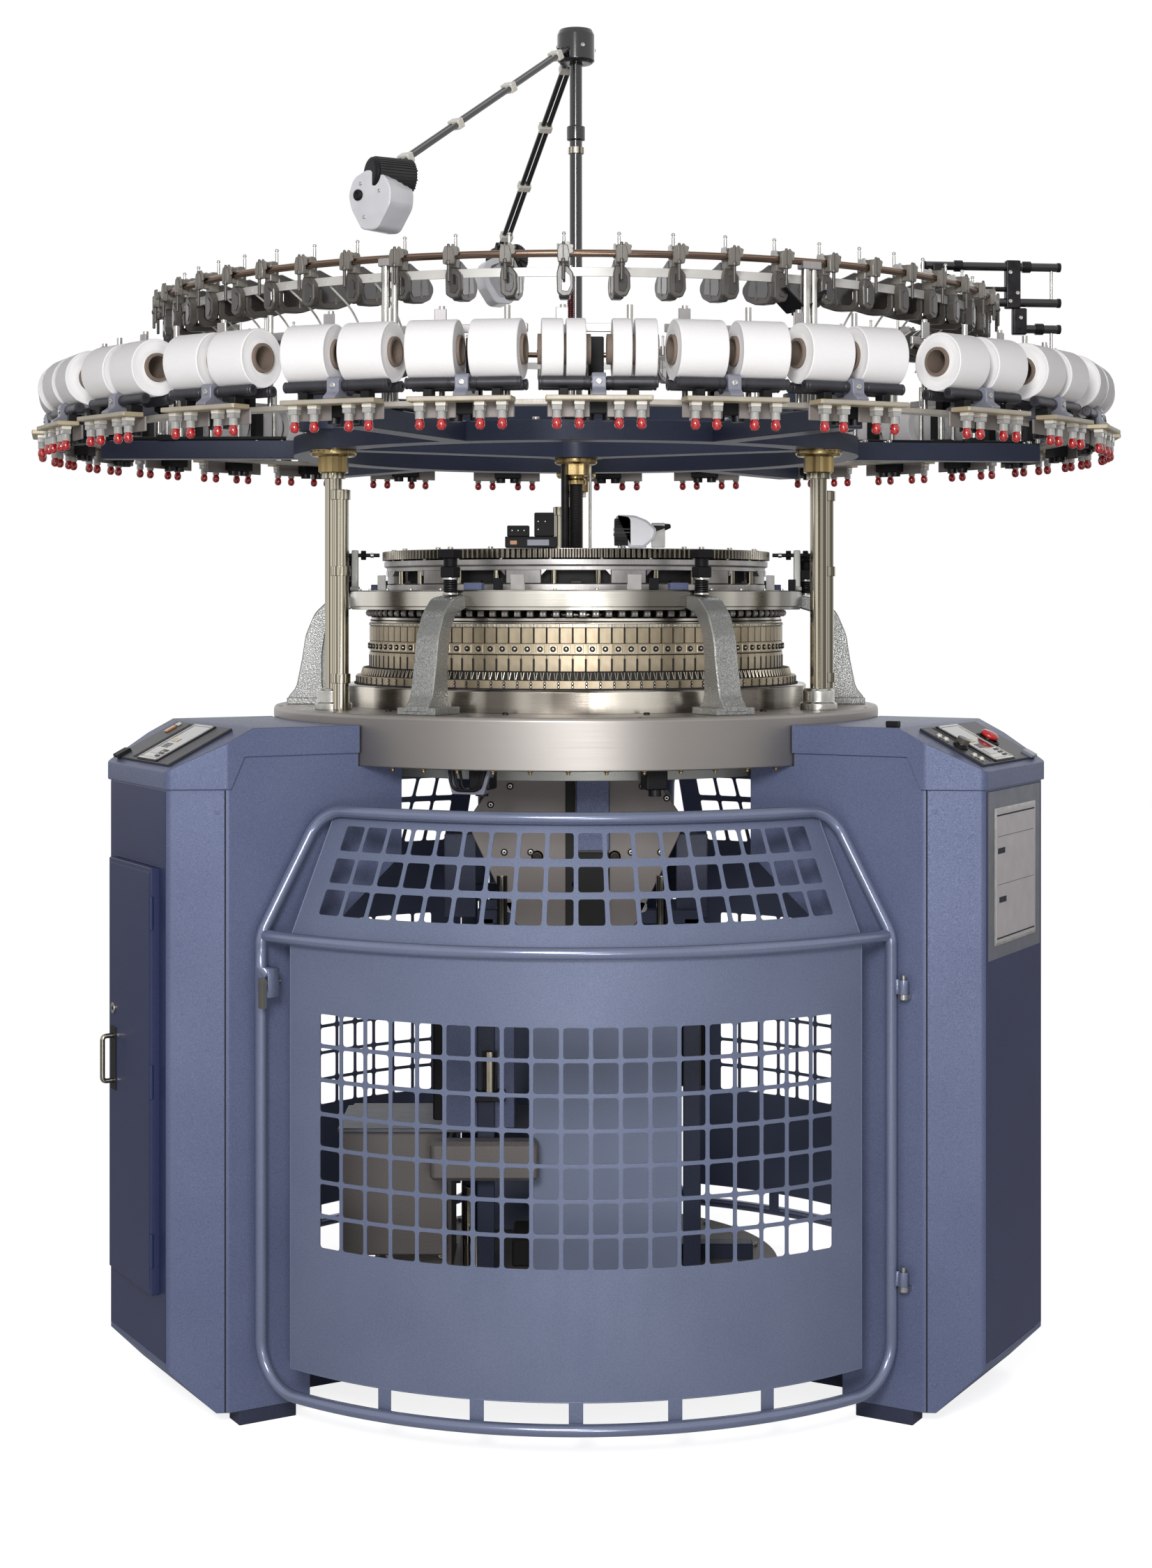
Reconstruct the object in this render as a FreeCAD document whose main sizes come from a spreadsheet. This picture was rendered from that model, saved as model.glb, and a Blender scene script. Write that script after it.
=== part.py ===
import FreeCAD, Part
import math
import os
import re

import Sketcher
from FreeCAD import Placement, Rotation, Vector

# Large-diameter circular knitting machine. Millimetres, +Z up, +Y away from the operator,
# origin on the floor under the machine's axis. Legs stand at 90, 210 and 330 degrees and
# the three guard gates are centred between them at 30, 150 and 270 degrees.

doc = FreeCAD.newDocument("circular_knitting_machine")
dims = doc.addObject("Spreadsheet::Sheet", "dims")

SIZES = [
    # overall sizes
    ("cylinder_radius", "432"), ("bed_margin", "281.5"), ("bed_top", "1487"),
    ("bed_thick", "112"), ("creel_reach", "476.5"), ("frame_rise", "583"),
    ("total_rise", "1583"), ("bed_radius", "=cylinder_radius + bed_margin"),
    ("creel_radius", "=bed_radius + creel_reach"),
    # fits
    ("running_fit", "0.05"), ("seat_gap", "0.05"), ("face_gap", "0.3"), ("skin_gap", "3"),
    # legs and caps
    ("foot_height", "32"), ("leg_half_side", "235"), ("leg_half_end", "180"),
    ("leg_inner", "=bed_radius - 140"), ("leg_corner", "=bed_radius + 261"),
    ("leg_outer", "=bed_radius + 376"), ("leg_round", "14"), ("toe_kick", "92"),
    ("cap_lip", "6"), ("panel_low", "134"), ("panel_high", "961"),
    ("bed_bottom", "=bed_top - bed_thick"), ("panel_top", "=bed_bottom + 28"),
    ("cap_low", "=bed_bottom - 39"), ("cap_top", "=bed_bottom + 89"),
    ("slope_start", "=bed_radius + 207"),
    ("door_width", "270"), ("door_height", "900"), ("door_low", "270"), ("door_thick", "18"),
    # rings on the bed
    ("bed_bore", "=cylinder_radius + 68"), ("base_ring_radius", "=cylinder_radius + 113"),
    ("base_ring_height", "51"), ("ledge_radius", "=cylinder_radius + 89"),
    ("ledge_height", "38"), ("cam_radius", "=cylinder_radius + 58"),
    ("cam_height", "105"), ("cam_base", "=bed_top + base_ring_height + ledge_height"),
    ("cam_top", "=cam_base + cam_height"), ("cam_count", "108"),
    ("feeder_radius", "=cylinder_radius + 103"), ("feeder_low", "=cam_top + 30"),
    ("feeder_height", "44"), ("feeder_top", "=feeder_low + feeder_height"),
    # dial, gears and drive shaft
    ("tooth_module", "4"), ("gear_margin", "24"), ("pinion_size", "108"),
    ("gear_teeth", "=2 * round((cylinder_radius + gear_margin) / tooth_module)"),
    ("pinion_teeth", "=2 * round(pinion_size / tooth_module)"),
    ("main_teeth", "=gear_teeth / 2"), ("main_pinion_teeth", "=pinion_teeth / 2"),
    ("main_module", "=gear_teeth * tooth_module / main_teeth"),
    ("gear_pitch", "=gear_teeth * tooth_module / 2"),
    ("pinion_pitch", "=pinion_teeth * tooth_module / 2"), ("tooth_tip", "0.85"),
    ("gear_low", "=feeder_top + 71"), ("gear_height", "20"),
    ("main_gear_low", "=bed_bottom + 16"), ("main_gear_height", "40"),
    ("shaft_radius", "14"), ("shaft_angle", "75"),
    ("shaft_distance", "=(gear_teeth + pinion_teeth) * tooth_module / 2"),
    ("journal_radius", "=cylinder_radius + 13"), ("dial_shaft_radius", "55"),
    ("spindle_radius", "14.5"),
    # columns and top frame
    ("column_circle", "=bed_radius - 83.5"), ("column_radius", "19"),
    ("frame_low", "=bed_top + frame_rise"), ("frame_thick", "43"),
    ("deck", "=frame_low + frame_thick"),
    ("frame_inner", "=column_circle - 38"), ("frame_outer", "=column_circle + 38"),
    ("boss_radius", "80"), ("boss_height", "83"),
    # creel
    ("bobbin_radius", "58.5"), ("bobbin_start", "14"), ("bobbin_length", "94"),
    ("core_radius", "29"), ("core_bore", "23"), ("core_start", "8"), ("core_length", "106"),
    ("roller_radius", "11"), ("roller_half", "112"), ("roller_pin", "5"),
    ("roller_reach", "28"), ("roller_rise", "28"), ("clip_half", "13"),
    ("creel_inner", "=creel_radius - 60"), ("creel_outer", "=creel_radius - 20"),
    ("lamp_circle", "=creel_radius + 50"),
    ("guide_circle", "=creel_radius - 215"), ("guide_rise", "304"), ("post_radius", "9"),
    # mast and blowers
    ("mast_radius", "15"), ("mast_top", "=bed_top + total_rise"),
    ("blower_circle", "=cylinder_radius + 286"), ("blower_drop", "460"),
    # gates
    ("gate_circle", "=bed_radius + 226.5"), ("gate_tube", "12.5"), ("gate_low", "82"),
    ("gate_shoulder", "=bed_bottom - 345"), ("gate_top", "=bed_bottom - 88"),
    ("gate_top_circle", "=gate_circle - 130"), ("gate_side", "=leg_half_side + 20"),
    ("hinge_radius", "=bed_radius + 224.5"), ("pin_radius", "5"),
    ("window_pitch", "59.6"), ("window_rise", "70"), ("window_bar", "8"),
    ("window_low", "=gate_low + 316"), ("tab_half", "14.5"), ("skirt", "50"),
    # take-down unit that turns under the bed
    ("rotor_radius", "=cylinder_radius + 68"), ("turntable_low", "150"),
    ("plate_apart", "=cylinder_radius + 88"), ("plate_half", "=rotor_radius * 0.66"),
    ("takedown_drum", "42"), ("roller_journal", "15"),
]
for row, (alias, value) in enumerate(SIZES, start=1):
    dims.set("A%d" % row, alias)
    dims.set("B%d" % row, value)
    dims.setAlias("B%d" % row, alias)
doc.recompute()

MATH_WORDS = {"sin", "cos", "tan", "sqrt", "deg", "mm"}
NODES = []


def linked(expression):
    """Write an expression over the sheet's words as one that other objects can hold."""
    return re.sub(r"[A-Za-z_]+", lambda w: w.group() if w.group() in MATH_WORDS
                  else "dims." + w.group(), expression)


def size(expression):
    """Current value of an expression over the sheet's words."""
    return float(dims.evalExpression(str(expression)))


def bind(item, prop, expression, unit="mm"):
    item.setExpression(prop, "(%s) * 1 %s" % (linked(str(expression)), unit))


def node(item, name):
    """Name a finished object as one of the machine's pieces."""
    item.Label = name
    NODES.append(item)
    return item


def turn_z(angle, distance=0.0, height=0.0):
    """Placement that carries +X to the given angle and a point out along it."""
    rad = math.radians(angle)
    return Placement(Vector(distance * math.cos(rad), distance * math.sin(rad), height),
                     Rotation(Vector(0, 0, 1), angle))


def origin_plane(body, role):
    return [o for o in body.Origin.OriginFeatures if o.Role == role][0]


def body_of(name, several=False):
    body = doc.addObject("PartDesign::Body", name)
    if hasattr(body, "AllowCompound"):
        body.AllowCompound = several
    return body


def pin_point(sketch, index, corner, place):
    """Hold one vertex of a sketch at signed distances from the origin."""
    for axis, kind, expression in ((-2, "DistanceX", place[0]), (-1, "DistanceY", place[1])):
        if str(expression) == "0":
            sketch.addConstraint(Sketcher.Constraint("PointOnObject", index, corner, axis))
            continue
        value = size(expression)
        number = sketch.addConstraint(Sketcher.Constraint(kind, -1, 1, index, corner, value))
        bind(sketch, "Constraints[%d]" % number, expression)


def flat_sketch(body, plane, outlines=(), circles=(), lift=None, swing=0.0):
    """Sketch on an origin plane, lifted off it or swung about its upright axis.

    Outlines are closed lists of points and circles are (x, y, radius).
    """
    sketch = body.newObject("Sketcher::SketchObject", body.Name + "_sketch")
    sketch.AttachmentSupport = [(origin_plane(body, plane), "")]
    sketch.MapMode = "FlatFace"
    if swing:
        sketch.AttachmentOffset = Placement(Vector(), Rotation(Vector(0, 1, 0), swing))
    if lift is not None:
        bind(sketch, ".AttachmentOffset.Base.z", lift)
    for outline in outlines:
        first = sketch.GeometryCount
        points = [Vector(size(x), size(y), 0) for x, y in outline]
        count = len(points)
        for i in range(count):
            sketch.addGeometry(Part.LineSegment(points[i], points[(i + 1) % count]))
        for i in range(count):
            sketch.addConstraint(Sketcher.Constraint(
                "Coincident", first + i, 2, first + (i + 1) % count, 1))
        for i in range(count):
            pin_point(sketch, first + i, 1, outline[i])
    for x, y, radius in circles:
        index = sketch.addGeometry(Part.Circle(
            Vector(size(x), size(y), 0), Vector(0, 0, 1), size(radius)))
        pin_point(sketch, index, 3, (x, y))
        number = sketch.addConstraint(Sketcher.Constraint("Radius", index, size(radius)))
        bind(sketch, "Constraints[%d]" % number, radius)
    doc.recompute()
    return sketch


def both_ways(feature):
    if hasattr(feature, "SideType"):
        feature.SideType = "Symmetric"
    else:
        feature.Midplane = True


def extrude(body, kind, sketch, length, symmetric=False, reverse=False):
    """Pad or Pocket of a sketch; reverse turns it the other way."""
    feature = body.newObject("PartDesign::" + kind, body.Name + "_" + kind.lower())
    feature.Profile = sketch
    bind(feature, "Length", length)
    if symmetric:
        both_ways(feature)
    feature.Reversed = reverse
    sketch.Visibility = False
    body.Tip = feature
    doc.recompute()
    return feature


def revolve(body, kind, sketch, angle=360.0):
    feature = body.newObject("PartDesign::" + kind, body.Name + "_" + kind.lower())
    feature.Profile = sketch
    feature.ReferenceAxis = (sketch, ["V_Axis"])
    feature.Angle = angle
    if angle < 360.0:
        both_ways(feature)
    sketch.Visibility = False
    body.Tip = feature
    doc.recompute()
    return feature


def pattern(body, feature, count, angle=360.0):
    """Repeat a feature round the machine's axis."""
    ring = body.newObject("PartDesign::PolarPattern", body.Name + "_pattern")
    ring.Originals = [feature]
    ring.Axis = (origin_plane(body, "Z_Axis"), [""])
    ring.Angle = angle
    ring.Occurrences = int(count)
    body.Tip = ring
    doc.recompute()
    return ring


def rounded(body, feature, radius, chosen, kind="Fillet"):
    """Round or chamfer the straight edges of a feature whose two ends pass a test."""
    names = ["Edge%d" % number for number, edge in enumerate(feature.Shape.Edges, start=1)
             if len(edge.Vertexes) == 2 and isinstance(edge.Curve, Part.Line)
             and chosen(edge.Vertexes[0].Point, edge.Vertexes[1].Point)]
    dressed = body.newObject("PartDesign::" + kind, body.Name + "_" + kind.lower())
    dressed.Base = (feature, names)
    bind(dressed, "Radius" if kind == "Fillet" else "Size", radius)
    feature.Visibility = False
    body.Tip = dressed
    doc.recompute()
    return dressed


def upright(low, high):
    """True for the two ends of a vertical edge."""
    return abs(low.x - high.x) < 0.01 and abs(low.y - high.y) < 0.01


def turned(name, profile, several=False):
    """Ring or disc turned about the axis from a profile of (radius, height)."""
    body = body_of(name, several)
    revolve(body, "Revolution", flat_sketch(body, "XZ_Plane", [profile]))
    return body


def rect(x_low, x_high, y_low, y_high):
    return [(x_low, y_low), (x_high, y_low), (x_high, y_high), (x_low, y_high)]


def box_item(name, low, spans, place=None):
    """Part box from its low corner and three spans, then turned about the axis."""
    item = doc.addObject("Part::Box", name)
    for prop, span in zip(("Length", "Width", "Height"), spans):
        bind(item, prop, span)
    corner = Vector(*[size(v) for v in low])
    item.Placement = (place or Placement()).multiply(Placement(corner, Rotation()))
    doc.recompute()
    return item


def rod_item(name, radius, length, place):
    item = doc.addObject("Part::Cylinder", name)
    bind(item, "Radius", radius)
    bind(item, "Height", length)
    item.Placement = place
    doc.recompute()
    return item


def joined(name, items):
    item = doc.addObject("Part::MultiFuse", name)
    item.Shapes = items
    doc.recompute()
    return item


def cut(name, base, tool):
    item = doc.addObject("Part::Cut", name)
    item.Base = base
    item.Tool = tool
    doc.recompute()
    return item


def gathered(name, shapes):
    """Separate repeats of one piece kept together as a group of solids."""
    item = doc.addObject("Part::Feature", name)
    item.Shape = Part.makeCompound([s for shape in shapes for s in shape.Solids])
    return item


def repeated(name, shape, places):
    return gathered(name, [shape.transformed(p.toMatrix(), True) for p in places])


def twin(name, source, angle):
    """Second body with the same form as the first, turned about the axis."""
    body = doc.addObject("PartDesign::Body", name)
    base = doc.addObject("PartDesign::FeatureBase", name + "_base")
    body.addObject(base)
    base.BaseFeature = source
    body.Tip = base
    body.Placement = turn_z(angle)
    doc.recompute()
    return body


def disc(point, way, radius):
    return Part.Face(Part.Wire([Part.Circle(point, way, radius).toShape()]))


def straight_tube(start, end, radius):
    """Round tube between two points."""
    return disc(start, end.sub(start), radius).extrude(end.sub(start))


def bent_tube(start, way_in, way_out, bend_radius, radius):
    """Round tube bent from one direction into another, starting at a point."""
    axis = way_in.cross(way_out)
    centre = start.add(axis.cross(way_in).normalize() * bend_radius)
    turn = math.degrees(way_in.getAngle(way_out))
    return disc(start, way_in, radius).revolve(centre, axis, turn)


def arc_tube(circle, radius, half_angle, height):
    """Tube bent level about the machine's axis, centred on +X."""
    ring = Part.makeTorus(circle, radius, Vector(), Vector(0, 0, 1), -180, 180, 2 * half_angle)
    return ring.transformed(turn_z(-half_angle, 0, height).toMatrix(), True)


LEG_ANGLES = {"front_left": 210.0, "front_right": 330.0, "rear": 90.0}
GATE_ANGLES = {"front": 270.0, "right": 30.0, "left": 150.0}

# ---------------------------------------------------------------- legs and their caps
PLAN = [("leg_inner", "-leg_half_side"), ("leg_corner", "-leg_half_side"),
        ("leg_outer", "-leg_half_end"), ("leg_outer", "leg_half_end"),
        ("leg_corner", "leg_half_side"), ("leg_inner", "leg_half_side")]
CAP_PLAN = [("leg_inner", "-leg_half_side - cap_lip"),
            ("leg_corner + cap_lip", "-leg_half_side - cap_lip"),
            ("leg_outer + cap_lip", "-leg_half_end - cap_lip"),
            ("leg_outer + cap_lip", "leg_half_end + cap_lip"),
            ("leg_corner + cap_lip", "leg_half_side + cap_lip"),
            ("leg_inner", "leg_half_side + cap_lip")]


def leg(name, with_door):
    """Cabinet leg in its own frame, +X pointing out from the machine's axis."""
    body = body_of(name)
    block = extrude(body, "Pad", flat_sketch(body, "XY_Plane", [PLAN], lift="foot_height"),
                    "panel_top - foot_height")
    rounded(body, block, "leg_round",
            lambda a, b: upright(a, b) and a.x > size("leg_corner") - 1)
    extrude(body, "Pocket", flat_sketch(body, "XY_Plane", circles=[("0", "0",
            "bed_radius + skin_gap")], lift="bed_bottom"), "200", reverse=True)
    step = [("leg_corner - 35", "panel_top + 20"), ("leg_corner - 35", "panel_top"),
            ("leg_corner - 5", "cap_low"), ("leg_outer + 30", "cap_low"),
            ("leg_outer + 30", "panel_top + 20")]
    toe = [("leg_outer - toe_kick", "foot_height - 10"), ("leg_outer - toe_kick", "foot_height"),
           ("leg_outer + 1", "foot_height + toe_kick + 1"), ("leg_outer + 1", "foot_height - 10")]
    extrude(body, "Pocket", flat_sketch(body, "XZ_Plane", [step, toe]),
            "4 * leg_half_side", symmetric=True)
    if with_door:
        cavity = rect("leg_outer - 300", "leg_outer + 10", "door_low", "door_low + door_height")
        extrude(body, "Pocket", flat_sketch(body, "XZ_Plane", [cavity]),
                "door_width", symmetric=True)
    else:
        recess = rect("leg_outer - 6", "leg_outer + 10", "panel_low", "panel_high")
        extrude(body, "Pocket", flat_sketch(body, "XZ_Plane", [recess]),
                "door_width", symmetric=True)
    return body


def cap(name):
    """Sloped top cover that carries a console, notched round the bed plate."""
    body = body_of(name)
    block = extrude(body, "Pad", flat_sketch(body, "XY_Plane", [CAP_PLAN], lift="cap_low"),
                    "cap_top - cap_low")
    rounded(body, block, "leg_round + cap_lip",
            lambda a, b: upright(a, b) and a.x > size("leg_corner") - 1)
    slope = [("slope_start", "cap_top"), ("leg_outer + cap_lip", "bed_bottom"),
             ("leg_outer + 60", "bed_bottom"), ("leg_outer + 60", "cap_top + 30"),
             ("slope_start", "cap_top + 30")]
    under = [("leg_inner - 20", "cap_low - 20"), ("leg_corner - 5", "cap_low - 20"),
             ("leg_corner - 5", "cap_low"), ("leg_corner - 35", "panel_top"),
             ("leg_inner - 20", "panel_top")]
    extrude(body, "Pocket", flat_sketch(body, "XZ_Plane", [slope, under]),
            "4 * leg_half_side", symmetric=True)
    extrude(body, "Pocket", flat_sketch(body, "XY_Plane", circles=[("0", "0",
            "bed_radius + skin_gap")], lift="cap_low - 10"), "400", reverse=True)
    return body


node(leg("leg_front_left_body", True), "leg_front_left")
node(leg("leg_front_right_body", False), "leg_front_right")
node(twin("leg_rear_body", doc.getObject("leg_front_right_body"), 90), "leg_rear")
doc.getObject("leg_front_left_body").Placement = turn_z(210)
doc.getObject("leg_front_right_body").Placement = turn_z(330)
cap_source = cap("cap_front_left_body")
node(cap_source, "cap_front_left")
node(twin("cap_front_right_body", cap_source, 330), "cap_front_right")
node(twin("cap_rear_body", cap_source, 90), "cap_rear")
cap_source.Placement = turn_z(210)
doc.recompute()

# levelling feet: two blocks under every leg, each with an anchor hole
foot = body_of("foot_body", True)
feet_plan = [rect("leg_corner - 155", "leg_corner - 25", "leg_half_side - 60", "leg_half_side - 4"),
             rect("leg_corner - 155", "leg_corner - 25", "4 - leg_half_side",
                  "60 - leg_half_side")]
foot_pad = extrude(foot, "Pad", flat_sketch(foot, "XY_Plane", feet_plan), "foot_height")

# anchor block under the inner end of every leg, with the floor anchor hole
anchor = body_of("anchor_body")
extrude(anchor, "Pad", flat_sketch(anchor, "XY_Plane", [rect(
    "leg_inner + 30", "leg_inner + 190", "-80", "80")]), "foot_height")
extrude(anchor, "Pocket", flat_sketch(anchor, "XY_Plane", circles=[(
    "leg_inner + 110", "0", "11")]), "foot_height", reverse=True)
node(gathered("levelling_feet", [shape.transformed(turn_z(a).toMatrix(), True)
                                 for a in LEG_ANGLES.values()
                                 for shape in (foot.Shape, anchor.Shape)]), "levelling_feet")

# cabinet door on the left leg, its pull handle and the console plates
door_place = turn_z(210)
door = box_item("door_box", ("leg_outer - 6", "1 - door_width / 2", "door_low + 1"),
                ("door_thick + 6", "door_width - 2", "door_height - 2"), door_place)
handle_bar = rod_item("handle_bar", "6", "108", door_place.multiply(Placement(
    Vector(size("leg_outer + door_thick + 26"), size("35 - door_width / 2"), size("door_low + 409")),
    Rotation())))
grips = [rod_item("handle_leg", "5", "26", door_place.multiply(Placement(
    Vector(size("leg_outer + door_thick"), size("35 - door_width / 2"),
           size("door_low + %d" % z)), Rotation(Vector(0, 1, 0), 90)))) for z in (421, 505)]
node(joined("cabinet_door_joined", [door, handle_bar] + grips), "cabinet_door")


def slope_place(angle, along, across, lift=0.0):
    """Placement on a cap's slope: +Z off the face, +X down the slope."""
    run = size("leg_outer + cap_lip - slope_start")
    fall = size("cap_top - bed_bottom")
    tilt = math.degrees(math.atan2(fall, run))
    start = Vector(size("slope_start"), 0, size("cap_top"))
    tilted = Placement(start, Rotation(Vector(0, 1, 0), tilt))
    return turn_z(angle).multiply(tilted).multiply(Placement(
        Vector(along, across, lift), Rotation()))


def console(name, angle, strip_edge):
    """Framed console plate with a raised display that runs down the slope."""
    place = slope_place(angle, 0, 0)
    plate = box_item(name + "_plate", ("18", "-165", "0"), ("160", "330", "6"), place)
    display = box_item(name + "_display", ("26", strip_edge, "6"), ("148", "112", "5"), place)
    return joined(name, [plate, display])


left_console = console("console_left", 210, "-26")
right_console = console("console_right_blank", 330, "-86")
button_spots = {"stop": (95.0, 56.0), "knob": (104.0, -128.0)}
holes = [rod_item("console_hole", "8 + running_fit", "30", slope_place(330, a, b, -8))
         for a, b in button_spots.values()]
right_console = cut("console_right", right_console, joined("console_holes", holes))
node(gathered("console_plates", [left_console.Shape, right_console.Shape]), "console_plates")


# blind holes under the console's stop and knob in the right cap
wells = [rod_item("cap_well", "14", "30", slope_place(330, a, b, -26))
         for a, b in button_spots.values()]
right_cap = NODES.pop([n.Label for n in NODES].index("cap_front_right"))
right_cap.Label = "cap_front_right_blank"
node(cut("cap_front_right_cut", right_cap, joined("cap_wells", wells)), "cap_front_right")


def button(name, spot, head_radius, head_height):
    """Round control: stem through the console with a head above it."""
    along, across = button_spots[spot]
    stem = rod_item(name + "_stem", "8", "26", slope_place(330, along, across, -12))
    head = rod_item(name + "_head", head_radius, head_height,
                    slope_place(330, along, across, 13.5))
    return joined(name, [stem, head])


node(button("emergency_stop", "stop", "20", "14"), "emergency_stop")
node(button("selector_knob", "knob", "14", "16"), "selector_knob")

# ---------------------------------------------------------------- bed and fixed rings
bed = turned("bed_blank", [("bed_bore", "bed_bottom"), ("bed_radius - 8", "bed_bottom"),
                           ("bed_radius", "bed_bottom + 8"), ("bed_radius", "bed_top - 6"),
                           ("bed_radius - 6", "bed_top"), ("bed_bore", "bed_top")])
extrude(bed, "Pocket", flat_sketch(bed, "XY_Plane", circles=[(
    "shaft_distance * cos(shaft_angle * 1 deg)", "shaft_distance * sin(shaft_angle * 1 deg)",
    "pinion_teeth * tooth_module / 2 + 14")], lift="bed_bottom - 1"),
    "main_gear_height + 26", reverse=True)
extrude(bed, "Pocket", flat_sketch(bed, "XY_Plane", circles=[(
    "shaft_distance * cos(shaft_angle * 1 deg)", "shaft_distance * sin(shaft_angle * 1 deg)",
    "shaft_radius + running_fit")], lift="bed_bottom"), "bed_thick + 5", reverse=True)
node(bed, "bed_plate")
node(turned("bearing_ring", [("journal_radius + running_fit", "bed_bottom - 30"),
                             ("bed_bore + 70", "bed_bottom - 30"), ("bed_bore + 70", "bed_bottom"),
                             ("journal_radius + running_fit", "bed_bottom")]), "bearing_ring")
node(turned("base_ring", [("bed_bore - 30", "bed_top"), ("base_ring_radius - 4", "bed_top"),
                          ("base_ring_radius", "bed_top + 4"),
                          ("base_ring_radius", "bed_top + base_ring_height - 3"),
                          ("base_ring_radius - 3", "bed_top + base_ring_height"),
                          ("ledge_radius", "bed_top + base_ring_height"),
                          ("ledge_radius", "cam_base - 14"),
                          ("ledge_radius - 7", "cam_base - 12"),
                          ("ledge_radius - 7", "cam_base"), ("cylinder_radius + 18", "cam_base"),
                          ("cylinder_radius + 18", "bed_top + base_ring_height"),
                          ("bed_bore - 30", "bed_top + base_ring_height - 10")]),
     "base_ring")
cams = turned("cam_ring", [("cylinder_radius + 4", "cam_base"), ("cam_radius", "cam_base"),
                           ("cam_radius", "cam_base + 38"), ("cam_radius - 5", "cam_base + 40"),
                           ("cam_radius - 5", "cam_base + 58"), ("cam_radius", "cam_base + 60"),
                           ("cam_radius", "cam_top - 3"), ("cam_radius - 3", "cam_top"),
                           ("cylinder_radius + 4", "cam_top")])
slot = extrude(cams, "Pocket", flat_sketch(cams, "XY_Plane", [rect(
    "cam_radius - 8", "cam_radius + 5", "-1.2", "1.2")], lift="cam_base - 1"),
    "cam_height + 2", reverse=True)
pattern(cams, slot, size("cam_count"))
node(cams, "cam_ring")
feeder_band = turned("feeder_band", rect("cylinder_radius + 14", "cam_radius - 4", "cam_top",
                                         "cam_top + 15"))
feeder = box_item("feeder_block", ("cylinder_radius + 20", "-8.5", "cam_top + 15"),
                  ("46", "17", "feeder_low - cam_top - 15"))
step = 360.0 / size("cam_count")
feeder_row = repeated("feeder_row", feeder.Shape, [turn_z((i + 0.5) * step)
                                                   for i in range(int(size("cam_count")))])
node(joined("yarn_feeders_joined", [feeder_band, feeder_row]), "yarn_feeders")
node(turned("feeder_ring", [("cylinder_radius - 7", "feeder_low"),
                            ("feeder_radius - 3", "feeder_low"),
                            ("feeder_radius - 3", "feeder_low + 7"),
                            ("feeder_radius", "feeder_low + 9"),
                            ("feeder_radius", "feeder_top - 3"),
                            ("feeder_radius - 3", "feeder_top"),
                            ("cylinder_radius - 7", "feeder_top")]), "feeder_ring")

# cast brackets that carry the feeder ring off the bed
bracket = body_of("bracket_body")
arm = [("base_ring_radius + 40", "bed_top"), ("base_ring_radius + 138", "bed_top"),
       ("base_ring_radius + 138", "bed_top + 16"), ("base_ring_radius + 118", "bed_top + 40"),
       ("base_ring_radius + 104", "bed_top + 110"), ("base_ring_radius + 96", "feeder_low - 60"),
       ("base_ring_radius + 74", "feeder_low - 8"), ("base_ring_radius + 38", "feeder_low + 26"),
       ("feeder_radius - 20", "feeder_low + 36"), ("feeder_radius - 20", "feeder_low + 8"),
       ("base_ring_radius + 24", "feeder_low - 8"), ("base_ring_radius + 48", "feeder_low - 50"),
       ("base_ring_radius + 56", "bed_top + 120"), ("base_ring_radius + 56", "bed_top + 40"),
       ("base_ring_radius + 40", "bed_top + 16")]
arm_pad = extrude(bracket, "Pad", flat_sketch(bracket, "XZ_Plane", [arm]), "64", symmetric=True)
rounded(bracket, arm_pad, "16", lambda a, b: abs(a.y - b.y) > 60
        and size("bed_top + 30") < a.z < size("feeder_low + 30")
        and a.x > size("feeder_radius + 10"))
foot_block = rect("base_ring_radius + 40", "base_ring_radius + 138", "-49", "49")
extrude(bracket, "Pad", flat_sketch(bracket, "XY_Plane", [foot_block], lift="bed_top"), "16")
extrude(bracket, "Pocket", flat_sketch(bracket, "XY_Plane", circles=[(
    "0", "0", "feeder_radius + seat_gap")], lift="feeder_low - 30"), "100", reverse=True)
bracket_angles = [60.0 * i for i in range(6)]
spring = rod_item("bracket_spring", "8", "34", Placement(
    Vector(size("base_ring_radius + 56"), 0, size("feeder_low - 4")), Rotation()))
bracket_with_screw = joined("bracket_with_screw", [bracket, spring])
node(repeated("ring_brackets", bracket_with_screw.Shape, [turn_z(a) for a in bracket_angles]),
     "ring_brackets")

# ---------------------------------------------------------------- gears and drive shaft


def toothed(name, profile, pitch, teeth, module, low, height):
    """Turned blank with straight-flanked teeth; one tooth gap is centred on +X."""
    body = turned(name, profile)
    gap = [("%s + 1.3 * %s" % (pitch, module), "1.346 * %s" % module),
           ("%s - 1.25 * %s" % (pitch, module), "0.418 * %s" % module),
           ("%s - 1.25 * %s" % (pitch, module), "-0.418 * %s" % module),
           ("%s + 1.3 * %s" % (pitch, module), "-1.346 * %s" % module)]
    feature = extrude(body, "Pocket", flat_sketch(body, "XY_Plane", [gap], lift="%s - 1" % low),
                      "%s + 2" % height, reverse=True)
    pattern(body, feature, size(teeth))
    return body


shaft_x = "shaft_distance * cos(shaft_angle * 1 deg)"
shaft_y = "shaft_distance * sin(shaft_angle * 1 deg)"


def on_shaft(teeth):
    """Placement of a pinion with one tooth pointing at the machine's axis."""
    spin = size("shaft_angle") + 180.0 + 180.0 / size(teeth)
    return Placement(Vector(size(shaft_x), size(shaft_y), 0), Rotation(Vector(0, 0, 1), spin))


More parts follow.
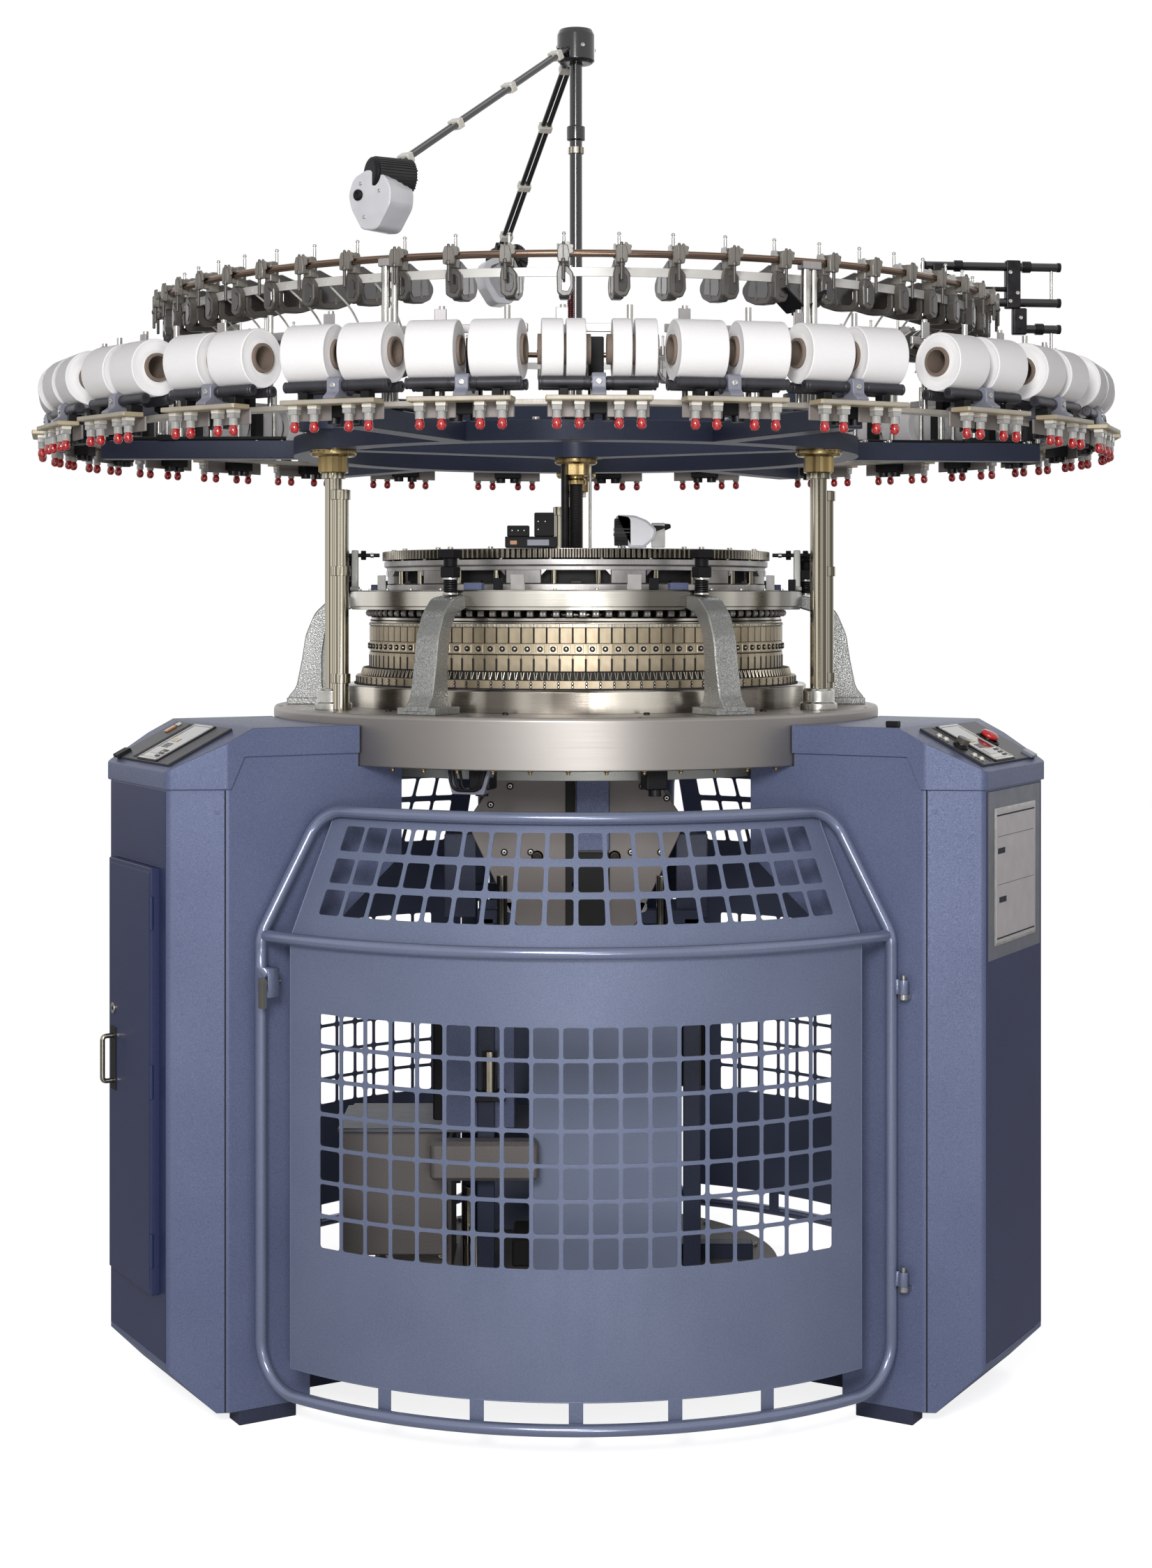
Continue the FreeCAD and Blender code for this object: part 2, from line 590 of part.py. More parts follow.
main_gear = toothed("main_gear_body", [
    ("cylinder_radius - 50", "bed_bottom - 30"), ("journal_radius", "bed_bottom - 30"),
    ("journal_radius", "main_gear_low"),
    ("gear_pitch + tooth_tip * main_module", "main_gear_low"),
    ("gear_pitch + tooth_tip * main_module", "main_gear_low + main_gear_height"),
    ("cylinder_radius - 50", "main_gear_low + main_gear_height")],
    "gear_pitch", "main_teeth", "main_module", "main_gear_low", "main_gear_height")
main_gear.Placement = turn_z(size("shaft_angle"))
node(main_gear, "main_gear")
dial_gear = toothed("dial_gear_body", [
    ("30", "gear_low"), ("gear_pitch + tooth_tip * tooth_module", "gear_low"),
    ("gear_pitch + tooth_tip * tooth_module", "gear_low + gear_height"),
    ("30", "gear_low + gear_height")],
    "gear_pitch", "gear_teeth", "tooth_module", "gear_low", "gear_height")
dial_gear.Placement = turn_z(size("shaft_angle"))
node(dial_gear, "dial_gear")
lower_pinion = toothed("lower_pinion_body", rect(
    "shaft_radius + seat_gap", "pinion_pitch + tooth_tip * main_module", "main_gear_low",
    "main_gear_low + main_gear_height"), "pinion_pitch", "main_pinion_teeth", "main_module",
    "main_gear_low", "main_gear_height")
lower_pinion.Placement = on_shaft("main_pinion_teeth")
node(lower_pinion, "lower_pinion")
upper_pinion = toothed("upper_pinion_body", rect(
    "shaft_radius + seat_gap", "pinion_pitch + tooth_tip * tooth_module", "gear_low",
    "gear_low + gear_height"), "pinion_pitch", "pinion_teeth", "tooth_module",
    "gear_low", "gear_height")
upper_pinion.Placement = on_shaft("pinion_teeth")
node(upper_pinion, "upper_pinion")
shaft = turned("drive_shaft_body", [
    ("0", "main_gear_low - 10"), ("shaft_radius + 7", "main_gear_low - 10"),
    ("shaft_radius + 7", "main_gear_low"), ("shaft_radius", "main_gear_low"),
    ("shaft_radius", "gear_low - 8"), ("shaft_radius + 7", "gear_low - 8"),
    ("shaft_radius + 7", "gear_low"), ("shaft_radius", "gear_low"),
    ("shaft_radius", "gear_low + gear_height + 14"), ("0", "gear_low + gear_height + 14")])
shaft.Placement = Placement(Vector(size(shaft_x), size(shaft_y), 0), Rotation())
node(shaft, "drive_shaft")
bearing = box_item("shaft_bearing_block", ("feeder_radius - 36", "-28", "feeder_top"),
                   ("shaft_distance - feeder_radius + 68", "56", "24"),
                   turn_z(size("shaft_angle")))
bearing_bore = rod_item("shaft_bearing_bore", "shaft_radius + running_fit", "60", Placement(
    Vector(size(shaft_x), size(shaft_y), size("feeder_top - 10")), Rotation()))
node(cut("shaft_bearing_cut", bearing, bearing_bore), "shaft_bearing")

# ---------------------------------------------------------------- needle cylinder and dial
node(turned("needle_cylinder", rect("cylinder_radius - 32", "cylinder_radius",
                                    "main_gear_low + main_gear_height", "cam_top + 11")),
     "needle_cylinder")
carrier = turned("dial_carrier_body", [
    ("cylinder_radius - 17", "feeder_top"), ("cylinder_radius + 17", "feeder_top"),
    ("cylinder_radius + 17", "feeder_top + 53"), ("cylinder_radius + 23", "feeder_top + 53"),
    ("cylinder_radius + 23", "feeder_top + 68"),
    ("dial_shaft_radius + running_fit", "feeder_top + 68"),
    ("dial_shaft_radius + running_fit", "feeder_top"), ("dial_shaft_radius + 55", "feeder_top"),
    ("dial_shaft_radius + 55", "feeder_top + 53"), ("cylinder_radius - 17", "feeder_top + 53")])
window = extrude(carrier, "Pocket", flat_sketch(carrier, "YZ_Plane", [rect(
    "-55", "55", "feeder_top + 16", "feeder_top + 44")], lift="cylinder_radius - 60"), "110",
    reverse=True)
pattern(carrier, window, 12)
node(carrier, "dial_carrier")
node(turned("needle_dial", [
    ("spindle_radius + running_fit", "cam_top + 16"), ("cylinder_radius - 12", "cam_top + 16"),
    ("cylinder_radius - 12", "cam_top + 22"), ("cylinder_radius - 16", "cam_top + 26"),
    ("dial_shaft_radius", "cam_top + 26"), ("dial_shaft_radius", "gear_low"),
    ("spindle_radius + running_fit", "gear_low")]), "needle_dial")
node(turned("centre_spindle", [
    ("0", "cam_top + 60"), ("spindle_radius", "cam_top + 60"), ("spindle_radius", "deck"),
    ("32", "deck"), ("32", "deck + 14"), ("0", "deck + 14")]), "centre_spindle")


def hex_nut(name, across, height, bore, flange, low):
    """Hexagon nut with a round flange on top, made about the machine's axis."""
    prism = doc.addObject("Part::Prism", name + "_prism")
    prism.Polygon = 6
    bind(prism, "Circumradius", across)
    bind(prism, "Height", height)
    prism.Placement = Placement(Vector(0, 0, size(low)), Rotation())
    rim = rod_item(name + "_rim", flange, "15", Placement(
        Vector(0, 0, size("%s + %s - 15" % (low, height))), Rotation()))
    hole = rod_item(name + "_hole", bore, "200", Placement(
        Vector(0, 0, size("%s - 50" % low)), Rotation()))
    return cut(name, joined(name + "_joined", [prism, rim]), hole)


spindle_nut = hex_nut("spindle_nut", "36", "41", "spindle_radius + seat_gap", "51",
                      "frame_low - 41")

# ---------------------------------------------------------------- columns and top frame
column = joined("column", [
    rod_item("column_rod", "column_radius", "frame_rise", turn_z(0, 0, size("bed_top"))),
    rod_item("column_foot", "60", "14", turn_z(0, 0, size("bed_top"))),
    rod_item("column_service_tube", "18", "frame_rise - 90", Placement(
        Vector(0, size("column_radius + 20"), size("bed_top")), Rotation()))])
column_places = [turn_z(a, size("column_circle")) for a in LEG_ANGLES.values()]
node(repeated("columns", column.Shape, column_places), "columns")
nut = hex_nut("column_nut", "37", "51", "column_radius + seat_gap", "52", "frame_low - 51")
node(gathered("frame_nuts", [spindle_nut.Shape] + [
    nut.Shape.transformed(p.toMatrix(), True) for p in column_places]), "frame_nuts")

hub_ring = turned("top_ring_body", rect("frame_inner", "frame_outer", "frame_low", "deck"))
hub = rod_item("top_hub", "65", "frame_thick", turn_z(0, 0, size("frame_low")))
spokes = [box_item("top_spoke", ("50", "-35", "frame_low"),
                   ("frame_inner - 40", "70", "frame_thick"), turn_z(a))
          for a in LEG_ANGLES.values()]
bosses = [rod_item("top_boss", "boss_radius", "boss_height", turn_z(a, size("column_circle"),
                                                                    size("deck")))
          for a in LEG_ANGLES.values()]
upper_hub = rod_item("top_upper_hub", "50", "boss_height - 29", turn_z(0, 0, size("deck + 29")))
upper_arms = [box_item("top_upper_arm", ("35", "-30", "deck + 29"),
                       ("column_circle - 65", "60", "48"), turn_z(a)) for a in LEG_ANGLES.values()]
spindle_bore = rod_item("top_bore", "spindle_radius + seat_gap", "frame_thick + 60",
                        turn_z(0, 0, size("frame_low - 50")))
mast_bore = rod_item("top_mast_bore", "mast_radius + seat_gap", "boss_height + 20",
                     turn_z(0, 0, size("deck + 14")))
node(cut("top_frame_cut", joined("top_frame_joined", [hub_ring, hub, upper_hub] + spokes
                                 + bosses + upper_arms),
         joined("top_bores", [spindle_bore, mast_bore])), "top_frame")

# ---------------------------------------------------------------- creel
SECTOR = [-22.0, -10.0, 2.0, 14.0, 26.0, 42.0, 55.5, 69.5, 84.0]
UNITS = [turn + 120.0 * k - 90.0 for k in range(3) for turn in SECTOR]
NARROW_UNIT = 2.0 - 90.0  # this unit carries four narrow packages
BEAMS = [turn + 120.0 * k - 90.0 for k in range(3) for turn in (-23.0, 28.4)]
creel_ring = turned("creel_ring_body", rect("creel_inner", "creel_outer", "frame_low", "deck"))
beams = [box_item("creel_beam", ("frame_outer - 20", "-30", "frame_low"),
                  ("creel_inner - frame_outer + 25", "60", "frame_thick"), turn_z(a))
         for a in BEAMS]
beam_end = rod_item("creel_beam_end", "frame_outer + seat_gap", "400",
                    turn_z(0, 0, size("frame_low - 100")))
node(cut("creel_frame_cut", joined("creel_frame_joined", [creel_ring] + beams), beam_end),
     "creel_frame")


# One creel unit in its own frame, +X out from the axis: a grey clip with two ears holds
# two roller bars, and a bobbin on its paper core lies on the bars at each side of the clip.
clip = body_of("creel_clip_body")
ear_low, ear_top = "deck + 11", "deck + roller_rise + 17"
clip_outline = [("creel_inner + 2", "deck"), ("lamp_circle + 12", "deck"),
                ("lamp_circle + 12", "deck + 6"), ("creel_radius + 46", "deck + 16"),
                ("creel_radius + 46", ear_top + " - 7"), ("creel_radius + 40", ear_top),
                ("creel_radius + 20", ear_top), ("creel_radius + 12", ear_top + " - 8"),
                ("creel_radius + 12", ear_low), ("creel_radius - 12", ear_low),
                ("creel_radius - 12", ear_top + " - 8"), ("creel_radius - 20", ear_top),
                ("creel_radius - 40", ear_top), ("creel_radius - 46", ear_top + " - 8"),
                ("creel_radius - 46", ear_low), ("creel_inner + 2", "deck + 8")]
extrude(clip, "Pad", flat_sketch(clip, "XZ_Plane", [clip_outline]), "2 * clip_half",
        symmetric=True)
extrude(clip, "Pocket", flat_sketch(clip, "XZ_Plane", circles=[
    ("creel_radius + roller_reach", "deck + roller_rise", "roller_pin + running_fit"),
    ("creel_radius - roller_reach", "deck + roller_rise", "roller_pin + running_fit")]),
    "4 * clip_half", symmetric=True)
rail = box_item("lamp_rail", ("lamp_circle - 25", "-100", "deck - 9"), ("47", "200", "9"))
unit_clip = joined("creel_clip_joined", [clip, rail])
bar = turned("roller_bar", [
    ("0", "-roller_half"), ("roller_radius", "-roller_half"), ("roller_radius", "-clip_half - 1"),
    ("roller_pin", "-clip_half - 1"), ("roller_pin", "clip_half + 1"),
    ("roller_radius", "clip_half + 1"), ("roller_radius", "roller_half"), ("0", "roller_half")])
lamp = joined("stop_lamp", [
    box_item("lamp_body", ("-10", "-10", "deck - 25"), ("20", "20", "16")),
    rod_item("lamp_dome", "8.5", "34", turn_z(0, 0, size("deck - 59")))])
LYING = Rotation(Vector(1, 0, 0), -90)
bobbin_rise = math.sqrt(size("(bobbin_radius + roller_radius + face_gap) ^ 2 - roller_reach ^ 2"))


def in_unit(angle, along, across, height, turn=LYING):
    """Placement of a piece that lies across a creel unit, its axis along the ring."""
    return turn_z(angle).multiply(Placement(Vector(along, across, height), turn))


def yarn_package(name, start, length):
    """Wound yarn as a thick tube, from a start along its own axis."""
    return turned(name, rect("core_radius + face_gap", "bobbin_radius", start,
                             "%s + %s" % (start, length)))


def core_tube(name, start, length):
    """Paper core inside a yarn package."""
    return turned(name, rect("core_bore", "core_radius", start, "%s + %s" % (start, length)))


plain_unit = [yarn_package("bobbin_right", "bobbin_start", "bobbin_length"),
              yarn_package("bobbin_left", "-bobbin_start - bobbin_length", "bobbin_length")]
plain_cores = [core_tube("core_right", "core_start", "core_length"),
               core_tube("core_left", "-core_start - core_length", "core_length")]
NARROW = [("-107", "41"), ("-61", "37"), ("26", "36"), ("68", "42")]
narrow_unit = [yarn_package("bobbin_narrow", start, length) for start, length in NARROW]
narrow_cores = [core_tube("core_narrow_left", "-core_start - core_length", "core_length - 6"),
                core_tube("core_narrow_right", "core_start + 8", "core_length - 8")]
bar_height = size("deck + roller_rise")
centre = size("creel_radius")
node(repeated("roller_brackets", unit_clip.Shape, [turn_z(a) for a in UNITS]), "roller_brackets")
node(repeated("creel_rollers", bar.Shape, [
    in_unit(a, centre + side * size("roller_reach"), 0, bar_height)
    for a in UNITS for side in (1, -1)]), "creel_rollers")
package_shapes, core_shapes = [], []
for angle in UNITS:
    place = in_unit(angle, centre, 0, bar_height + bobbin_rise).toMatrix()
    narrow = angle == NARROW_UNIT
    package_shapes += [b.Shape.transformed(place, True)
                       for b in (narrow_unit if narrow else plain_unit)]
    core_shapes += [c.Shape.transformed(place, True)
                    for c in (narrow_cores if narrow else plain_cores)]
node(gathered("bobbins", package_shapes), "bobbins")
node(gathered("bobbin_cores", core_shapes), "bobbin_cores")
LAMP_SPOTS = (-79.0, -37.0, 37.0, 79.0)
node(repeated("stop_lamps", lamp.Shape, [
    in_unit(a, size("lamp_circle"), spot, 0, Rotation()) for a in UNITS for spot in LAMP_SPOTS]),
    "stop_lamps")

# yarn-guide ring above the creel
guide = body_of("guide_ring_body")
revolve(guide, "Revolution", flat_sketch(guide, "XZ_Plane", circles=[(
    "guide_circle", "deck + guide_rise", "7.5")]))
node(turned("guide_band", rect("guide_circle - 28", "guide_circle - 24",
                               "deck + guide_rise - 42", "deck + guide_rise - 24")),
     "guide_band")
clamp_block = body_of("guide_clamp_body")
ring_height = "deck + guide_rise"
extrude(clamp_block, "Pad", flat_sketch(clamp_block, "XZ_Plane", [[
    ("guide_circle - 7.6", ring_height + " - 24"), ("guide_circle - 7.6", ring_height + " + 15"),
    ("guide_circle - 15", ring_height + " + 23"), ("guide_circle - 31", ring_height + " + 23"),
    ("guide_circle - 31", ring_height + " - 7"), ("guide_circle - 70", ring_height + " - 13"),
    ("guide_circle - 117", ring_height + " - 19"), ("guide_circle - 151", ring_height + " - 43"),
    ("guide_circle - 137", ring_height + " - 69"), ("guide_circle - 95", ring_height + " - 81"),
    ("guide_circle - 45", ring_height + " - 84"), ("guide_circle - 30", ring_height + " - 71"),
    ("guide_circle - 30", ring_height + " - 24")]]), "14", symmetric=True)
clamp = joined("guide_clamp", [
    clamp_block,
    rod_item("guide_clamp_pin", "3.5", "125", turn_z(0, size("guide_circle - 33"),
                                                     size("deck + guide_rise - 77")))])
node(repeated("guide_clamps", clamp.Shape, [turn_z(-91.45 + i * 360.0 / 54) for i in range(54)]),
     "guide_clamps")
post = rod_item("guide_post", "post_radius", "guide_rise",
                turn_z(0, size("guide_circle"), size("deck")))
guide_posts = repeated("guide_posts", post.Shape, [turn_z(a) for a in BEAMS])
node(joined("guide_ring_joined", [guide, guide_posts]), "guide_ring")

# tube rack that stands on the creel beam at the operator's right, square to the axis
RACK_ANGLE = BEAMS[2]
rack_place = turn_z(RACK_ANGLE)
ALONG = Rotation(Vector(0, 1, 0), 90)
rack_tubes = [rod_item("rack_tube", radius, length, rack_place.multiply(Placement(
    Vector(size(start), 0, size(height)), ALONG))) for radius, start, length, height in (
    ("10.5", "creel_radius - 345", "346", "deck + 432"),
    ("10.5", "creel_radius - 320", "321", "deck + 345"),
    ("10.5", "creel_radius - 108", "109", "deck + 281"))]
rack_plates = [box_item("rack_plate", low, spans, rack_place) for low, spans in (
    (("creel_radius - 322", "-20", "deck"), ("50", "40", "9")),
    (("creel_radius - 310", "-4", "deck"), ("26", "8", "424")),
    (("creel_radius - 137", "-5", "deck + 330"), ("36", "10", "139")),
    (("creel_radius - 119", "-5", "deck + 253"), ("34", "10", "94")))]
rack_rods = [rod_item("rack_rod", "4", length, rack_place.multiply(Placement(
    Vector(size("creel_radius - 21"), 0, size(height)), Rotation())))
    for height, length in (("deck + 345", "87"), ("deck + 233", "48"))]
node(joined("side_rack_joined", rack_tubes + rack_plates + rack_rods), "side_rack")

# ---------------------------------------------------------------- mast and lint blowers
node(turned("mast", [("0", "deck + 14"), ("mast_radius", "deck + 14"),
                     ("mast_radius", "mast_top - 275"), ("22", "mast_top - 275"),
                     ("22", "mast_top - 207"), ("mast_radius", "mast_top - 207"),
                     ("mast_radius", "mast_top"), ("0", "mast_top")]), "mast")
arm_hub = turned("blower_hub", [
    ("mast_radius + running_fit", "mast_top - 60"), ("45", "mast_top - 60"),
    ("45", "mast_top + 20"), ("0", "mast_top + 20"), ("0", "mast_top + 3"),
    ("mast_radius + running_fit", "mast_top + 3")])
BLOWER_ANGLES = {"front": 234.0, "rear": 107.0}
arm_parts = [arm_hub]
for angle in BLOWER_ANGLES.values():
    root = Vector(30, 0, size("mast_top - 25"))
    elbow = Vector(size("blower_circle"), 0, size("mast_top - blower_drop + 130"))
    run = elbow.sub(root)
    place = turn_z(angle)
    slanted = doc.addObject("Part::Cylinder", "blower_arm_slant")
    slanted.Radius = 12
    slanted.Height = run.Length
    slanted.Placement = place.multiply(Placement(root, Rotation(Vector(0, 0, 1), run)))
    ball = doc.addObject("Part::Sphere", "blower_arm_ball")
    ball.Radius = 12
    ball.Placement = place.multiply(Placement(elbow, Rotation()))
    drop = rod_item("blower_arm_drop", "12", "45", place.multiply(Placement(
        elbow.sub(Vector(0, 0, 45)), Rotation())))
    arm_parts += [slanted, ball, drop]
node(joined("blower_arms_joined", arm_parts), "blower_arms")
head = body_of("blower_head_body")
head_level = "mast_top - blower_drop"
housing = extrude(head, "Pad", flat_sketch(head, "XZ_Plane", [[
    ("blower_circle - 60", head_level + " - 48"), ("blower_circle - 26", head_level + " - 85"),
    ("blower_circle + 26", head_level + " - 85"), ("blower_circle + 60", head_level + " - 48"),
    ("blower_circle + 60", head_level + " + 48"), ("blower_circle + 26", head_level + " + 85"),
    ("blower_circle - 26", head_level + " + 85"), ("blower_circle - 60", head_level + " + 48")]]),
    "120", symmetric=True)
rounded(head, housing, "18", lambda a, b: abs(a.y - b.y) < 0.01 and abs(a.z - b.z) > 20, "Chamfer")
drum = turned("blower_drum_body", [("0", "50"), ("46", "50"), ("50", "54"), ("50", "86"),
                                   ("46", "90"), ("34", "90"), ("30", "82"), ("0", "82")])
drum.Placement = Placement(Vector(size("blower_circle"), 0, size(head_level)),
                           Rotation(Vector(0, 1, 0), 90))
blower_head = joined("blower_head", [head, drum])
node(repeated("blower_heads", blower_head.Shape, [turn_z(a) for a in BLOWER_ANGLES.values()]),
     "blower_heads")

# ---------------------------------------------------------------- take-down unit
plates = []
for name, y in (("rear", "plate_apart / 2 - 7"), ("front", "7 - plate_apart / 2")):
    plate = body_of("takedown_plate_" + name)
    corner_holes = [(x, z, "9") for x in ("plate_half - 28", "28 - plate_half")
                    for z in ("bed_bottom - 60", "bed_bottom - 150")]
    extrude(plate, "Pad", flat_sketch(plate, "XZ_Plane", [[
        ("-plate_half", "bed_bottom - 30"), ("-plate_half", "bed_bottom - 185"),
        ("-0.76 * plate_half", "bed_bottom - 275"), ("-0.5 * plate_half", "bed_bottom - 385"),
        ("0.5 * plate_half", "bed_bottom - 385"), ("0.76 * plate_half", "bed_bottom - 275"),
        ("plate_half", "bed_bottom - 185"), ("plate_half", "bed_bottom - 30")]], corner_holes),
        "14", symmetric=True)
    plate.Placement = Placement(Vector(0, size(y), 0), Rotation())
    plates.append(plate)
level = Rotation(Vector(1, 0, 0), -90)
ties = [rod_item("takedown_tie", "12", "plate_apart - 28", Placement(
    Vector(x, size("14 - plate_apart / 2"), size("bed_bottom - 340")), level))
    for x in (-150, 150)]
posts = [box_item("takedown_post", ("-30", y, "turntable_low + 20"),
                  ("60", "40", "bed_bottom - 405 - turntable_low"))
         for y in ("plate_apart / 2 - 30", "-plate_apart / 2 - 10")]
cross = [box_item("takedown_cross", ("-25", "-plate_apart / 2", z), ("50", "plate_apart", "50"))
         for z in ("turntable_low + 420", "bed_bottom - 480")]
ROLLER_SPOTS = {"left": (-88.0, "bed_bottom - 225"), "middle": (0.0, "bed_bottom - 288"),
                "right": (88.0, "bed_bottom - 225")}
bores = [rod_item("takedown_bore", "roller_journal + running_fit", "plate_apart + 40", Placement(
    Vector(x, size("-plate_apart / 2 - 20"), size(z)), level)) for x, z in ROLLER_SPOTS.values()]
node(cut("takedown_frame_cut", joined("takedown_frame_joined", plates + ties + posts + cross),
         joined("takedown_bores", bores)), "takedown_frame")
for key, (x, z) in ROLLER_SPOTS.items():
    drum = rod_item("takedown_drum", "takedown_drum", "plate_apart - 32", Placement(
        Vector(x, size("16 - plate_apart / 2"), size(z)), level))
    journal = rod_item("takedown_journal", "roller_journal", "plate_apart", Placement(
        Vector(x, size("-plate_apart / 2"), size(z)), level))
    node(joined("takedown_roller_joined", [drum, journal]), "takedown_roller_" + key)
table = turned("turntable_body", [
    ("0", "60"), ("40", "60"), ("40", "turntable_low - 20"), ("70", "turntable_low - 20"),
    ("70", "turntable_low"), ("rotor_radius - 20", "turntable_low"),
    ("rotor_radius - 20", "turntable_low + 20"), ("0", "turntable_low + 20")])
gearbox = box_item("takedown_gearbox", ("-0.92 * rotor_radius", "-110", "turntable_low + 10"),
                   ("0.34 * rotor_radius", "220", "310"))
node(joined("turntable_joined", [table, gearbox]), "turntable")

spider = body_of("base_spider_body")
arm_pad = extrude(spider, "Pad", flat_sketch(spider, "XY_Plane", [rect(
    "0", "leg_inner", "-60", "60")], lift="40"), "80")
pattern(spider, arm_pad, 3)
spider_hub = flat_sketch(spider, "XY_Plane", circles=[("0", "0", "95")], lift="40")
extrude(spider, "Pad", spider_hub, "turntable_low - 30 - 40")
extrude(spider, "Pocket", flat_sketch(spider, "XY_Plane", circles=[(
    "0", "0", "40 + running_fit")], lift="50"), "300", reverse=True)
spider.Placement = turn_z(90)
node(spider, "base_spider")

# ---------------------------------------------------------------- guard gates


def side_angle(circle):
    """Angle from a gate's centre at which its side tube meets a circle."""
    return 60.0 - math.degrees(math.asin(size("gate_side") / circle))


def around(circle, angle, height):
    rad = math.radians(angle)
    return Vector(circle * math.cos(rad), circle * math.sin(rad), height)


BEND, SHOULDER_BEND, TOP_REACH = 100.0, 80.0, 60.0
side_circle = math.hypot(size("gate_circle"), BEND)


def along_circle(angle):
    """Level direction along a circle about the axis at an angle."""
    rad = math.radians(angle)
    return Vector(-math.sin(rad), math.cos(rad), 0)


def gate_loop():
    """A gate's tube loop: level arcs, bent lower corners, upright and leaning sides."""
    low, high = size("gate_circle"), size("gate_top_circle")
    z_low, z_mid, z_top = size("gate_low"), size("gate_shoulder"), size("gate_top")
    tube, up = size("gate_tube"), Vector(0, 0, 1)
    side = side_angle(side_circle)
    start = side - math.degrees(math.atan2(BEND, low))
    top_start = (side_angle(math.hypot(high, TOP_REACH))
                 - math.degrees(math.atan2(TOP_REACH, high)))
    shoulder = around(side_circle, side, z_mid)
    top_end = around(high, top_start, z_top)
    corner = top_end.add(along_circle(top_start) * TOP_REACH)
    lean = corner.sub(shoulder).normalize()
    back = along_circle(top_start) * -1
    turn_in = SHOULDER_BEND * math.tan(up.getAngle(lean) / 2)
    top_radius = TOP_REACH / math.tan(lean.getAngle(back) / 2)
    lean_start, lean_end = shoulder.add(lean * turn_in), corner.sub(lean * TOP_REACH)
    upright_end = shoulder.sub(up * turn_in)
    pieces = [arc_tube(low, tube, start, z_low),
              bent_tube(around(low, start, z_low), along_circle(start), up, BEND, tube),
              straight_tube(around(side_circle, side, z_low + BEND), upright_end, tube),
              bent_tube(upright_end, up, lean, SHOULDER_BEND, tube),
              straight_tube(lean_start, lean_end, tube),
              bent_tube(lean_end, lean, back, top_radius, tube)]
    mirrored = [p.mirror(Vector(0, 0, 0), Vector(0, 1, 0)) for p in pieces[1:]]
    return pieces[0].multiFuse(pieces[1:] + mirrored + [
        arc_tube(high, tube, top_start, z_top)]).removeSplitter()


outline = doc.addObject("Part::Feature", "gate_outline_tube")
outline.Shape = gate_loop()
mid_tube = doc.addObject("Part::Torus", "gate_mid_tube")
bind(mid_tube, "Radius1", "gate_circle")
bind(mid_tube, "Radius2", "gate_tube")
gate_half = side_angle(size("gate_circle"))
mid_tube.Angle3 = 2 * gate_half
mid_tube.Placement = turn_z(-gate_half, 0, size("gate_shoulder"))
hinge_x = "hinge_radius * 0.5 + gate_side * 0.8660254"
hinge_y = "hinge_radius * 0.8660254 - gate_side * 0.5"
HINGE_HEIGHTS = ("gate_low + 215", "gate_shoulder - 122")
barrels = [rod_item("gate_barrel", "10", "30", Placement(
    Vector(size(hinge_x), size(hinge_y), size(z)), Rotation())) for z in HINGE_HEIGHTS]
reach = size("hinge_radius") - math.sqrt(side_circle ** 2 - size("gate_side ^ 2"))
arms = [box_item("gate_barrel_arm", ("hinge_radius - %s" % reach, "-gate_side - 4", z),
                 ("%s" % reach, "8", "30"), turn_z(60)) for z in HINGE_HEIGHTS]
pin_holes = [rod_item("gate_barrel_bore", "pin_radius + running_fit", "60", Placement(
    Vector(size(hinge_x), size(hinge_y), size(z + " - 10")), Rotation())) for z in HINGE_HEIGHTS]
latch_angle = -gate_half + 1.2
latch_height = "gate_shoulder - 96"
latch_block = box_item("latch_block", ("gate_circle - 12", "-24", latch_height + " - 30"),
                       ("30", "42", "60"), turn_z(latch_angle))
latch_line = Rotation(Vector(0, 1, 0), 90)


def latch_place(start):
    return turn_z(latch_angle).multiply(Placement(
        Vector(size(start), 8, size(latch_height)), latch_line))


latch_hole = rod_item("latch_hole", "8 + running_fit", "80", latch_place("gate_circle - 30"))
gate_frame = cut("gate_frame_cut", joined("gate_frame_joined", [
    outline, mid_tube, latch_block] + barrels + arms),
    joined("gate_frame_holes", pin_holes + [latch_hole]))
sheet = body_of("gate_sheet_body")
sheet_half = side_angle(size("gate_top_circle")) - 1.65
revolve(sheet, "Revolution", flat_sketch(sheet, "XZ_Plane", [[
    ("gate_circle - gate_tube - 2.3", "gate_low - 2"),
    ("gate_circle - gate_tube - 0.1", "gate_low - 2"),
    ("gate_circle - gate_tube - 0.1", "gate_shoulder"),
    ("gate_top_circle - gate_tube - 3.4", "gate_top + 3"),
    ("gate_top_circle - gate_tube - 5.8", "gate_top + 3"),
    ("gate_circle - gate_tube - 2.3", "gate_shoulder")]]), angle=2 * sheet_half)
# the skirt is cut away between five tabs that reach down to the bottom tube
tab_pitch = 200.0
skirt_gaps = []
for side in (1, -1):
    for number in range(3):
        near = "%g + tab_half" % (number * tab_pitch)
        far = "%g - tab_half" % ((number + 1) * tab_pitch) if number < 2 else "gate_circle"
        skirt_gaps.append([("%d * (%s)" % (side, y), z) for y, z in (
            (near, "gate_low - 10"), (far, "gate_low - 10"), (far, "gate_low + skirt"),
            (near, "gate_low + skirt"))])
extrude(sheet, "Pocket", flat_sketch(sheet, "YZ_Plane", skirt_gaps), "gate_circle + 50",
        reverse=True)
pitch_angle = math.degrees(size("window_pitch / (gate_circle - gate_tube)"))


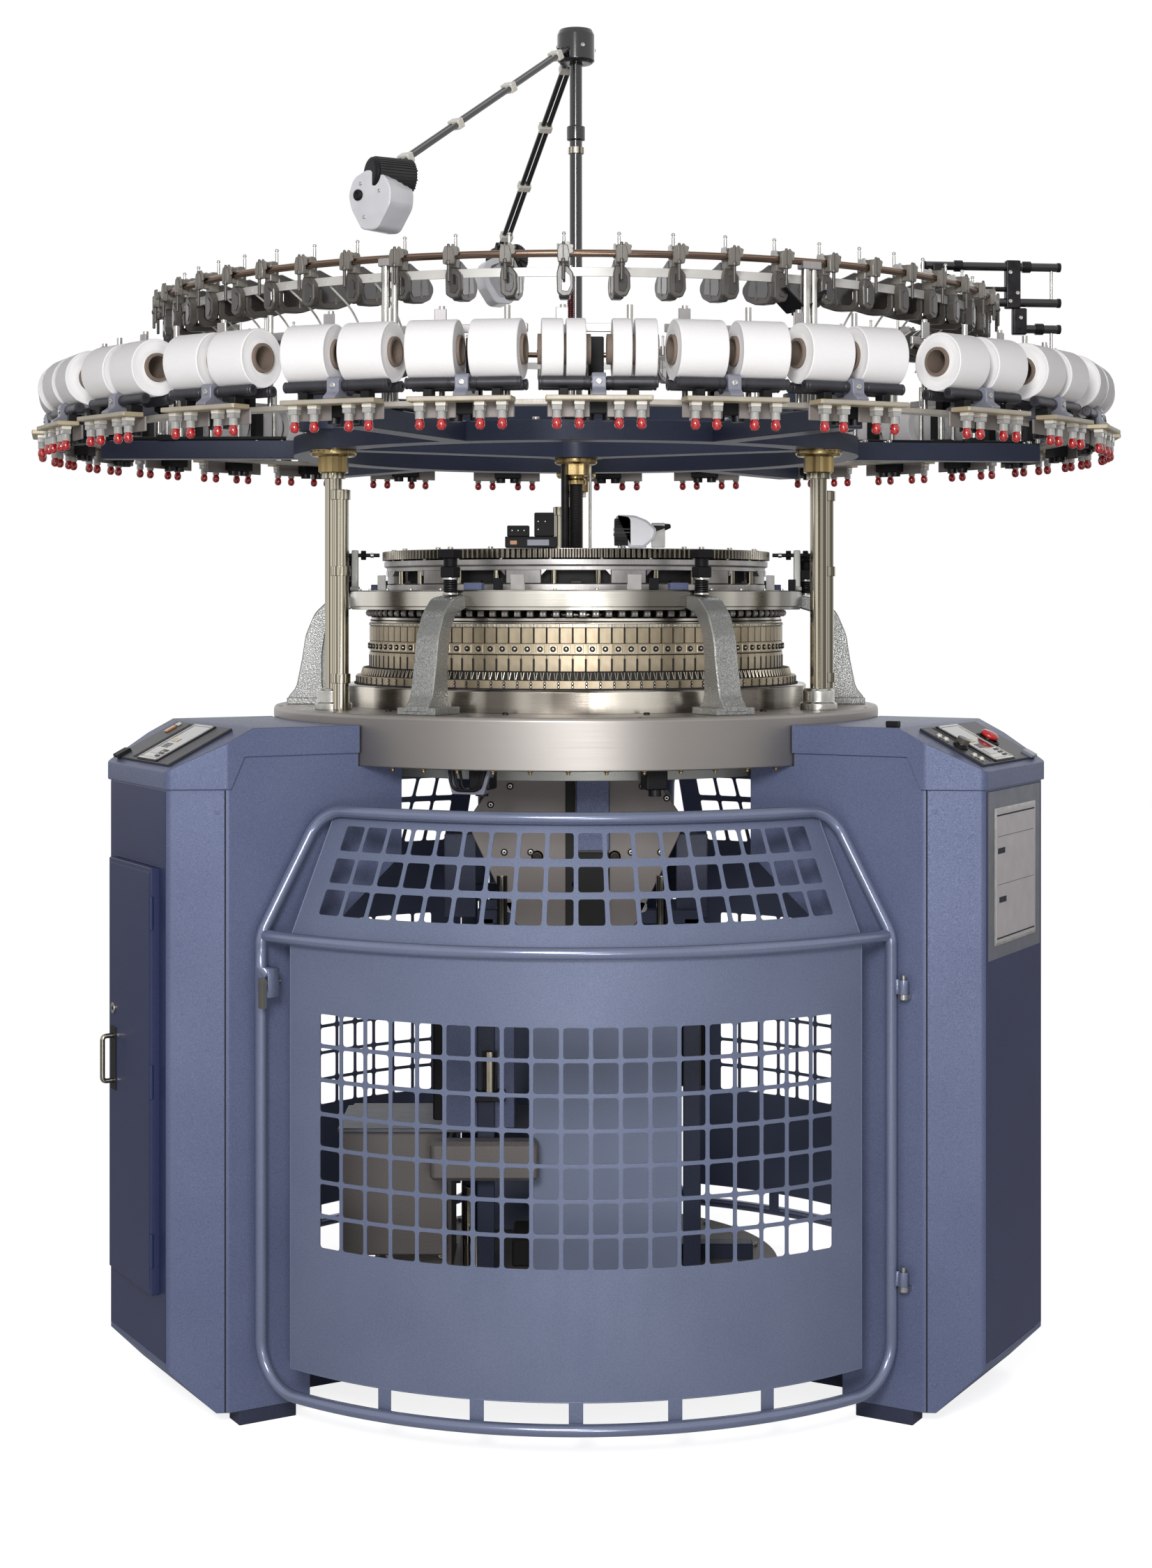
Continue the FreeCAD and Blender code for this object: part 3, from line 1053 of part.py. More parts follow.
def window_field(rows, heights, half_widths, columns):
    """Rows of windows cut straight out from the axis, repeated in columns along the sheet."""
    reach = (columns - 1) * pitch_angle / 2
    openings = [[("-(%s)" % half_widths[r], heights[r][0]), (half_widths[r], heights[r][0]),
                 (half_widths[r], heights[r][1]), ("-(%s)" % half_widths[r], heights[r][1])]
                for r in range(rows)]
    column_cut = extrude(sheet, "Pocket", flat_sketch(sheet, "YZ_Plane", openings, swing=-reach),
                         "gate_circle + 50", reverse=True)
    pattern(sheet, column_cut, columns, 2 * reach)


low_columns = int((2 * sheet_half - 9) / pitch_angle)
low_rows = int((size("gate_shoulder - window_low") - 120) / size("window_rise"))
window_field(low_rows, [("window_low + %d * window_rise" % r,
                         "window_low + %d * window_rise - window_bar" % (r + 1))
                        for r in range(low_rows)],
             ["(window_pitch - window_bar) / 2"] * low_rows, low_columns)
cone_rise = "(gate_top - gate_shoulder)"
cone_shares = [(0.135, 0.331), (0.366, 0.562), (0.597, 0.793)]
window_field(3, [("gate_shoulder + %g * %s" % (a, cone_rise), "gate_shoulder + %g * %s"
                  % (b, cone_rise)) for a, b in cone_shares],
             ["(window_pitch - window_bar) / 2 - %g * window_pitch * 0.14 / 2" % b
              for a, b in cone_shares], low_columns - 1)
lever = joined("latch_lever_joined", [
    rod_item("latch_pivot", "8", "46", latch_place("gate_circle - 18")),
    box_item("latch_bar", ("gate_circle + 20", "0", latch_height + " - 52"),
             ("10", "16", "62"), turn_z(latch_angle))])
for key, angle in GATE_ANGLES.items():
    node(repeated("gate_%s_frame" % key, gate_frame.Shape, [turn_z(angle)]),
         "gate_%s_frame" % key)
    node(repeated("gate_%s_sheet" % key, sheet.Shape, [turn_z(angle)]), "gate_%s_sheet" % key)
    node(repeated("latch_lever_" + key, lever.Shape, [turn_z(angle)]), "latch_lever_" + key)

# hinge lugs and pins on the legs
lugs = []
for z in HINGE_HEIGHTS:
    lug = box_item("hinge_lug", ("hinge_radius - 11", "-gate_side", z + " - 10 - face_gap"),
                   ("22", "gate_side - leg_half_side", "10"))
    lug_end = rod_item("hinge_lug_end", "11", "10", Placement(Vector(
        size("hinge_radius"), -size("gate_side"), size(z + " - 10 - face_gap")), Rotation()))
    pin = rod_item("hinge_pin", "pin_radius", "42 + face_gap", Placement(
        Vector(size("hinge_radius"), -size("gate_side"), size(z + " - face_gap - 2")),
        Rotation()))
    lugs.append(joined("hinge_lug_joined", [lug, lug_end, pin]).Shape)
node(gathered("gate_hinges", [lug.transformed(turn_z(a).toMatrix(), True)
                              for a in LEG_ANGLES.values() for lug in lugs]), "gate_hinges")

doc.recompute()
for item in doc.Objects:
    for word in ("Invalid", "Error"):
        if word in item.State:
            raise RuntimeError("object %s is in a bad state: %s" % (item.Label, item.State))
for item in NODES:
    if item.Shape.isNull() or not item.Shape.isValid():
        raise RuntimeError("piece %s has no valid shape" % item.Label)
os.makedirs("parts", exist_ok=True)
for item in NODES:
    item.Shape.exportStep(os.path.join("parts", item.Label + ".step"))
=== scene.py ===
"""Large-diameter circular knitting machine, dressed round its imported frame.

Shapes are made in millimetres and become metres when a piece is built. +Z is up, +Y points
away from the operator, and the machine's own axis is the Z axis.
"""
from __future__ import annotations

import logging
import math
from dataclasses import dataclass, field
from enum import Enum
from typing import Sequence

import bmesh
import bpy
import numpy as np
from mathutils import Matrix

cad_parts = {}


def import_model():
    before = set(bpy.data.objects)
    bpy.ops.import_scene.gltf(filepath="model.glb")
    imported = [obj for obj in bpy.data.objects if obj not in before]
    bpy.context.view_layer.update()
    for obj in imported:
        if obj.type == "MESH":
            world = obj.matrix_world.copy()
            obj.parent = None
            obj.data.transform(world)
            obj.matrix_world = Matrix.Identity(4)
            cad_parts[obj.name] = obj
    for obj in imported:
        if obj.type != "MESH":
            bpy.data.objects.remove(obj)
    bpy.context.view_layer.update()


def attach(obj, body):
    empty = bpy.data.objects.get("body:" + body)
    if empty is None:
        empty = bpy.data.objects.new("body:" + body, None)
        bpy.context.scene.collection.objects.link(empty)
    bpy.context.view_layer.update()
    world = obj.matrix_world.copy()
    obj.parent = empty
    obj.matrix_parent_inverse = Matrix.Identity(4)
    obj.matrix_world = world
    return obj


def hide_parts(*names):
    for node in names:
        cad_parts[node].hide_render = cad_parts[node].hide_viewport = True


LOG = logging.getLogger("knitting_machine")
MM = 0.001
LEG_ANGLES = (210.0, 330.0, 90.0)
GATE_ANGLES = {"front": 270.0, "right": 30.0, "left": 150.0}
DECK = 2113.0
BED_TOP = 1487.0
RANDOM = np.random.default_rng(34)
Outline = Sequence[tuple[float, float]]


# ------------------------------------------------------------------ places
def shift(x: float = 0.0, y: float = 0.0, z: float = 0.0) -> np.ndarray:
    """Matrix that moves a shape."""
    move = np.eye(4)
    move[:3, 3] = (x, y, z)
    return move


def spin(axis: str, degrees: float) -> np.ndarray:
    """Matrix that turns a shape about one axis."""
    a, b = {"x": (1, 2), "y": (2, 0), "z": (0, 1)}[axis]
    turn = np.eye(4)
    turn[a, a] = turn[b, b] = math.cos(math.radians(degrees))
    turn[b, a] = math.sin(math.radians(degrees))
    turn[a, b] = -turn[b, a]
    return turn


def stretch(x: float = 1.0, y: float = 1.0, z: float = 1.0) -> np.ndarray:
    """Matrix that scales a shape along the axes."""
    return np.diag((x, y, z, 1.0))


def out(angle: float, reach: float = 0.0, height: float = 0.0, across: float = 0.0) -> np.ndarray:
    """Place at an angle round the machine whose +X points out from the axis."""
    return spin("z", angle) @ shift(reach, across, height)


def around(count: int, reach: float, height: float, start: float = 0.0) -> list[np.ndarray]:
    """Places spread evenly round the machine."""
    return [out(start + i * 360.0 / count, reach, height) for i in range(count)]


def on_slope(angle: float, along: float, across: float, lift: float = 0.0) -> np.ndarray:
    """Place on a cap's slope whose +Z stands off the face and +X points down it."""
    return out(angle, 920.5, 1464.0) @ spin("y", 26.96) @ shift(along, across, lift)


def aim(start: Sequence[float], end: Sequence[float]) -> np.ndarray:
    """Place at a start point whose +Z points at an end point."""
    way = np.subtract(end, start) / np.linalg.norm(np.subtract(end, start))
    side = np.cross((0.0, 0.0, 1.0), way) if abs(way[2]) < 0.999 else np.array((0.0, 1.0, 0.0))
    side = side / np.linalg.norm(side)
    place = np.eye(4)
    place[:3, 0], place[:3, 1], place[:3, 2] = np.cross(side, way), side, way
    place[:3, 3] = start
    return place


# ------------------------------------------------------------------ shapes
@dataclass
class Shape:
    """Mesh in millimetres: points, flat face corners, face sizes and each point's own place."""

    points: np.ndarray
    corners: np.ndarray
    sizes: np.ndarray
    local: np.ndarray
    tone: np.ndarray

    @classmethod
    def made(cls, points: Sequence, faces: Sequence[Sequence[int]]) -> Shape:
        """Shape from a list of points and a list of faces."""
        spots = np.asarray(points, float).reshape(-1, 3)
        sizes = np.array([len(face) for face in faces], int)
        corners = np.fromiter((i for face in faces for i in face), int)
        return cls(spots, corners, sizes, spots.copy(), np.zeros(len(spots)))

    @classmethod
    def joined(cls, shapes: Sequence[Shape]) -> Shape:
        """One shape that holds several."""
        starts = np.cumsum([0] + [len(s.points) for s in shapes[:-1]])
        corners = [s.corners + start for s, start in zip(shapes, starts)]
        return cls(np.concatenate([s.points for s in shapes]), np.concatenate(corners),
                   np.concatenate([s.sizes for s in shapes]),
                   np.concatenate([s.local for s in shapes]),
                   np.concatenate([s.tone for s in shapes]))

    def placed(self, *places: np.ndarray) -> Shape:
        """Copies of the shape at each place, every copy with a tone of its own.

        Args:
            places: 4 by 4 matrices; a mirroring one turns the faces round.

        Returns:
            One shape with all the copies.
        """
        copies = []
        for place in places:
            corners = self.corners
            if np.linalg.det(place[:3, :3]) < 0:
                ends = np.cumsum(self.sizes)
                turn = np.repeat(2 * ends - self.sizes - 1, self.sizes)
                corners = corners[turn - np.arange(len(corners))]
            tone = self.tone if len(places) == 1 else self.tone + RANDOM.uniform(-1.0, 1.0)
            copies.append(Shape(self.points @ place[:3, :3].T + place[:3, 3], corners,
                                self.sizes, self.local, tone))
        return Shape.joined(copies)


def eased(outline: Outline, radius: float, steps: int = 2, closed: bool = True) -> list:
    """Round the corners of an outline.

    Args:
        outline: Corner points in a plane.
        radius: How far from a corner its rounding starts.
        steps: Straight pieces in each rounding.
        closed: Whether the last point joins the first.

    Returns:
        The points of the rounded outline.
    """
    spots = [np.array(p, float) for p in outline]
    result = []
    for i, here in enumerate(spots):
        if not closed and i in (0, len(spots) - 1):
            result.append(tuple(here))
            continue
        before, after = spots[i - 1] - here, spots[(i + 1) % len(spots)] - here
        lengths = np.linalg.norm(before), np.linalg.norm(after)
        room = min(radius, 0.45 * lengths[0], 0.45 * lengths[1])
        first, last = here + before / lengths[0] * room, here + after / lengths[1] * room
        for t in np.linspace(0.0, 1.0, steps + 1):
            result.append(tuple((1 - t) ** 2 * first + 2 * t * (1 - t) * here + t * t * last))
    return result


def rect(x: tuple[float, float], y: tuple[float, float]) -> list[tuple[float, float]]:
    """Counter-clockwise rectangle between two spans."""
    return [(x[0], y[0]), (x[1], y[0]), (x[1], y[1]), (x[0], y[1])]


def inset(outline: np.ndarray, depth: float) -> np.ndarray:
    """Counter-clockwise outline moved in from its edges by a depth."""
    edges = np.roll(outline, -1, axis=0) - outline
    edges = edges / np.maximum(np.linalg.norm(edges, axis=1), 1e-9)[:, None]
    normals = np.stack([-edges[:, 1], edges[:, 0]], axis=1)
    both = normals + np.roll(normals, 1, axis=0)
    share = np.maximum((both * both).sum(axis=1) / 2.0, 0.3)
    return outline + both / share[:, None] * depth


def lathe(profile: Outline, segments: int = 48, closed: bool = False) -> Shape:
    """Turn (radius, height) points about the Z axis.

    Args:
        profile: Points that run up the outside of the form; a radius of 0 is on the axis.
        segments: Straight pieces in each circle.
        closed: Whether the last point joins the first, as in a ring with a bore.

    Returns:
        The turned shape.
    """
    turn = np.linspace(0.0, 2 * math.pi, segments, endpoint=False)
    points, rings = [], []
    for radius, height in profile:
        first = len(points)
        if radius < 1e-6:
            rings.append([first] * segments)
            points.append((0.0, 0.0, height))
        else:
            rings.append(list(range(first, first + segments)))
            points += [(radius * math.cos(a), radius * math.sin(a), height) for a in turn]
    faces = []
    for low, high in zip(rings, rings[1:] + rings[:1] if closed else rings[1:]):
        for j in range(segments):
            k = (j + 1) % segments
            face = list(dict.fromkeys((low[j], low[k], high[k], high[j])))
            if len(face) > 2:
                faces.append(face)
    return Shape.made(points, faces)


def ring(profile: Outline, segments: int = 192, bevel: float = 1.0) -> Shape:
    """Turned ring from a closed counter-clockwise profile with eased corners."""
    return lathe(eased(profile, bevel), segments, closed=True)


def rod(radius: float, length: float, bevel: float = 1.0, segments: int = 20) -> Shape:
    """Round bar that stands on the origin, with eased ends."""
    edge = min(bevel, radius * 0.45, length * 0.45)
    profile = eased([(radius - edge * 2, 0), (radius, 0), (radius, length),
                     (radius - edge * 2, length)], edge, closed=False)
    return lathe([(0.0, 0.0)] + profile + [(0.0, length)], segments)


def ball(radius: float, segments: int = 16) -> Shape:
    """Round ball about the origin."""
    turn = np.linspace(-math.pi / 2, math.pi / 2, segments // 2 + 1)
    profile = [(radius * math.cos(a), radius * math.sin(a)) for a in turn]
    profile[0], profile[-1] = (0.0, -radius), (0.0, radius)
    return lathe(profile, segments)


def prism(outline: Outline, low: float, high: float, bevel: float = 0.0) -> Shape:
    """Solid between two heights on an outline, with its rims bevelled."""
    flat = np.asarray(outline, float)
    ahead = np.roll(flat, -1, axis=0)
    if (flat[:, 0] * ahead[:, 1] - ahead[:, 0] * flat[:, 1]).sum() < 0:
        flat = flat[::-1]
    count = len(flat)
    rows = [(flat, low), (flat, high)]
    if bevel:
        small = inset(flat, bevel)
        rows = [(small, low), (flat, low + bevel), (flat, high - bevel), (small, high)]
    points = [(x, y, z) for row, z in rows for x, y in row]
    faces = [list(range(count))[::-1], list(range(count * (len(rows) - 1), count * len(rows)))]
    for r in range(len(rows) - 1):
        for i in range(count):
            a, b = r * count + i, r * count + (i + 1) % count
            faces.append([a, b, b + count, a + count])
    return Shape.made(points, faces)


def slab(x: tuple[float, float], y: tuple[float, float], z: tuple[float, float],
         bevel: float = 1.0, steps: int = 1) -> Shape:
    """Box between three spans with eased edges."""
    outline = eased(rect(x, y), bevel, steps) if bevel else rect(x, y)
    return prism(outline, z[0], z[1], bevel * 0.6)


def upright(outline: Outline, half: float, bevel: float = 0.0) -> Shape:
    """Solid from an outline in the XZ plane, the same amount to each side along Y."""
    return prism(outline, -half, half, bevel).placed(spin("x", 90))


def tube(path: Sequence, radius: float, sides: int = 12, closed: bool = False) -> Shape:
    """Round bar along a path of points."""
    spots = np.asarray(path, float)
    count = len(spots)
    if closed:
        ways = np.roll(spots, -1, axis=0) - np.roll(spots, 1, axis=0)
    else:
        ways = np.gradient(spots, axis=0)
    ways = ways / np.linalg.norm(ways, axis=1)[:, None]
    side = np.cross(ways[0], (0.0, 0.0, 1.0) if abs(ways[0][2]) < 0.9 else (1.0, 0.0, 0.0))
    turn = np.linspace(0.0, 2 * math.pi, sides, endpoint=False)
    run = np.concatenate([[0.0], np.cumsum(np.linalg.norm(np.diff(spots, axis=0), axis=1))])
    points, local = [], []
    for i in range(count):
        side = side - ways[i] * side.dot(ways[i])
        side = side / np.linalg.norm(side)
        other = np.cross(ways[i], side)
        rim = np.outer(np.cos(turn), side) + np.outer(np.sin(turn), other)
        points.append(spots[i] + rim * radius)
        local.append(np.stack([np.cos(turn) * radius, np.sin(turn) * radius,
                               np.full(sides, run[i])], axis=1))
    faces = []
    for i in range(count if closed else count - 1):
        a, b = i * sides, (i + 1) % count * sides
        faces += [[a + j, a + (j + 1) % sides, b + (j + 1) % sides, b + j] for j in range(sides)]
    if not closed:
        faces += [list(range(sides))[::-1], list(range((count - 1) * sides, count * sides))]
    made = Shape.made(np.concatenate(points), faces)
    made.local = np.concatenate(local)
    return made


def arc(radius: float, start: float, end: float, height: float = 0.0, step: float = 3.0) -> list:
    """Points along a level circle about the Z axis."""
    count = max(2, int(abs(end - start) / step) + 1)
    turn = np.radians(np.linspace(start, end, count))
    return [(radius * math.cos(a), radius * math.sin(a), height) for a in turn]


def bend(points: Sequence, radius: float, steps: int = 6) -> list:
    """Path through corner points with every inner corner rounded."""
    return eased(points, radius, steps, closed=False)


def coil(radius: float, wire: float, turns: float, height: float, sides: int = 6) -> Shape:
    """Helical spring that stands on the origin."""
    count = int(turns * 14)
    turn = np.linspace(0.0, 2 * math.pi * turns, count)
    rise = np.linspace(wire, height - wire, count)
    return tube(np.stack([radius * np.cos(turn), radius * np.sin(turn), rise], axis=1),
                wire, sides)


def star(radius: float, depth: float, count: int) -> list[tuple[float, float]]:
    """Knurled or toothed outline with pairs of points out and in."""
    result = []
    for i in range(count):
        for share, reach in ((0.0, radius), (0.4, radius), (0.5, radius - depth),
                             (0.9, radius - depth)):
            turn = 2 * math.pi * (i + share) / count
            result.append((reach * math.cos(turn), reach * math.sin(turn)))
    return result


def hexagon(radius: float) -> list[tuple[float, float]]:
    """Six corners on a circle."""
    return [(radius * math.cos(i * math.pi / 3), radius * math.sin(i * math.pi / 3))
            for i in range(6)]


def screw_head(radius: float, height: float) -> Shape:
    """Round screw head with a socket sunk in its face."""
    bore, deep = radius * 0.5, height * 0.6
    return lathe([(radius, 0), (radius, height * 0.8), (radius * 0.86, height),
                  (bore * 1.1, height), (bore, height - 0.15), (bore * 0.9, height - deep),
                  (0, height - deep)], 12)


# ------------------------------------------------------------------ finishes
def srgb(red: float, green: float, blue: float) -> tuple[float, float, float, float]:
    """Linear colour from 0-255 screen values."""
    return tuple(c / 3294.6 if c <= 10.31 else ((c / 255 + 0.055) / 1.055) ** 2.4
                 for c in (red, green, blue)) + (1.0,)


class Grain(Enum):
    """How a surface varies."""

    SPECKLED = "fine grains in a paint or casting"
    # Partly painted reflection: the broad light and dark bands round the axis stand in for the
    # studio mirrored in polished metal; the fine rings are lathe grain.
    TURNED_WITH_PAINTED_REFLECTIONS = "rings left by a lathe, with soft broad bands round the axis"
    # Painted reflection: light and dark streaks that stand in for the studio mirrored in a round
    # bar.
    PAINTED_REFLECTION_STREAKS = "light and dark streaks along a round bar"
    BRUSHED = "fine lines along the height"
    WOUND = "close turns of thread"
    FIBROUS = "pressed paper"
    MOULDED = "smooth plastic with a faint texture"


@dataclass(frozen=True)
class Finish:
    """A surface: its colour, how it varies, and how it shines."""

    name: str
    colour: tuple[float, float, float]
    other: tuple[float, float, float]
    grain: Grain = Grain.MOULDED
    size: float = 2.0
    metallic: float = 0.0
    rough: float = 0.5
    rough_spread: float = 0.12
    bump: float = 0.1
    coat: float = 0.0
    specular: float = 0.5
    spread: float = 0.04
    bands: float = 1.6
    clear: float = 0.0

    def material(self) -> bpy.types.Material:
        """The finish as a node material, made once and then shared."""
        made = bpy.data.materials.get("look_" + self.name)
        if made is None:
            made = bpy.data.materials.new("look_" + self.name)
            made.use_nodes = True
            NodeWork(made.node_tree, self).build()
        return made


@dataclass
class NodeWork:
    """Builds the nodes of one finish."""

    tree: bpy.types.NodeTree
    finish: Finish

    def node(self, kind: str, inputs: dict | None = None, **settings: object) -> bpy.types.Node:
        """Add a node, set its options, and set or link its inputs."""
        made = self.tree.nodes.new("ShaderNode" + kind)
        for key, value in settings.items():
            setattr(made, key, value)
        for key, value in (inputs or {}).items():
            if isinstance(value, bpy.types.NodeSocket):
                self.tree.links.new(value, made.inputs[key])
            else:
                made.inputs[key].default_value = value
        return made

    def math(self, operation: str, *values: object) -> bpy.types.NodeSocket:
        """Result of a Math node on values or sockets."""
        return self.node("Math", dict(enumerate(values)), operation=operation).outputs[0]

    def noise(self, where: bpy.types.NodeSocket, scale: float, detail: float = 2.0,
              rough: float = 0.5) -> bpy.types.NodeSocket:
        """Grey noise at a place."""
        return self.node("TexNoise", {"Vector": where, "Scale": scale, "Detail": detail,
                                      "Roughness": rough}).outputs["Fac"]

    def ramp(self, value: bpy.types.NodeSocket, low: float, high: float, start: float = 0.0,
             end: float = 1.0) -> bpy.types.NodeSocket:
        """Value carried from one range to another and held inside it."""
        return self.node("MapRange", {"Value": value, "From Min": low, "From Max": high,
                                      "To Min": start, "To Max": end}).outputs[0]

    def mixed(self, share: object, first: object, second: object) -> bpy.types.NodeSocket:
        """Blend of two colours."""
        made = self.node("Mix", data_type="RGBA")
        for key, value in ((0, share), (6, first), (7, second)):
            if isinstance(value, bpy.types.NodeSocket):
                self.tree.links.new(value, made.inputs[key])
            else:
                made.inputs[key].default_value = value
        return made.outputs[2]

    def pattern(self, place: bpy.types.NodeSocket) -> tuple:
        """Share of the second colour, roughness share and height of the surface."""
        finish, unit = self.finish, 1.0 / self.finish.size
        x, y, z = self.node("SeparateXYZ", {0: place}).outputs
        reach = self.math("SQRT", self.math("ADD", self.math("MULTIPLY", x, x),
                                            self.math("MULTIPLY", y, y)))
        if finish.grain in (Grain.TURNED_WITH_PAINTED_REFLECTIONS, Grain.PAINTED_REFLECTION_STREAKS):
            safe = self.math("MAXIMUM", reach, 0.01)
            round_way = self.node("CombineXYZ", {0: self.math("DIVIDE", x, safe),
                                                 1: self.math("DIVIDE", y, safe)}).outputs[0]
            # Painted reflection: broad light and dark bands round the axis, where polished round
            # metal would mirror the studio.
            broad = self.ramp(self.noise(round_way, finish.bands, 2.0, 0.45), 0.41, 0.59)
            lines = self.node("CombineXYZ", {0: reach, 1: z}).outputs[0]
            # On streaked bars the fine lines also run round the axis, so they are painted reflection
            # too; on turned parts they are the lathe rings.
            if finish.grain is Grain.PAINTED_REFLECTION_STREAKS:
                lines = self.node("VectorMath", {0: round_way, 1: (14.0,) * 3},
                                  operation="MULTIPLY").outputs[0]
            fine = self.noise(lines, unit, 3.0, 0.6)
            share = self.math("ADD", self.math("MULTIPLY", broad, 0.85),
                              self.math("MULTIPLY", fine, 0.15))
            return share, fine, fine
        if finish.grain is Grain.BRUSHED:
            lines = self.node("VectorMath", {0: place, 1: (1.0, 1.0, 0.04)},
                              operation="MULTIPLY").outputs[0]
            fine = self.noise(lines, unit, 3.0, 0.6)
            broad = self.ramp(self.noise(place, unit * 0.04, 1.0), 0.3, 0.7)
            return self.math("MULTIPLY", self.math("ADD", fine, broad), 0.5), fine, fine
        if finish.grain is Grain.WOUND:
            lean = self.math("ADD", z, self.math("MULTIPLY", self.math("ARCTAN2", y, x), 0.35))
            turns = self.math("SINE", self.math("MULTIPLY", lean, 6.283 * unit))
            soft = self.noise(place, unit * 0.5, 2.0)
            height = self.math("ADD", self.math("MULTIPLY", turns, 0.35), soft)
            return self.ramp(height, 0.0, 1.2), soft, height
        if finish.grain is Grain.FIBROUS:
            flat = self.node("VectorMath", {0: place, 1: (1.0, 1.0, 0.25)},
                             operation="MULTIPLY").outputs[0]
            fine = self.noise(flat, unit, 4.0, 0.7)
            return fine, fine, fine
        fine = self.noise(place, unit, 3.0, 0.6)
        if finish.grain is Grain.SPECKLED:
            broad = self.noise(place, 1.0 / 160.0, 1.0)
            grains = self.ramp(fine, 0.38, 0.62)
            share = self.math("ADD", self.math("MULTIPLY", grains, 0.6),
                              self.math("MULTIPLY", broad, 0.4))
            return share, grains, fine
        broad = self.noise(place, 1.0 / 40.0, 1.0)
        return broad, fine, fine

    def build(self) -> None:
        """Make the whole node tree."""
        finish = self.finish
        shader = self.tree.nodes["Principled BSDF"]
        place = self.node("Attribute", attribute_name="local").outputs["Vector"]
        tone = self.node("Attribute", attribute_name="tone").outputs["Fac"]
        share, rough, height = self.pattern(place)
        colour = self.mixed(share, srgb(*finish.colour), srgb(*finish.other))
        value = self.math("ADD", self.math("MULTIPLY", tone, finish.spread), 1.0)
        varied = self.node("HueSaturation", {"Color": colour, "Value": value}).outputs[0]
        self.tree.links.new(varied, shader.inputs["Base Color"])
        low = max(0.02, finish.rough - finish.rough_spread / 2)
        self.tree.links.new(self.ramp(rough, 0.3, 0.7, low, low + finish.rough_spread),
                            shader.inputs["Roughness"])
        bump = self.node("Bump", {"Height": height, "Strength": finish.bump,
                                  "Distance": 0.0006})
        self.tree.links.new(bump.outputs[0], shader.inputs["Normal"])
        for key, value in (("Metallic", finish.metallic), ("Coat Weight", finish.coat),
                           ("Coat Roughness", 0.12), ("Transmission Weight", finish.clear),
                           ("Specular IOR Level", finish.specular)):
            shader.inputs[key].default_value = value


PAINT = Finish("cabinet_paint", (112, 120, 150), (84, 92, 123), Grain.SPECKLED, 2.2, 0.2, 0.4,
               bump=0.4, specular=0.25)
# Darker copy of the cabinet paint: painted shade for the outer faces and the door, which turn away
# from the lamps.
SHADED_SIDE_PAINT = Finish("shaded_paint", (58, 65, 102), (42, 48, 80), Grain.SPECKLED, 1.5, 0.15, 0.42,
                    bump=0.25, coat=0.05, specular=0.2)
GATE_PAINT = Finish("gate_paint", (122, 130, 154), (96, 105, 132), Grain.SPECKLED, 1.4, 0.25,
                    0.46, bump=0.3, specular=0.3)
TUBE_PAINT = Finish("gate_tube_paint", (124, 132, 158), (104, 113, 140), Grain.SPECKLED, 1.4,
                    0.3, 0.22, rough_spread=0.08, bump=0.1, coat=0.3)
FRAME_PAINT = Finish("frame_paint", (58, 64, 84), (40, 46, 66), Grain.SPECKLED, 1.6, 0.1, 0.4,
                     bump=0.2, coat=0.05, specular=0.3)
SEAM = Finish("shadow_seam", (22, 23, 36), (14, 14, 24), rough=0.8)
# Lighter copy of the cabinet paint: painted light on the panel seen through the front gate.
LIT_PANEL_PAINT = Finish("painted_light_panel", (150, 160, 186), (120, 131, 160), Grain.SPECKLED, 1.5,
                     0.1, 0.5, bump=0.2)
FOOT_PAINT = Finish("foot_paint", (58, 62, 84), (42, 46, 66), Grain.SPECKLED, 2.0, 0.3, 0.5)
# Turned finishes: the broad light and dark bands in their colour are painted reflection, the fine
# rings lathe grain.
BED_STEEL = Finish("bed_steel", (158, 153, 149), (140, 135, 131), Grain.TURNED_WITH_PAINTED_REFLECTIONS, 0.9, 0.9, 0.42,
                   bands=1.2, bump=0.12)
POLISHED = Finish("polished_ring", (232, 225, 212), (84, 78, 72), Grain.TURNED_WITH_PAINTED_REFLECTIONS, 0.8, 1.0, 0.24,
                  bands=3.4, bump=0.08)
OLIVE_RING = Finish("polished_feeder_ring", (212, 208, 198), (84, 80, 74), Grain.TURNED_WITH_PAINTED_REFLECTIONS, 0.8,
                    1.0, 0.24, bands=2.8, bump=0.08)
# Chrome whose light and dark streaks are painted reflection.
CHROME = Finish("chrome_with_painted_reflections", (216, 208, 188), (48, 44, 36), Grain.PAINTED_REFLECTION_STREAKS, 1.0, 1.0, 0.16,
                bands=3.0, bump=0.03)
BRIGHT = Finish("bright_steel", (205, 203, 198), (150, 147, 141), Grain.BRUSHED, 1.2, 1.0, 0.28,
                bump=0.05)
CAM_PLATE = Finish("cam_plate_steel", (188, 174, 150), (146, 132, 110), Grain.BRUSHED, 1.0, 0.75,
                   0.38, bump=0.12, spread=0.1)
CAM_TOP = Finish("cam_strip_steel", (206, 198, 180), (170, 160, 142), Grain.BRUSHED, 0.8, 0.8,
                 0.35, spread=0.08)
DARK_BRONZE = Finish("dark_bronze", (54, 44, 34), (26, 20, 15), Grain.BRUSHED, 1.4, 0.6, 0.5)
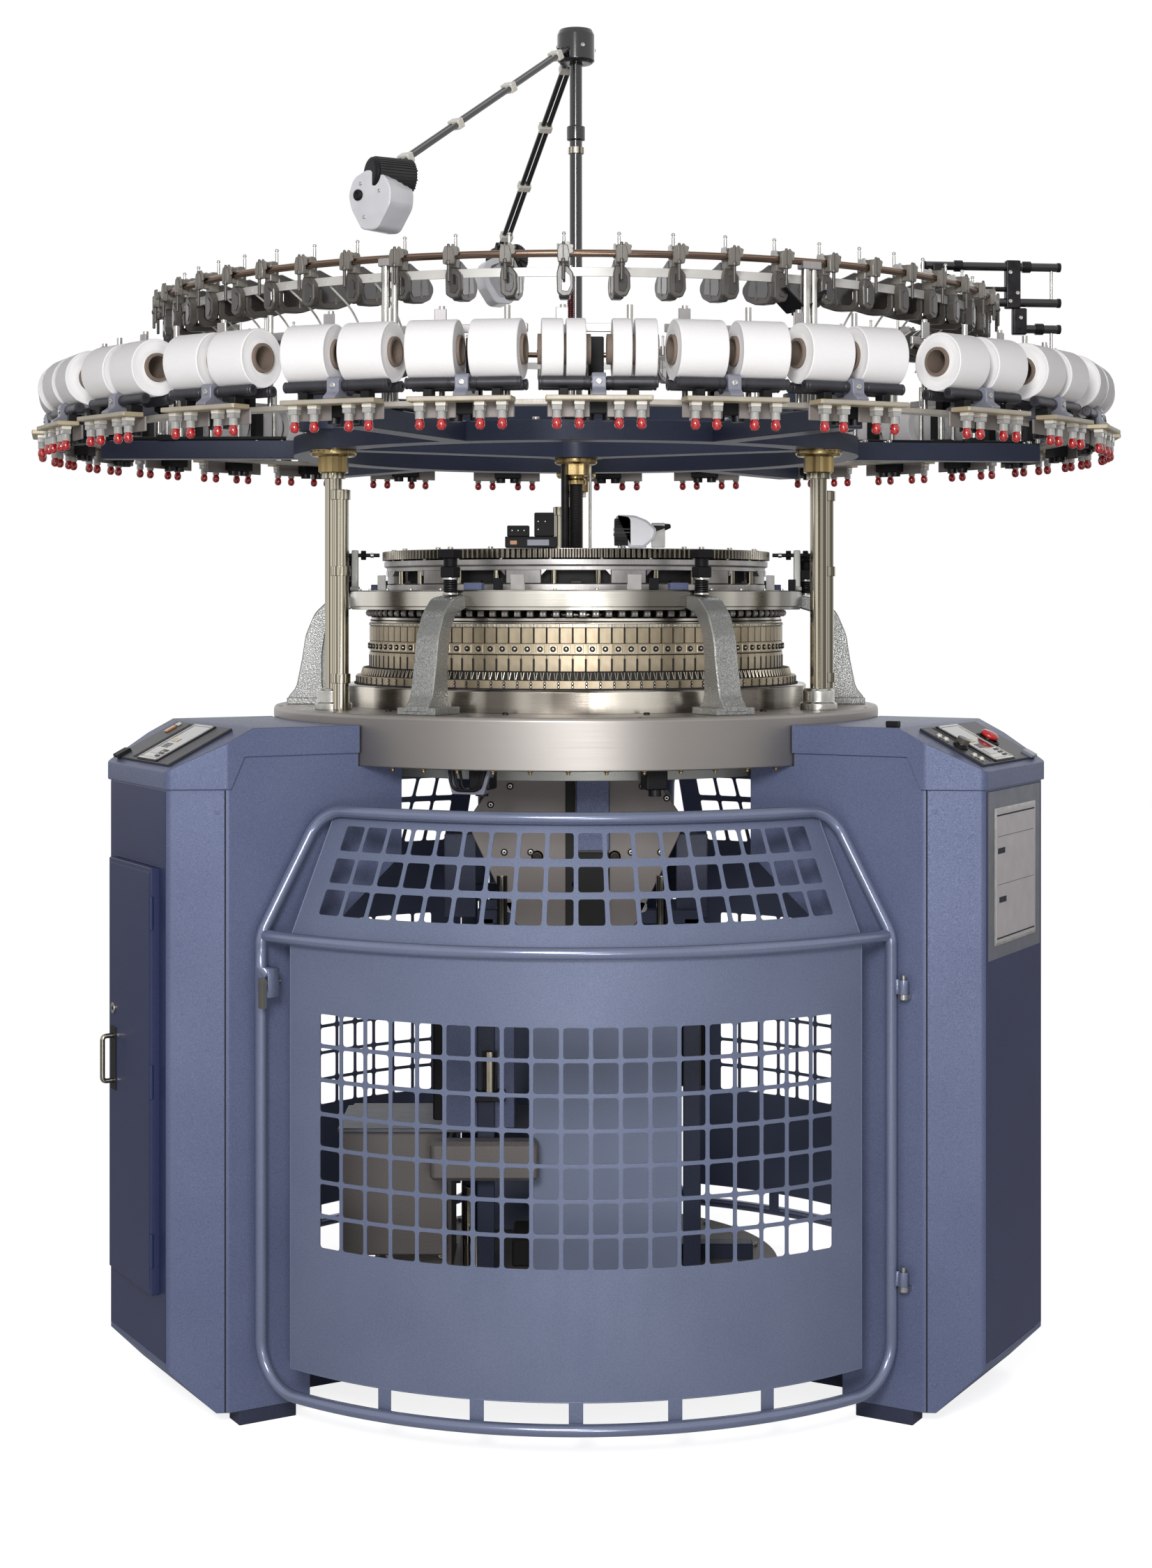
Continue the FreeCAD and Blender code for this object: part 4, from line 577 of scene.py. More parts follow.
# Brass whose light and dark streaks are painted reflection.
BRASS = Finish("brass", (190, 168, 120), (120, 98, 60), Grain.PAINTED_REFLECTION_STREAKS, 1.0, 1.0, 0.25,
               bands=2.0)
CAST = Finish("sparkling_casting", (178, 179, 176), (108, 108, 108), Grain.SPECKLED, 3.2, 0.6,
              0.34, rough_spread=0.3, bump=0.9)
CAST_SIDE = Finish("smooth_casting", (186, 187, 182), (160, 161, 156), Grain.SPECKLED, 0.9, 0.5,
                   0.45, bump=0.15)
GREY_CAST = Finish("dial_casting", (186, 183, 182), (126, 122, 122), Grain.BRUSHED, 3.0, 0.8,
                   0.36)
TOOTH = Finish("tooth_steel", (146, 140, 130), (58, 54, 49), Grain.BRUSHED, 3.0, 1.0, 0.25,
               spread=0.1)
DARK = Finish("dark_gap", (20, 18, 18), (10, 9, 9), rough=0.7)
BLACK = Finish("black_plastic", (22, 22, 25), (13, 13, 16), Grain.MOULDED, 0.8, 0.0, 0.55,
               bump=0.2, specular=0.2)
BLACK_GLOSS = Finish("black_gloss_paint", (20, 20, 24), (12, 12, 16), Grain.MOULDED, 3.0, 0.0,
                     0.16, rough_spread=0.06, bump=0.04, coat=0.6)
BLACK_STEEL = Finish("blackened_steel", (52, 50, 52), (24, 23, 25), Grain.BRUSHED, 1.0, 0.8, 0.4)
ROLLER_BLACK = Finish("roller_black", (62, 62, 68), (44, 44, 50), Grain.BRUSHED, 1.0, 0.35, 0.4)
THREAD = Finish("wound_thread", (253, 251, 251), (238, 235, 236), Grain.WOUND, 1.1, 0.0, 0.85,
                bump=0.35, spread=0.015)
CARD = Finish("core_card", (138, 122, 110), (100, 86, 76), Grain.FIBROUS, 0.9, 0.0, 0.75,
              bump=0.3)
CLIP = Finish("clip_plastic", (136, 138, 152), (116, 118, 132), Grain.MOULDED, 1.2, 0.0, 0.36,
              coat=0.3)
RAIL = Finish("lamp_rail_plastic", (192, 178, 148), (158, 144, 116), Grain.BRUSHED, 2.0, 0.2,
              0.42)
LAMP_WHITE = Finish("lamp_white", (236, 232, 222), (206, 200, 188), Grain.MOULDED, 1.0, 0.0,
                    0.3, coat=0.5)
LAMP_CLEAR = Finish("lamp_clear", (226, 224, 220), (160, 158, 154), Grain.MOULDED, 2.0, 0.0,
                    0.14, coat=1.0, clear=0.35)
LAMP_RED = Finish("lamp_red", (190, 18, 20), (128, 8, 12), Grain.MOULDED, 3.0, 0.0, 0.12,
                  rough_spread=0.05, coat=1.0)
# Guide tube steel whose light and dark streaks are painted reflection.
GUIDE_TUBE = Finish("guide_tube_steel", (150, 128, 112), (82, 66, 56), Grain.PAINTED_REFLECTION_STREAKS, 1.0, 1.0,
                    0.24, bands=1.8)
BAND = Finish("guide_band_enamel", (222, 220, 216), (196, 193, 188), Grain.MOULDED, 2.0, 0.1,
              0.35)
FROST = Finish("frosted_plastic", (156, 150, 141), (98, 92, 84), Grain.MOULDED, 3.0, 0.0,
               0.4, coat=0.15, clear=0.25, spread=0.06)
SMOKE = Finish("smoked_plastic", (100, 94, 88), (62, 58, 54), Grain.MOULDED, 4.0, 0.0, 0.4,
               coat=0.15, clear=0.15, spread=0.08)
WINDOW = Finish("smoked_window", (54, 48, 46), (34, 30, 30), Grain.MOULDED, 2.0, 0.0, 0.18,
                coat=0.6)
DARK_RED = Finish("dark_red_plastic", (112, 24, 30), (70, 12, 18), Grain.MOULDED, 2.0, 0.0,
                  0.25, coat=0.6)
WHITE_SHELL = Finish("blower_shell", (232, 232, 236), (208, 208, 214), Grain.MOULDED, 1.0, 0.0,
                     0.32, coat=0.4, bump=0.05)
RUBBER = Finish("ribbed_rubber", (38, 37, 38), (22, 21, 22), Grain.MOULDED, 1.0, 0.0, 0.6)
CONSOLE = Finish("console_black", (46, 47, 54), (34, 35, 41), Grain.MOULDED, 0.7, 0.1, 0.42,
                 bump=0.3)
GLASS = Finish("display_glass", (84, 80, 80), (44, 42, 44), Grain.MOULDED, 22.0, 0.0, 0.08,
               rough_spread=0.03, coat=1.0, bump=0.0)
SILVER = Finish("silver_trim", (214, 212, 208), (170, 167, 162), Grain.BRUSHED, 1.0, 0.9, 0.3)
RED = Finish("stop_red", (216, 32, 34), (178, 16, 20), Grain.MOULDED, 1.0, 0.0, 0.3, coat=0.4)
AMBER = Finish("amber_lens", (214, 150, 84), (170, 100, 48), Grain.MOULDED, 1.5, 0.0, 0.25,
               coat=0.6)
LABEL = Finish("plain_label", (202, 196, 198), (184, 178, 180), Grain.MOULDED, 12.0, 0.1, 0.42)
LABEL_SHEET = Finish("label_sheet_steel", (124, 126, 134), (104, 106, 116), Grain.BRUSHED, 1.6,
                     0.6, 0.42)
BEIGE = Finish("takedown_beige", (146, 139, 135), (118, 111, 108), Grain.SPECKLED, 1.4, 0.2,
               0.5, bump=0.2)
TABLE_GREY = Finish("turntable_paint", (138, 132, 128), (108, 102, 100), Grain.SPECKLED, 2.0, 0.3,
                    0.45)
PALE_STRIP = Finish("pale_strip", (186, 180, 170), (160, 153, 143), Grain.BRUSHED, 2.0, 0.2, 0.45)


# ------------------------------------------------------------------ pieces
class Piece:
    """One visible piece: shapes with their finishes, riding on a body of the frame."""

    def __init__(self, name: str, body: str = "machine", slot: str = "",
                 stands_for: Sequence[str] = ()) -> None:
        """Start an empty piece.

        Args:
            name: Name of the piece.
            body: Body of the frame it moves with.
            slot: The record's material slot; it is not used.
            stands_for: Nodes of the frame it is shown in place of.
        """
        self.name, self.body, self.slot, self.stands_for = name, body, slot, stands_for
        self.shapes: list[Shape] = []
        self.finishes: list[Finish] = []

    def add(self, finish: Finish, shape: Shape, *places: np.ndarray) -> Piece:
        """Add a shape in a finish, at each place if any are given."""
        self.shapes.append(shape.placed(*places) if places else shape)
        self.finishes.append(finish)
        return self

    def build(self, sharp: float = 38.0) -> bpy.types.Object:
        """Make the Blender object.

        Args:
            sharp: Angle in degrees above which an edge stays sharp.

        Returns:
            The finished object.
        """
        whole = Shape.joined(self.shapes)
        mesh = bpy.data.meshes.new(self.name)
        mesh.vertices.add(len(whole.points))
        mesh.vertices.foreach_set("co", (whole.points * MM).ravel())
        mesh.loops.add(len(whole.corners))
        mesh.loops.foreach_set("vertex_index", whole.corners)
        mesh.polygons.add(len(whole.sizes))
        mesh.polygons.foreach_set("loop_start", np.cumsum(whole.sizes) - whole.sizes)
        used = list(dict.fromkeys(self.finishes))
        numbers = [np.full(len(s.sizes), used.index(f)) for s, f in
                   zip(self.shapes, self.finishes)]
        for finish in used:
            mesh.materials.append(finish.material())
        mesh.polygons.foreach_set("material_index", np.concatenate(numbers))
        mesh.polygons.foreach_set("use_smooth", np.ones(len(whole.sizes), bool))
        local = mesh.attributes.new("local", "FLOAT_VECTOR", "POINT")
        local.data.foreach_set("vector", whole.local.ravel())
        tone = mesh.attributes.new("tone", "FLOAT", "POINT")
        tone.data.foreach_set("value", whole.tone)
        mesh.update(calc_edges=True)
        mesh.validate()
        mesh.set_sharp_from_angle(angle=math.radians(sharp))
        return show(self.name, mesh, self.body, self.stands_for)


def show(name: str, mesh: bpy.types.Mesh, body: str,
         stands_for: Sequence[str]) -> bpy.types.Object:
    """Put a mesh in the scene with even normals and tie it to the frame."""
    made = bpy.data.objects.new(name, mesh)
    bpy.context.scene.collection.objects.link(made)
    even = made.modifiers.new("even_normals", "WEIGHTED_NORMAL")
    even.keep_sharp = True
    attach(made, body)
    if stands_for:
        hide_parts(*stands_for)
    LOG.info("%s: %d faces on %s", name, len(mesh.polygons), body)
    return made


def cut_away(mesh: bpy.types.Mesh, cutter: Shape) -> bpy.types.Mesh:
    """Mesh with the room of a closed shape taken out of it."""
    tool = bpy.data.meshes.new("cutter")
    starts = np.cumsum(cutter.sizes) - cutter.sizes
    faces = [list(map(int, cutter.corners[a:a + n])) for a, n in zip(starts, cutter.sizes)]
    tool.from_pydata((cutter.points * MM).tolist(), [], faces)
    objects = [bpy.data.objects.new(name, data) for name, data in (("blank", mesh),
                                                                   ("cutter", tool))]
    for made in objects:
        bpy.context.scene.collection.objects.link(made)
    taking = objects[0].modifiers.new("cut", "BOOLEAN")
    taking.operation, taking.object, taking.solver = "DIFFERENCE", objects[1], "EXACT"
    ready = objects[0].evaluated_get(bpy.context.evaluated_depsgraph_get())
    result = bpy.data.meshes.new_from_object(ready)
    for made in objects:
        bpy.data.objects.remove(made)
    return result


def dressed(node: str, finish: Finish, body: str = "machine",
            bevel: float = 2.0, cutter: Shape | None = None) -> bpy.types.Object:
    """Show a node of the frame with clean faces, rounded edges and a finish.

    Args:
        node: Name of the node whose form is taken.
        finish: Finish over all of it.
        body: Body the node belongs to.
        bevel: Width of the rounded edges in millimetres; flat faces are merged only with it.
        cutter: Room taken out of the form, if any.

    Returns:
        The new object.
    """
    work = bmesh.new()
    work.from_mesh(bpy.data.objects[node].data)
    bmesh.ops.remove_doubles(work, verts=work.verts, dist=2e-5)
    if bevel > 2.2:
        bmesh.ops.dissolve_limit(work, angle_limit=math.radians(1.0), verts=work.verts,
                                 edges=work.edges)
    mesh = bpy.data.meshes.new(node + "_dressed")
    work.to_mesh(mesh)
    work.free()
    if cutter is not None:
        mesh = cut_away(mesh, cutter)
    mesh.materials.clear()
    mesh.materials.append(finish.material())
    mesh.polygons.foreach_set("use_smooth", np.ones(len(mesh.polygons), bool))
    mesh.polygons.foreach_set("material_index", np.zeros(len(mesh.polygons), int))
    local = mesh.attributes.new("local", "FLOAT_VECTOR", "POINT")
    places = np.zeros(len(mesh.vertices) * 3)
    mesh.vertices.foreach_get("co", places)
    local.data.foreach_set("vector", places / MM)
    made = show(node + "_dressed", mesh, body, [node])
    if bevel:
        edge = made.modifiers.new("edges", "BEVEL")
        edge.width, edge.segments = bevel * MM, 2
        edge.limit_method, edge.angle_limit = "ANGLE", math.radians(30.0)
        edge.use_clamp_overlap = True
        made.modifiers.move(1, 0)
    return made


def facing_out(outline: Outline, depth: float, bevel: float = 0.0) -> Shape:
    """Plate on an outline of (across, height) points that faces along +X."""
    made = prism(outline, 0.0, depth, bevel)
    made.points = made.points[:, [2, 0, 1]]
    return made


def sector(inner: float, outer: float, start: float, end: float, low: float, high: float,
           bevel: float = 0.8, step: float = 2.0) -> Shape:
    """Curved block between two radii, two angles and two heights."""
    outline = [p[:2] for p in arc(outer, start, end, step=step)]
    outline += [p[:2] for p in arc(inner, end, start, step=step)]
    return prism(outline, low, high, bevel)


# ------------------------------------------------------------------ cabinets and consoles
@dataclass
class Cabinets:
    """Three cabinet legs with caps, feet, a door, seams and a plain instruction plate."""

    corner: float = 974.5
    outer: float = 1089.5
    half_side: float = 235.0
    half_end: float = 180.0
    seam: float = 3.4

    def build(self) -> None:
        """Make every piece of the cabinets."""
        room = upright([(500, -20), (790, -20), (790, 986), (573.5, 1180), (500, 1246)], 300)
        for node, angle in zip(("leg_front_left", "leg_front_right", "leg_rear"), LEG_ANGLES):
            dressed(node, PAINT, bevel=2.5, cutter=room.placed(out(angle)))
        arms = Piece("base_arms", slot="frame_blue")
        arms.add(FRAME_PAINT, slab((555, 796), (-60, 60), (40, 120), 3, 2),
                 *[out(angle) for angle in LEG_ANGLES])
        arms.build()
        for node in ("cap_front_left", "cap_front_right", "cap_rear"):
            dressed(node, PAINT, bevel=3.0)
        dressed("levelling_feet", FOOT_PAINT, bevel=2.0)
        dressed("base_spider", FRAME_PAINT, bevel=1.5)
        self.seams()
        self.door()
        self.plate()

    def seams(self) -> None:
        """Dark joints down the corners of every leg, with cover screws beside them."""
        lean = math.degrees(math.atan2(self.half_end - self.half_side, self.outer - self.corner))
        strip = slab((5.5, 5.5 + self.seam), (-2.0, 0.35), (34, 1335), 0.3)
        cover = screw_head(5.0, 2.2).placed(spin("x", -90))
        piece = Piece("cabinet_seams", slot="cabinet_paint")
        for angle in LEG_ANGLES:
            for side in (1.0, -1.0):
                edge = out(angle) @ stretch(y=side) @ shift(self.corner, self.half_side)
                edge = edge @ spin("z", lean)
                piece.add(SEAM, strip, edge)
                piece.add(PAINT, cover, *[edge @ shift(24, 0, z) for z in (1290, 90)])
        piece.build()

    def door(self) -> None:
        """Cabinet door with its edge gap, hinges, lock and pull handle; the door and the outer faces
        of the front legs get darker paint as painted shade.
        """
        place = out(210.0)
        piece = Piece("door_panel", "door", "cabinet_paint", ["cabinet_door"])
        # The door is in the darker paint: painted shade of the outer face.
        piece.add(SHADED_SIDE_PAINT, slab((1085, 1107.5), (-134, 134), (271, 1169), 2.5, 2), place)
        piece.add(SHADED_SIDE_PAINT, slab((1106, 1108.4), (-124, 124), (281, 1159), 1.2), place)
        piece.add(BLACK, slab((1108, 1110), (-118, -84), (664, 802), 0.8, 2), place)
        grip = bend([(1108, -100, 684), (1134, -100, 684), (1134, -100, 782),
                     (1108, -100, 782)], 9)
        piece.add(CHROME, tube(grip, 5.5, 14), place)
        piece.add(BRIGHT, rod(12, 4).placed(spin("y", 90)), place @ shift(1108, -100, 842))
        piece.add(BLACK, rod(4, 2).placed(spin("y", 90)), place @ shift(1111, -100, 842))
        piece.add(SHADED_SIDE_PAINT, rod(5.5, 70), *[place @ shift(1108, 134, z) for z in (330, 685, 1040)])
        piece.build()
        # Darker skins on the front legs' outer faces: painted shade.
        skin = Piece("painted_shade_skins", slot="cabinet_paint")
        for angle in (210.0, 330.0):
            spans = [((-172, 172), (1172, 1332)), ((-172, 172), (136, 268)),
                     ((-172, -137), (268, 1172)), ((137, 172), (268, 1172))] if angle < 300 \
                else [((-172, 172), (136, 1332))]
            for across, height in spans:
                skin.add(SHADED_SIDE_PAINT, slab((1088.6, 1090.4), across, height, 0.4), out(angle))
        skin.build()
        inside = Piece("cabinet_controls", slot="console_black")
        back = place @ shift(795, 0, 0)
        inside.add(BRIGHT, slab((0, 3), (-118, 118), (300, 1140), 0.8), back)
        for row, z in enumerate((360, 520, 700, 880, 1030)):
            inside.add(BRIGHT, slab((3, 8), (-110, 110), (z + 26, z + 44), 0.8), back)
            width = (22.0, 34.0, 26.0, 44.0, 22.0)[row]
            count = int(214 / (width + 3))
            inside.add(CONSOLE if row % 2 else LABEL, slab((8, 52 + 6 * row), (0, width),
                                                           (z, z + 70), 1.5),
                       *[back @ shift(0, -107 + i * (width + 3)) for i in range(count)])
        inside.build()

    def plate(self) -> None:
        """Plain grey sheet and a blank white plate on the right leg's outer face."""
        place = out(330.0, self.outer)
        piece = Piece("instruction_plate", slot="cabinet_paint")
        piece.add(LABEL_SHEET, slab((-0.5, 1.4), (-162, 162), (975, 1330), 0.6), place)
        piece.add(SILVER, slab((1, 3.2), (-128, 128), (1003, 1293), 1.0), place)
        piece.add(LABEL, slab((3, 3.9), (-122, 122), (1009, 1287), 0.3), place)
        for low, high in ((1276, 1279), (1016, 1019)):
            piece.add(SEAM, slab((3.8, 4.2), (-118, 118), (low, high)), place)
        for z in (1232, 1130):
            piece.add(LABEL_SHEET, slab((3.8, 4.1), (-112, 112), (z, z + 1.2)), place)
        for y, z in ((-112, 1196), (-104, 1092)):
            piece.add(SEAM, slab((3.8, 4.2), (y, y + 44), (z, z + 12)), place)
        piece.build()


@dataclass
class Consoles:
    """Sloped control panels on the two front legs."""

    half_width: float = 165.0
    display: tuple[float, float] = (26.0, 174.0)

    def build(self) -> None:
        """Make the panels, displays, lights, stop and knob."""
        piece = Piece("console_panels", slot="console_black", stands_for=["console_plates"])
        for angle, low in ((210.0, -26.0), (330.0, -86.0)):
            self.panel(piece, on_slope(angle, 0, 0), low)
        left, right = on_slope(210, 0, 0), on_slope(330, 0, 0)
        piece.add(AMBER, slab((40, 66), (-128, -112), (6, 10), 1.5, 2), left)
        piece.add(LAMP_WHITE, slab((26, 37), (-128, -112), (6, 10), 1.5, 2), left)
        piece.add(BLACK, slab((150, 184), (-163, -128), (4, 13), 3, 2), left)
        piece.add(CLIP, slab((154, 182), (122, 158), (4, 12), 3, 2), right)
        light = lathe(eased([(0.1, 0), (6, 0), (6, 3), (4.6, 6.5), (0.1, 7.4)], 1.5,
                            closed=False), 14)
        piece.add(LAMP_WHITE, light, *[right @ shift(a + s, b + s * 0.2, 6) for a, b in
                                       ((66, -146), (152, -140)) for s in (-8, 8)])
        piece.add(SILVER, lathe([(7.5, 0), (7.5, 1.6), (6, 2)], 14),
                  *[right @ shift(a + s, b + s * 0.2, 6) for a, b in
                    ((66, -146), (152, -140)) for s in (-8, 8)])
        piece.add(BLACK, slab((-14, 14), (-9, 9), (0, 13), 2.5, 2), out(330, 898, 1464, -214))
        piece.build()
        stop = Piece("stop_button_cap", "stop_button", "stop_red", ["emergency_stop"])
        cap = [(0, 30), (7.5, 30), (7.5, 14), (17, 13.6), (20, 16), (20, 21), (16, 25.6),
               (8, 27.4), (0, 27.6)]
        stop.add(RED, lathe([(0, 12)] + eased(cap[2:-1], 2, closed=False) + [(0, 27.6)], 32),
                 on_slope(330, 95, 56))
        stop.add(BRIGHT, rod(8, 26), on_slope(330, 95, 56, -12)).build()
        collar = Piece("control_collars", slot="console_black")
        for along, across, bore, radius in ((95, 56, 21, 27), (104, -128, 8.4, 17)):
            collar.add(BLACK, lathe(eased([(bore, 6), (radius, 6), (radius, 9), (radius - 3, 11.5),
                                           (bore, 11.5)], 1.2), 32, closed=True),
                       on_slope(330, along, across))
        collar.build()
        knob = Piece("knob_cap", "knob", "console_black", ["selector_knob"])
        knob.add(SMOKE, prism(star(14, 0.9, 18), 13.5, 26, 1.2), on_slope(330, 104, -128))
        knob.add(SILVER, slab((2, 13), (-1.2, 1.2), (25.8, 26.6), 0.3), on_slope(330, 104, -128))
        knob.add(BRIGHT, rod(8, 26), on_slope(330, 104, -128, -12)).build()

    def panel(self, piece: Piece, place: np.ndarray, low: float) -> None:
        """One textured panel with its framed display, keys and side groove."""
        high = low + 112.0
        start, end = self.display
        piece.add(CONSOLE, slab((18, 178), (-self.half_width, self.half_width), (0, 6), 2.2, 2),
                  place)
        piece.add(BLACK, slab((start - 3, end + 3), (low - 3, high + 3), (5, 8.4), 1.5), place)
        for x, y in (((start, end), (low, low + 5)), ((start, end), (high - 5, high)),
                     ((start, start + 5), (low, high)), ((end - 5, end), (low, high))):
            piece.add(SILVER, slab(x, y, (6, 11), 1.2), place)
        piece.add(GLASS, slab((start + 4, end - 4), (low + 4, high - 4), (6, 9.4), 0.5), place)
        piece.add(SILVER, slab((end - 46, end - 8), (low + 10, high - 10), (9, 10.2), 0.5), place)
        piece.add(GLASS, slab((end - 42, end - 22), (low + 18, high - 44), (10, 10.8), 0.4), place)
        piece.add(CONSOLE, slab((0, 7), (0, 9), (10, 11.4), 1.0, 2),
                  *[place @ shift(end - 18 - 11 * i, high - 24 - 12 * j) for i in range(3)
                    for j in range(2)])
        piece.add(BRASS, slab((start + 60, start + 74), (low + 24, high - 52), (9, 10.2), 1.0),
                  place)
        piece.add(CONSOLE, slab((0, 2.4), (0, 38), (9.2, 10), 0.4),
                  *[place @ shift(start + 82 + 4.6 * i, low + 22) for i in range(4)])
        groove = (low - 26.0, low - 14.0) if low < -60 else (low - 44.0, low - 20.0)
        piece.add(SEAM, slab((24, 172), groove, (5.4, 6.3), 0.3), place)


# ------------------------------------------------------------------ guard gates
@dataclass
class Gate:
    """Curved guard gate: windowed sheet, tabs, and its dressed tube frame."""

    name: str
    reach: float = 925.2
    thick: float = 2.2
    half: float = 40.0
    columns: int = 19
    low: float = 132.0
    shoulder: float = 1030.0
    peak: float = 1290.0
    peak_reach: float = 791.2
    pitch: float = 3.68

    def spot(self, angle: float, height: float, depth: float) -> tuple[float, float, float]:
        """Point on the sheet at an angle, a height and a depth outward."""
        share = max(0.0, (height - self.shoulder) / (self.peak - self.shoulder))
        reach = self.reach + (self.peak_reach - self.reach) * share + depth
        turn = math.radians(angle)
        return reach * math.cos(turn), reach * math.sin(turn), height

    def cell(self, left: float, right: float, low: float, high: float,
             hole: tuple[float, float, float, float] | None) -> tuple[list, list]:
        """Points and faces of one cell of the sheet, with a rounded window if it has one.

        Args:
            left: First angle of the cell in degrees.
            right: Last angle of the cell.
            low: Lower height.
            high: Upper height.
            hole: First angle, last angle, lower height and upper height of the window.

        Returns:
            Points in (angle, height, depth) and faces.
        """
        if hole is None:
            frame = [(left, low), ((left + right) / 2, low), (right, low), (right, high),
                     ((left + right) / 2, high), (left, high)]
            points = [(a, z, d) for d in (0.0, self.thick) for a, z in frame]
            return points, [[0, 5, 4, 1], [1, 4, 3, 2], [6, 7, 10, 11], [7, 8, 9, 10]]
        per_degree = math.radians(1.0) * self.reach
        a0, a1, z0, z1 = hole
        corner = eased([(a0 * per_degree, z0), (a1 * per_degree, z0), (a1 * per_degree, z1),
                        (a0 * per_degree, z1)], 7.0, 4)
        inner = [(x / per_degree, z) for x, z in corner]
        outer = []
        for i in range(20):
            side, share = divmod(i, 5)
            share = (share - 2) / 4.0
            step = max(0.0, share), max(0.0, -share)
            ends = [(left, low), (right, low), (right, high), (left, high)]
            here, ahead, back = ends[side], ends[(side + 1) % 4], ends[side - 1]
            outer.append((here[0] + (ahead[0] - here[0]) * step[0] + (back[0] - here[0]) * step[1],
                          here[1] + (ahead[1] - here[1]) * step[0] + (back[1] - here[1]) * step[1]))
        points = [(a, z, d) for d in (0.0, self.thick) for a, z in outer + inner]
        faces = []
        for i in range(20):
            k = (i + 1) % 20
            faces.append([i, 20 + i, 20 + k, k])
            faces.append([40 + i, 40 + k, 60 + k, 60 + i])
            faces.append([20 + i, 60 + i, 60 + k, 20 + k])
        return points, faces

    def rows(self) -> list[tuple[float, float, float, float]]:
        """Lower and upper height of each row of windows with the row's cell around it."""
        made = [(398 + 70 * r, 398 + 70 * r + 62, 394 + 70 * r, 464 + 70 * r) for r in range(7)]
        rise = self.peak - 3 - self.shoulder
        cone = [(self.shoulder + a * rise, self.shoulder + b * rise)
                for a, b in ((0.195, 0.389), (0.44, 0.63), (0.689, 0.883))]
        marks = [self.shoulder + 22, (cone[0][1] + cone[1][0]) / 2, (cone[1][1] + cone[2][0]) / 2,
                 cone[2][1] + 14]
        return made + [(a, b, marks[i], marks[i + 1]) for i, (a, b) in enumerate(cone)]

    def sheet(self) -> Shape:
        """The whole sheet as one thin solid with its windows."""
        points, faces = [], []
        levels = [(self.low, 394.0, None)]
        for z0, z1, low, high in self.rows():
            if low - levels[-1][1] > 1.0:
                levels.append((levels[-1][1], low, None))
            levels.append((low, high, (z0, z1)))
        levels.append((levels[-1][1], self.peak, None))
        middle = [i for i, level in enumerate(levels) if level[0] < self.shoulder < level[1]
                  and level[2] is None]
        for i in middle:
            low, high, _ = levels[i]
            levels[i:i + 1] = [(low, self.shoulder, None), (self.shoulder - 0.3, high, None)]
        for low, high, window in levels:
            cone = low >= self.shoulder - 1
            count = self.columns - 1 if cone else self.columns
            pitch = self.pitch * (1.11 if cone else 1.0)
            half = count * pitch / 2
            marks = [-self.half] + [-half + i * pitch for i in range(count + 1)] + [self.half]
            for i, (left, right) in enumerate(zip(marks, marks[1:])):
                gap = pitch * (0.07 if not cone else 0.075)
                hole = None
                if window and 0 < i <= count:
                    hole = (left + gap, right - gap, window[0], window[1])
                spots, found = self.cell(left, right, low, high, hole)
                faces += [[k + len(points) for k in face] for face in found]
                points += spots
        made = Shape.made([self.spot(*p) for p in points], faces)
        made.local = np.array([(a * 16.2, z, d) for a, z, d in points])
        return made

    def build(self) -> None:
        """Make the sheet with its rims and tabs, and dress the frame."""
        place, body = spin("z", GATE_ANGLES[self.name]), f"gate_{self.name}"
        node = f"gate_{self.name}_sheet"
        piece = Piece(f"{body}_plate", body, "gate_blue", [node])
        piece.add(GATE_PAINT, self.sheet(), place)
        per_degree = math.radians(1.0) * self.reach
        for across in (-400, -200, 0, 200, 400):
            turn = across / per_degree
            piece.add(GATE_PAINT, slab((self.reach - 0.2, self.reach + self.thick + 0.2),
                                       (-14.5, 14.5), (80, 134), 0.3), place @ spin("z", turn))
        for height in (self.low + 1.4, self.peak - 2):
            rim = [self.spot(a, height, self.thick / 2) for a in np.linspace(-40, 40, 41)]
            piece.add(GATE_PAINT, tube(rim, 1.7, 6), place)
        for end in (-39.9, 39.9):
            edge = [self.spot(end, z, self.thick / 2) for z in (self.low, 700, self.shoulder,
                                                                self.peak - 2)]
            piece.add(GATE_PAINT, tube(edge, 1.7, 6), place)
        merge(piece.build(20.0), 2e-5)
        dressed(f"gate_{self.name}_frame", TUBE_PAINT, body, 0.0)


@dataclass
class Latch:
    """Quarter-turn latch lever with a chrome pivot on a dark block."""

    name: str
    angle: float = -43.06
    height: float = 934.0

    def build(self) -> None:
        """Dress the latch of one gate."""
        dressed(f"latch_lever_{self.name}", CHROME, f"latch_{self.name}", 0.8)


def merge(made: bpy.types.Object, distance: float) -> None:
    """Weld the points of an object that share a place and fill no more than seams."""
    work = bmesh.new()
    work.from_mesh(made.data)
    bmesh.ops.remove_doubles(work, verts=work.verts, dist=distance)
    work.to_mesh(made.data)
    work.free()
    made.data.set_sharp_from_angle(angle=math.radians(20.0))


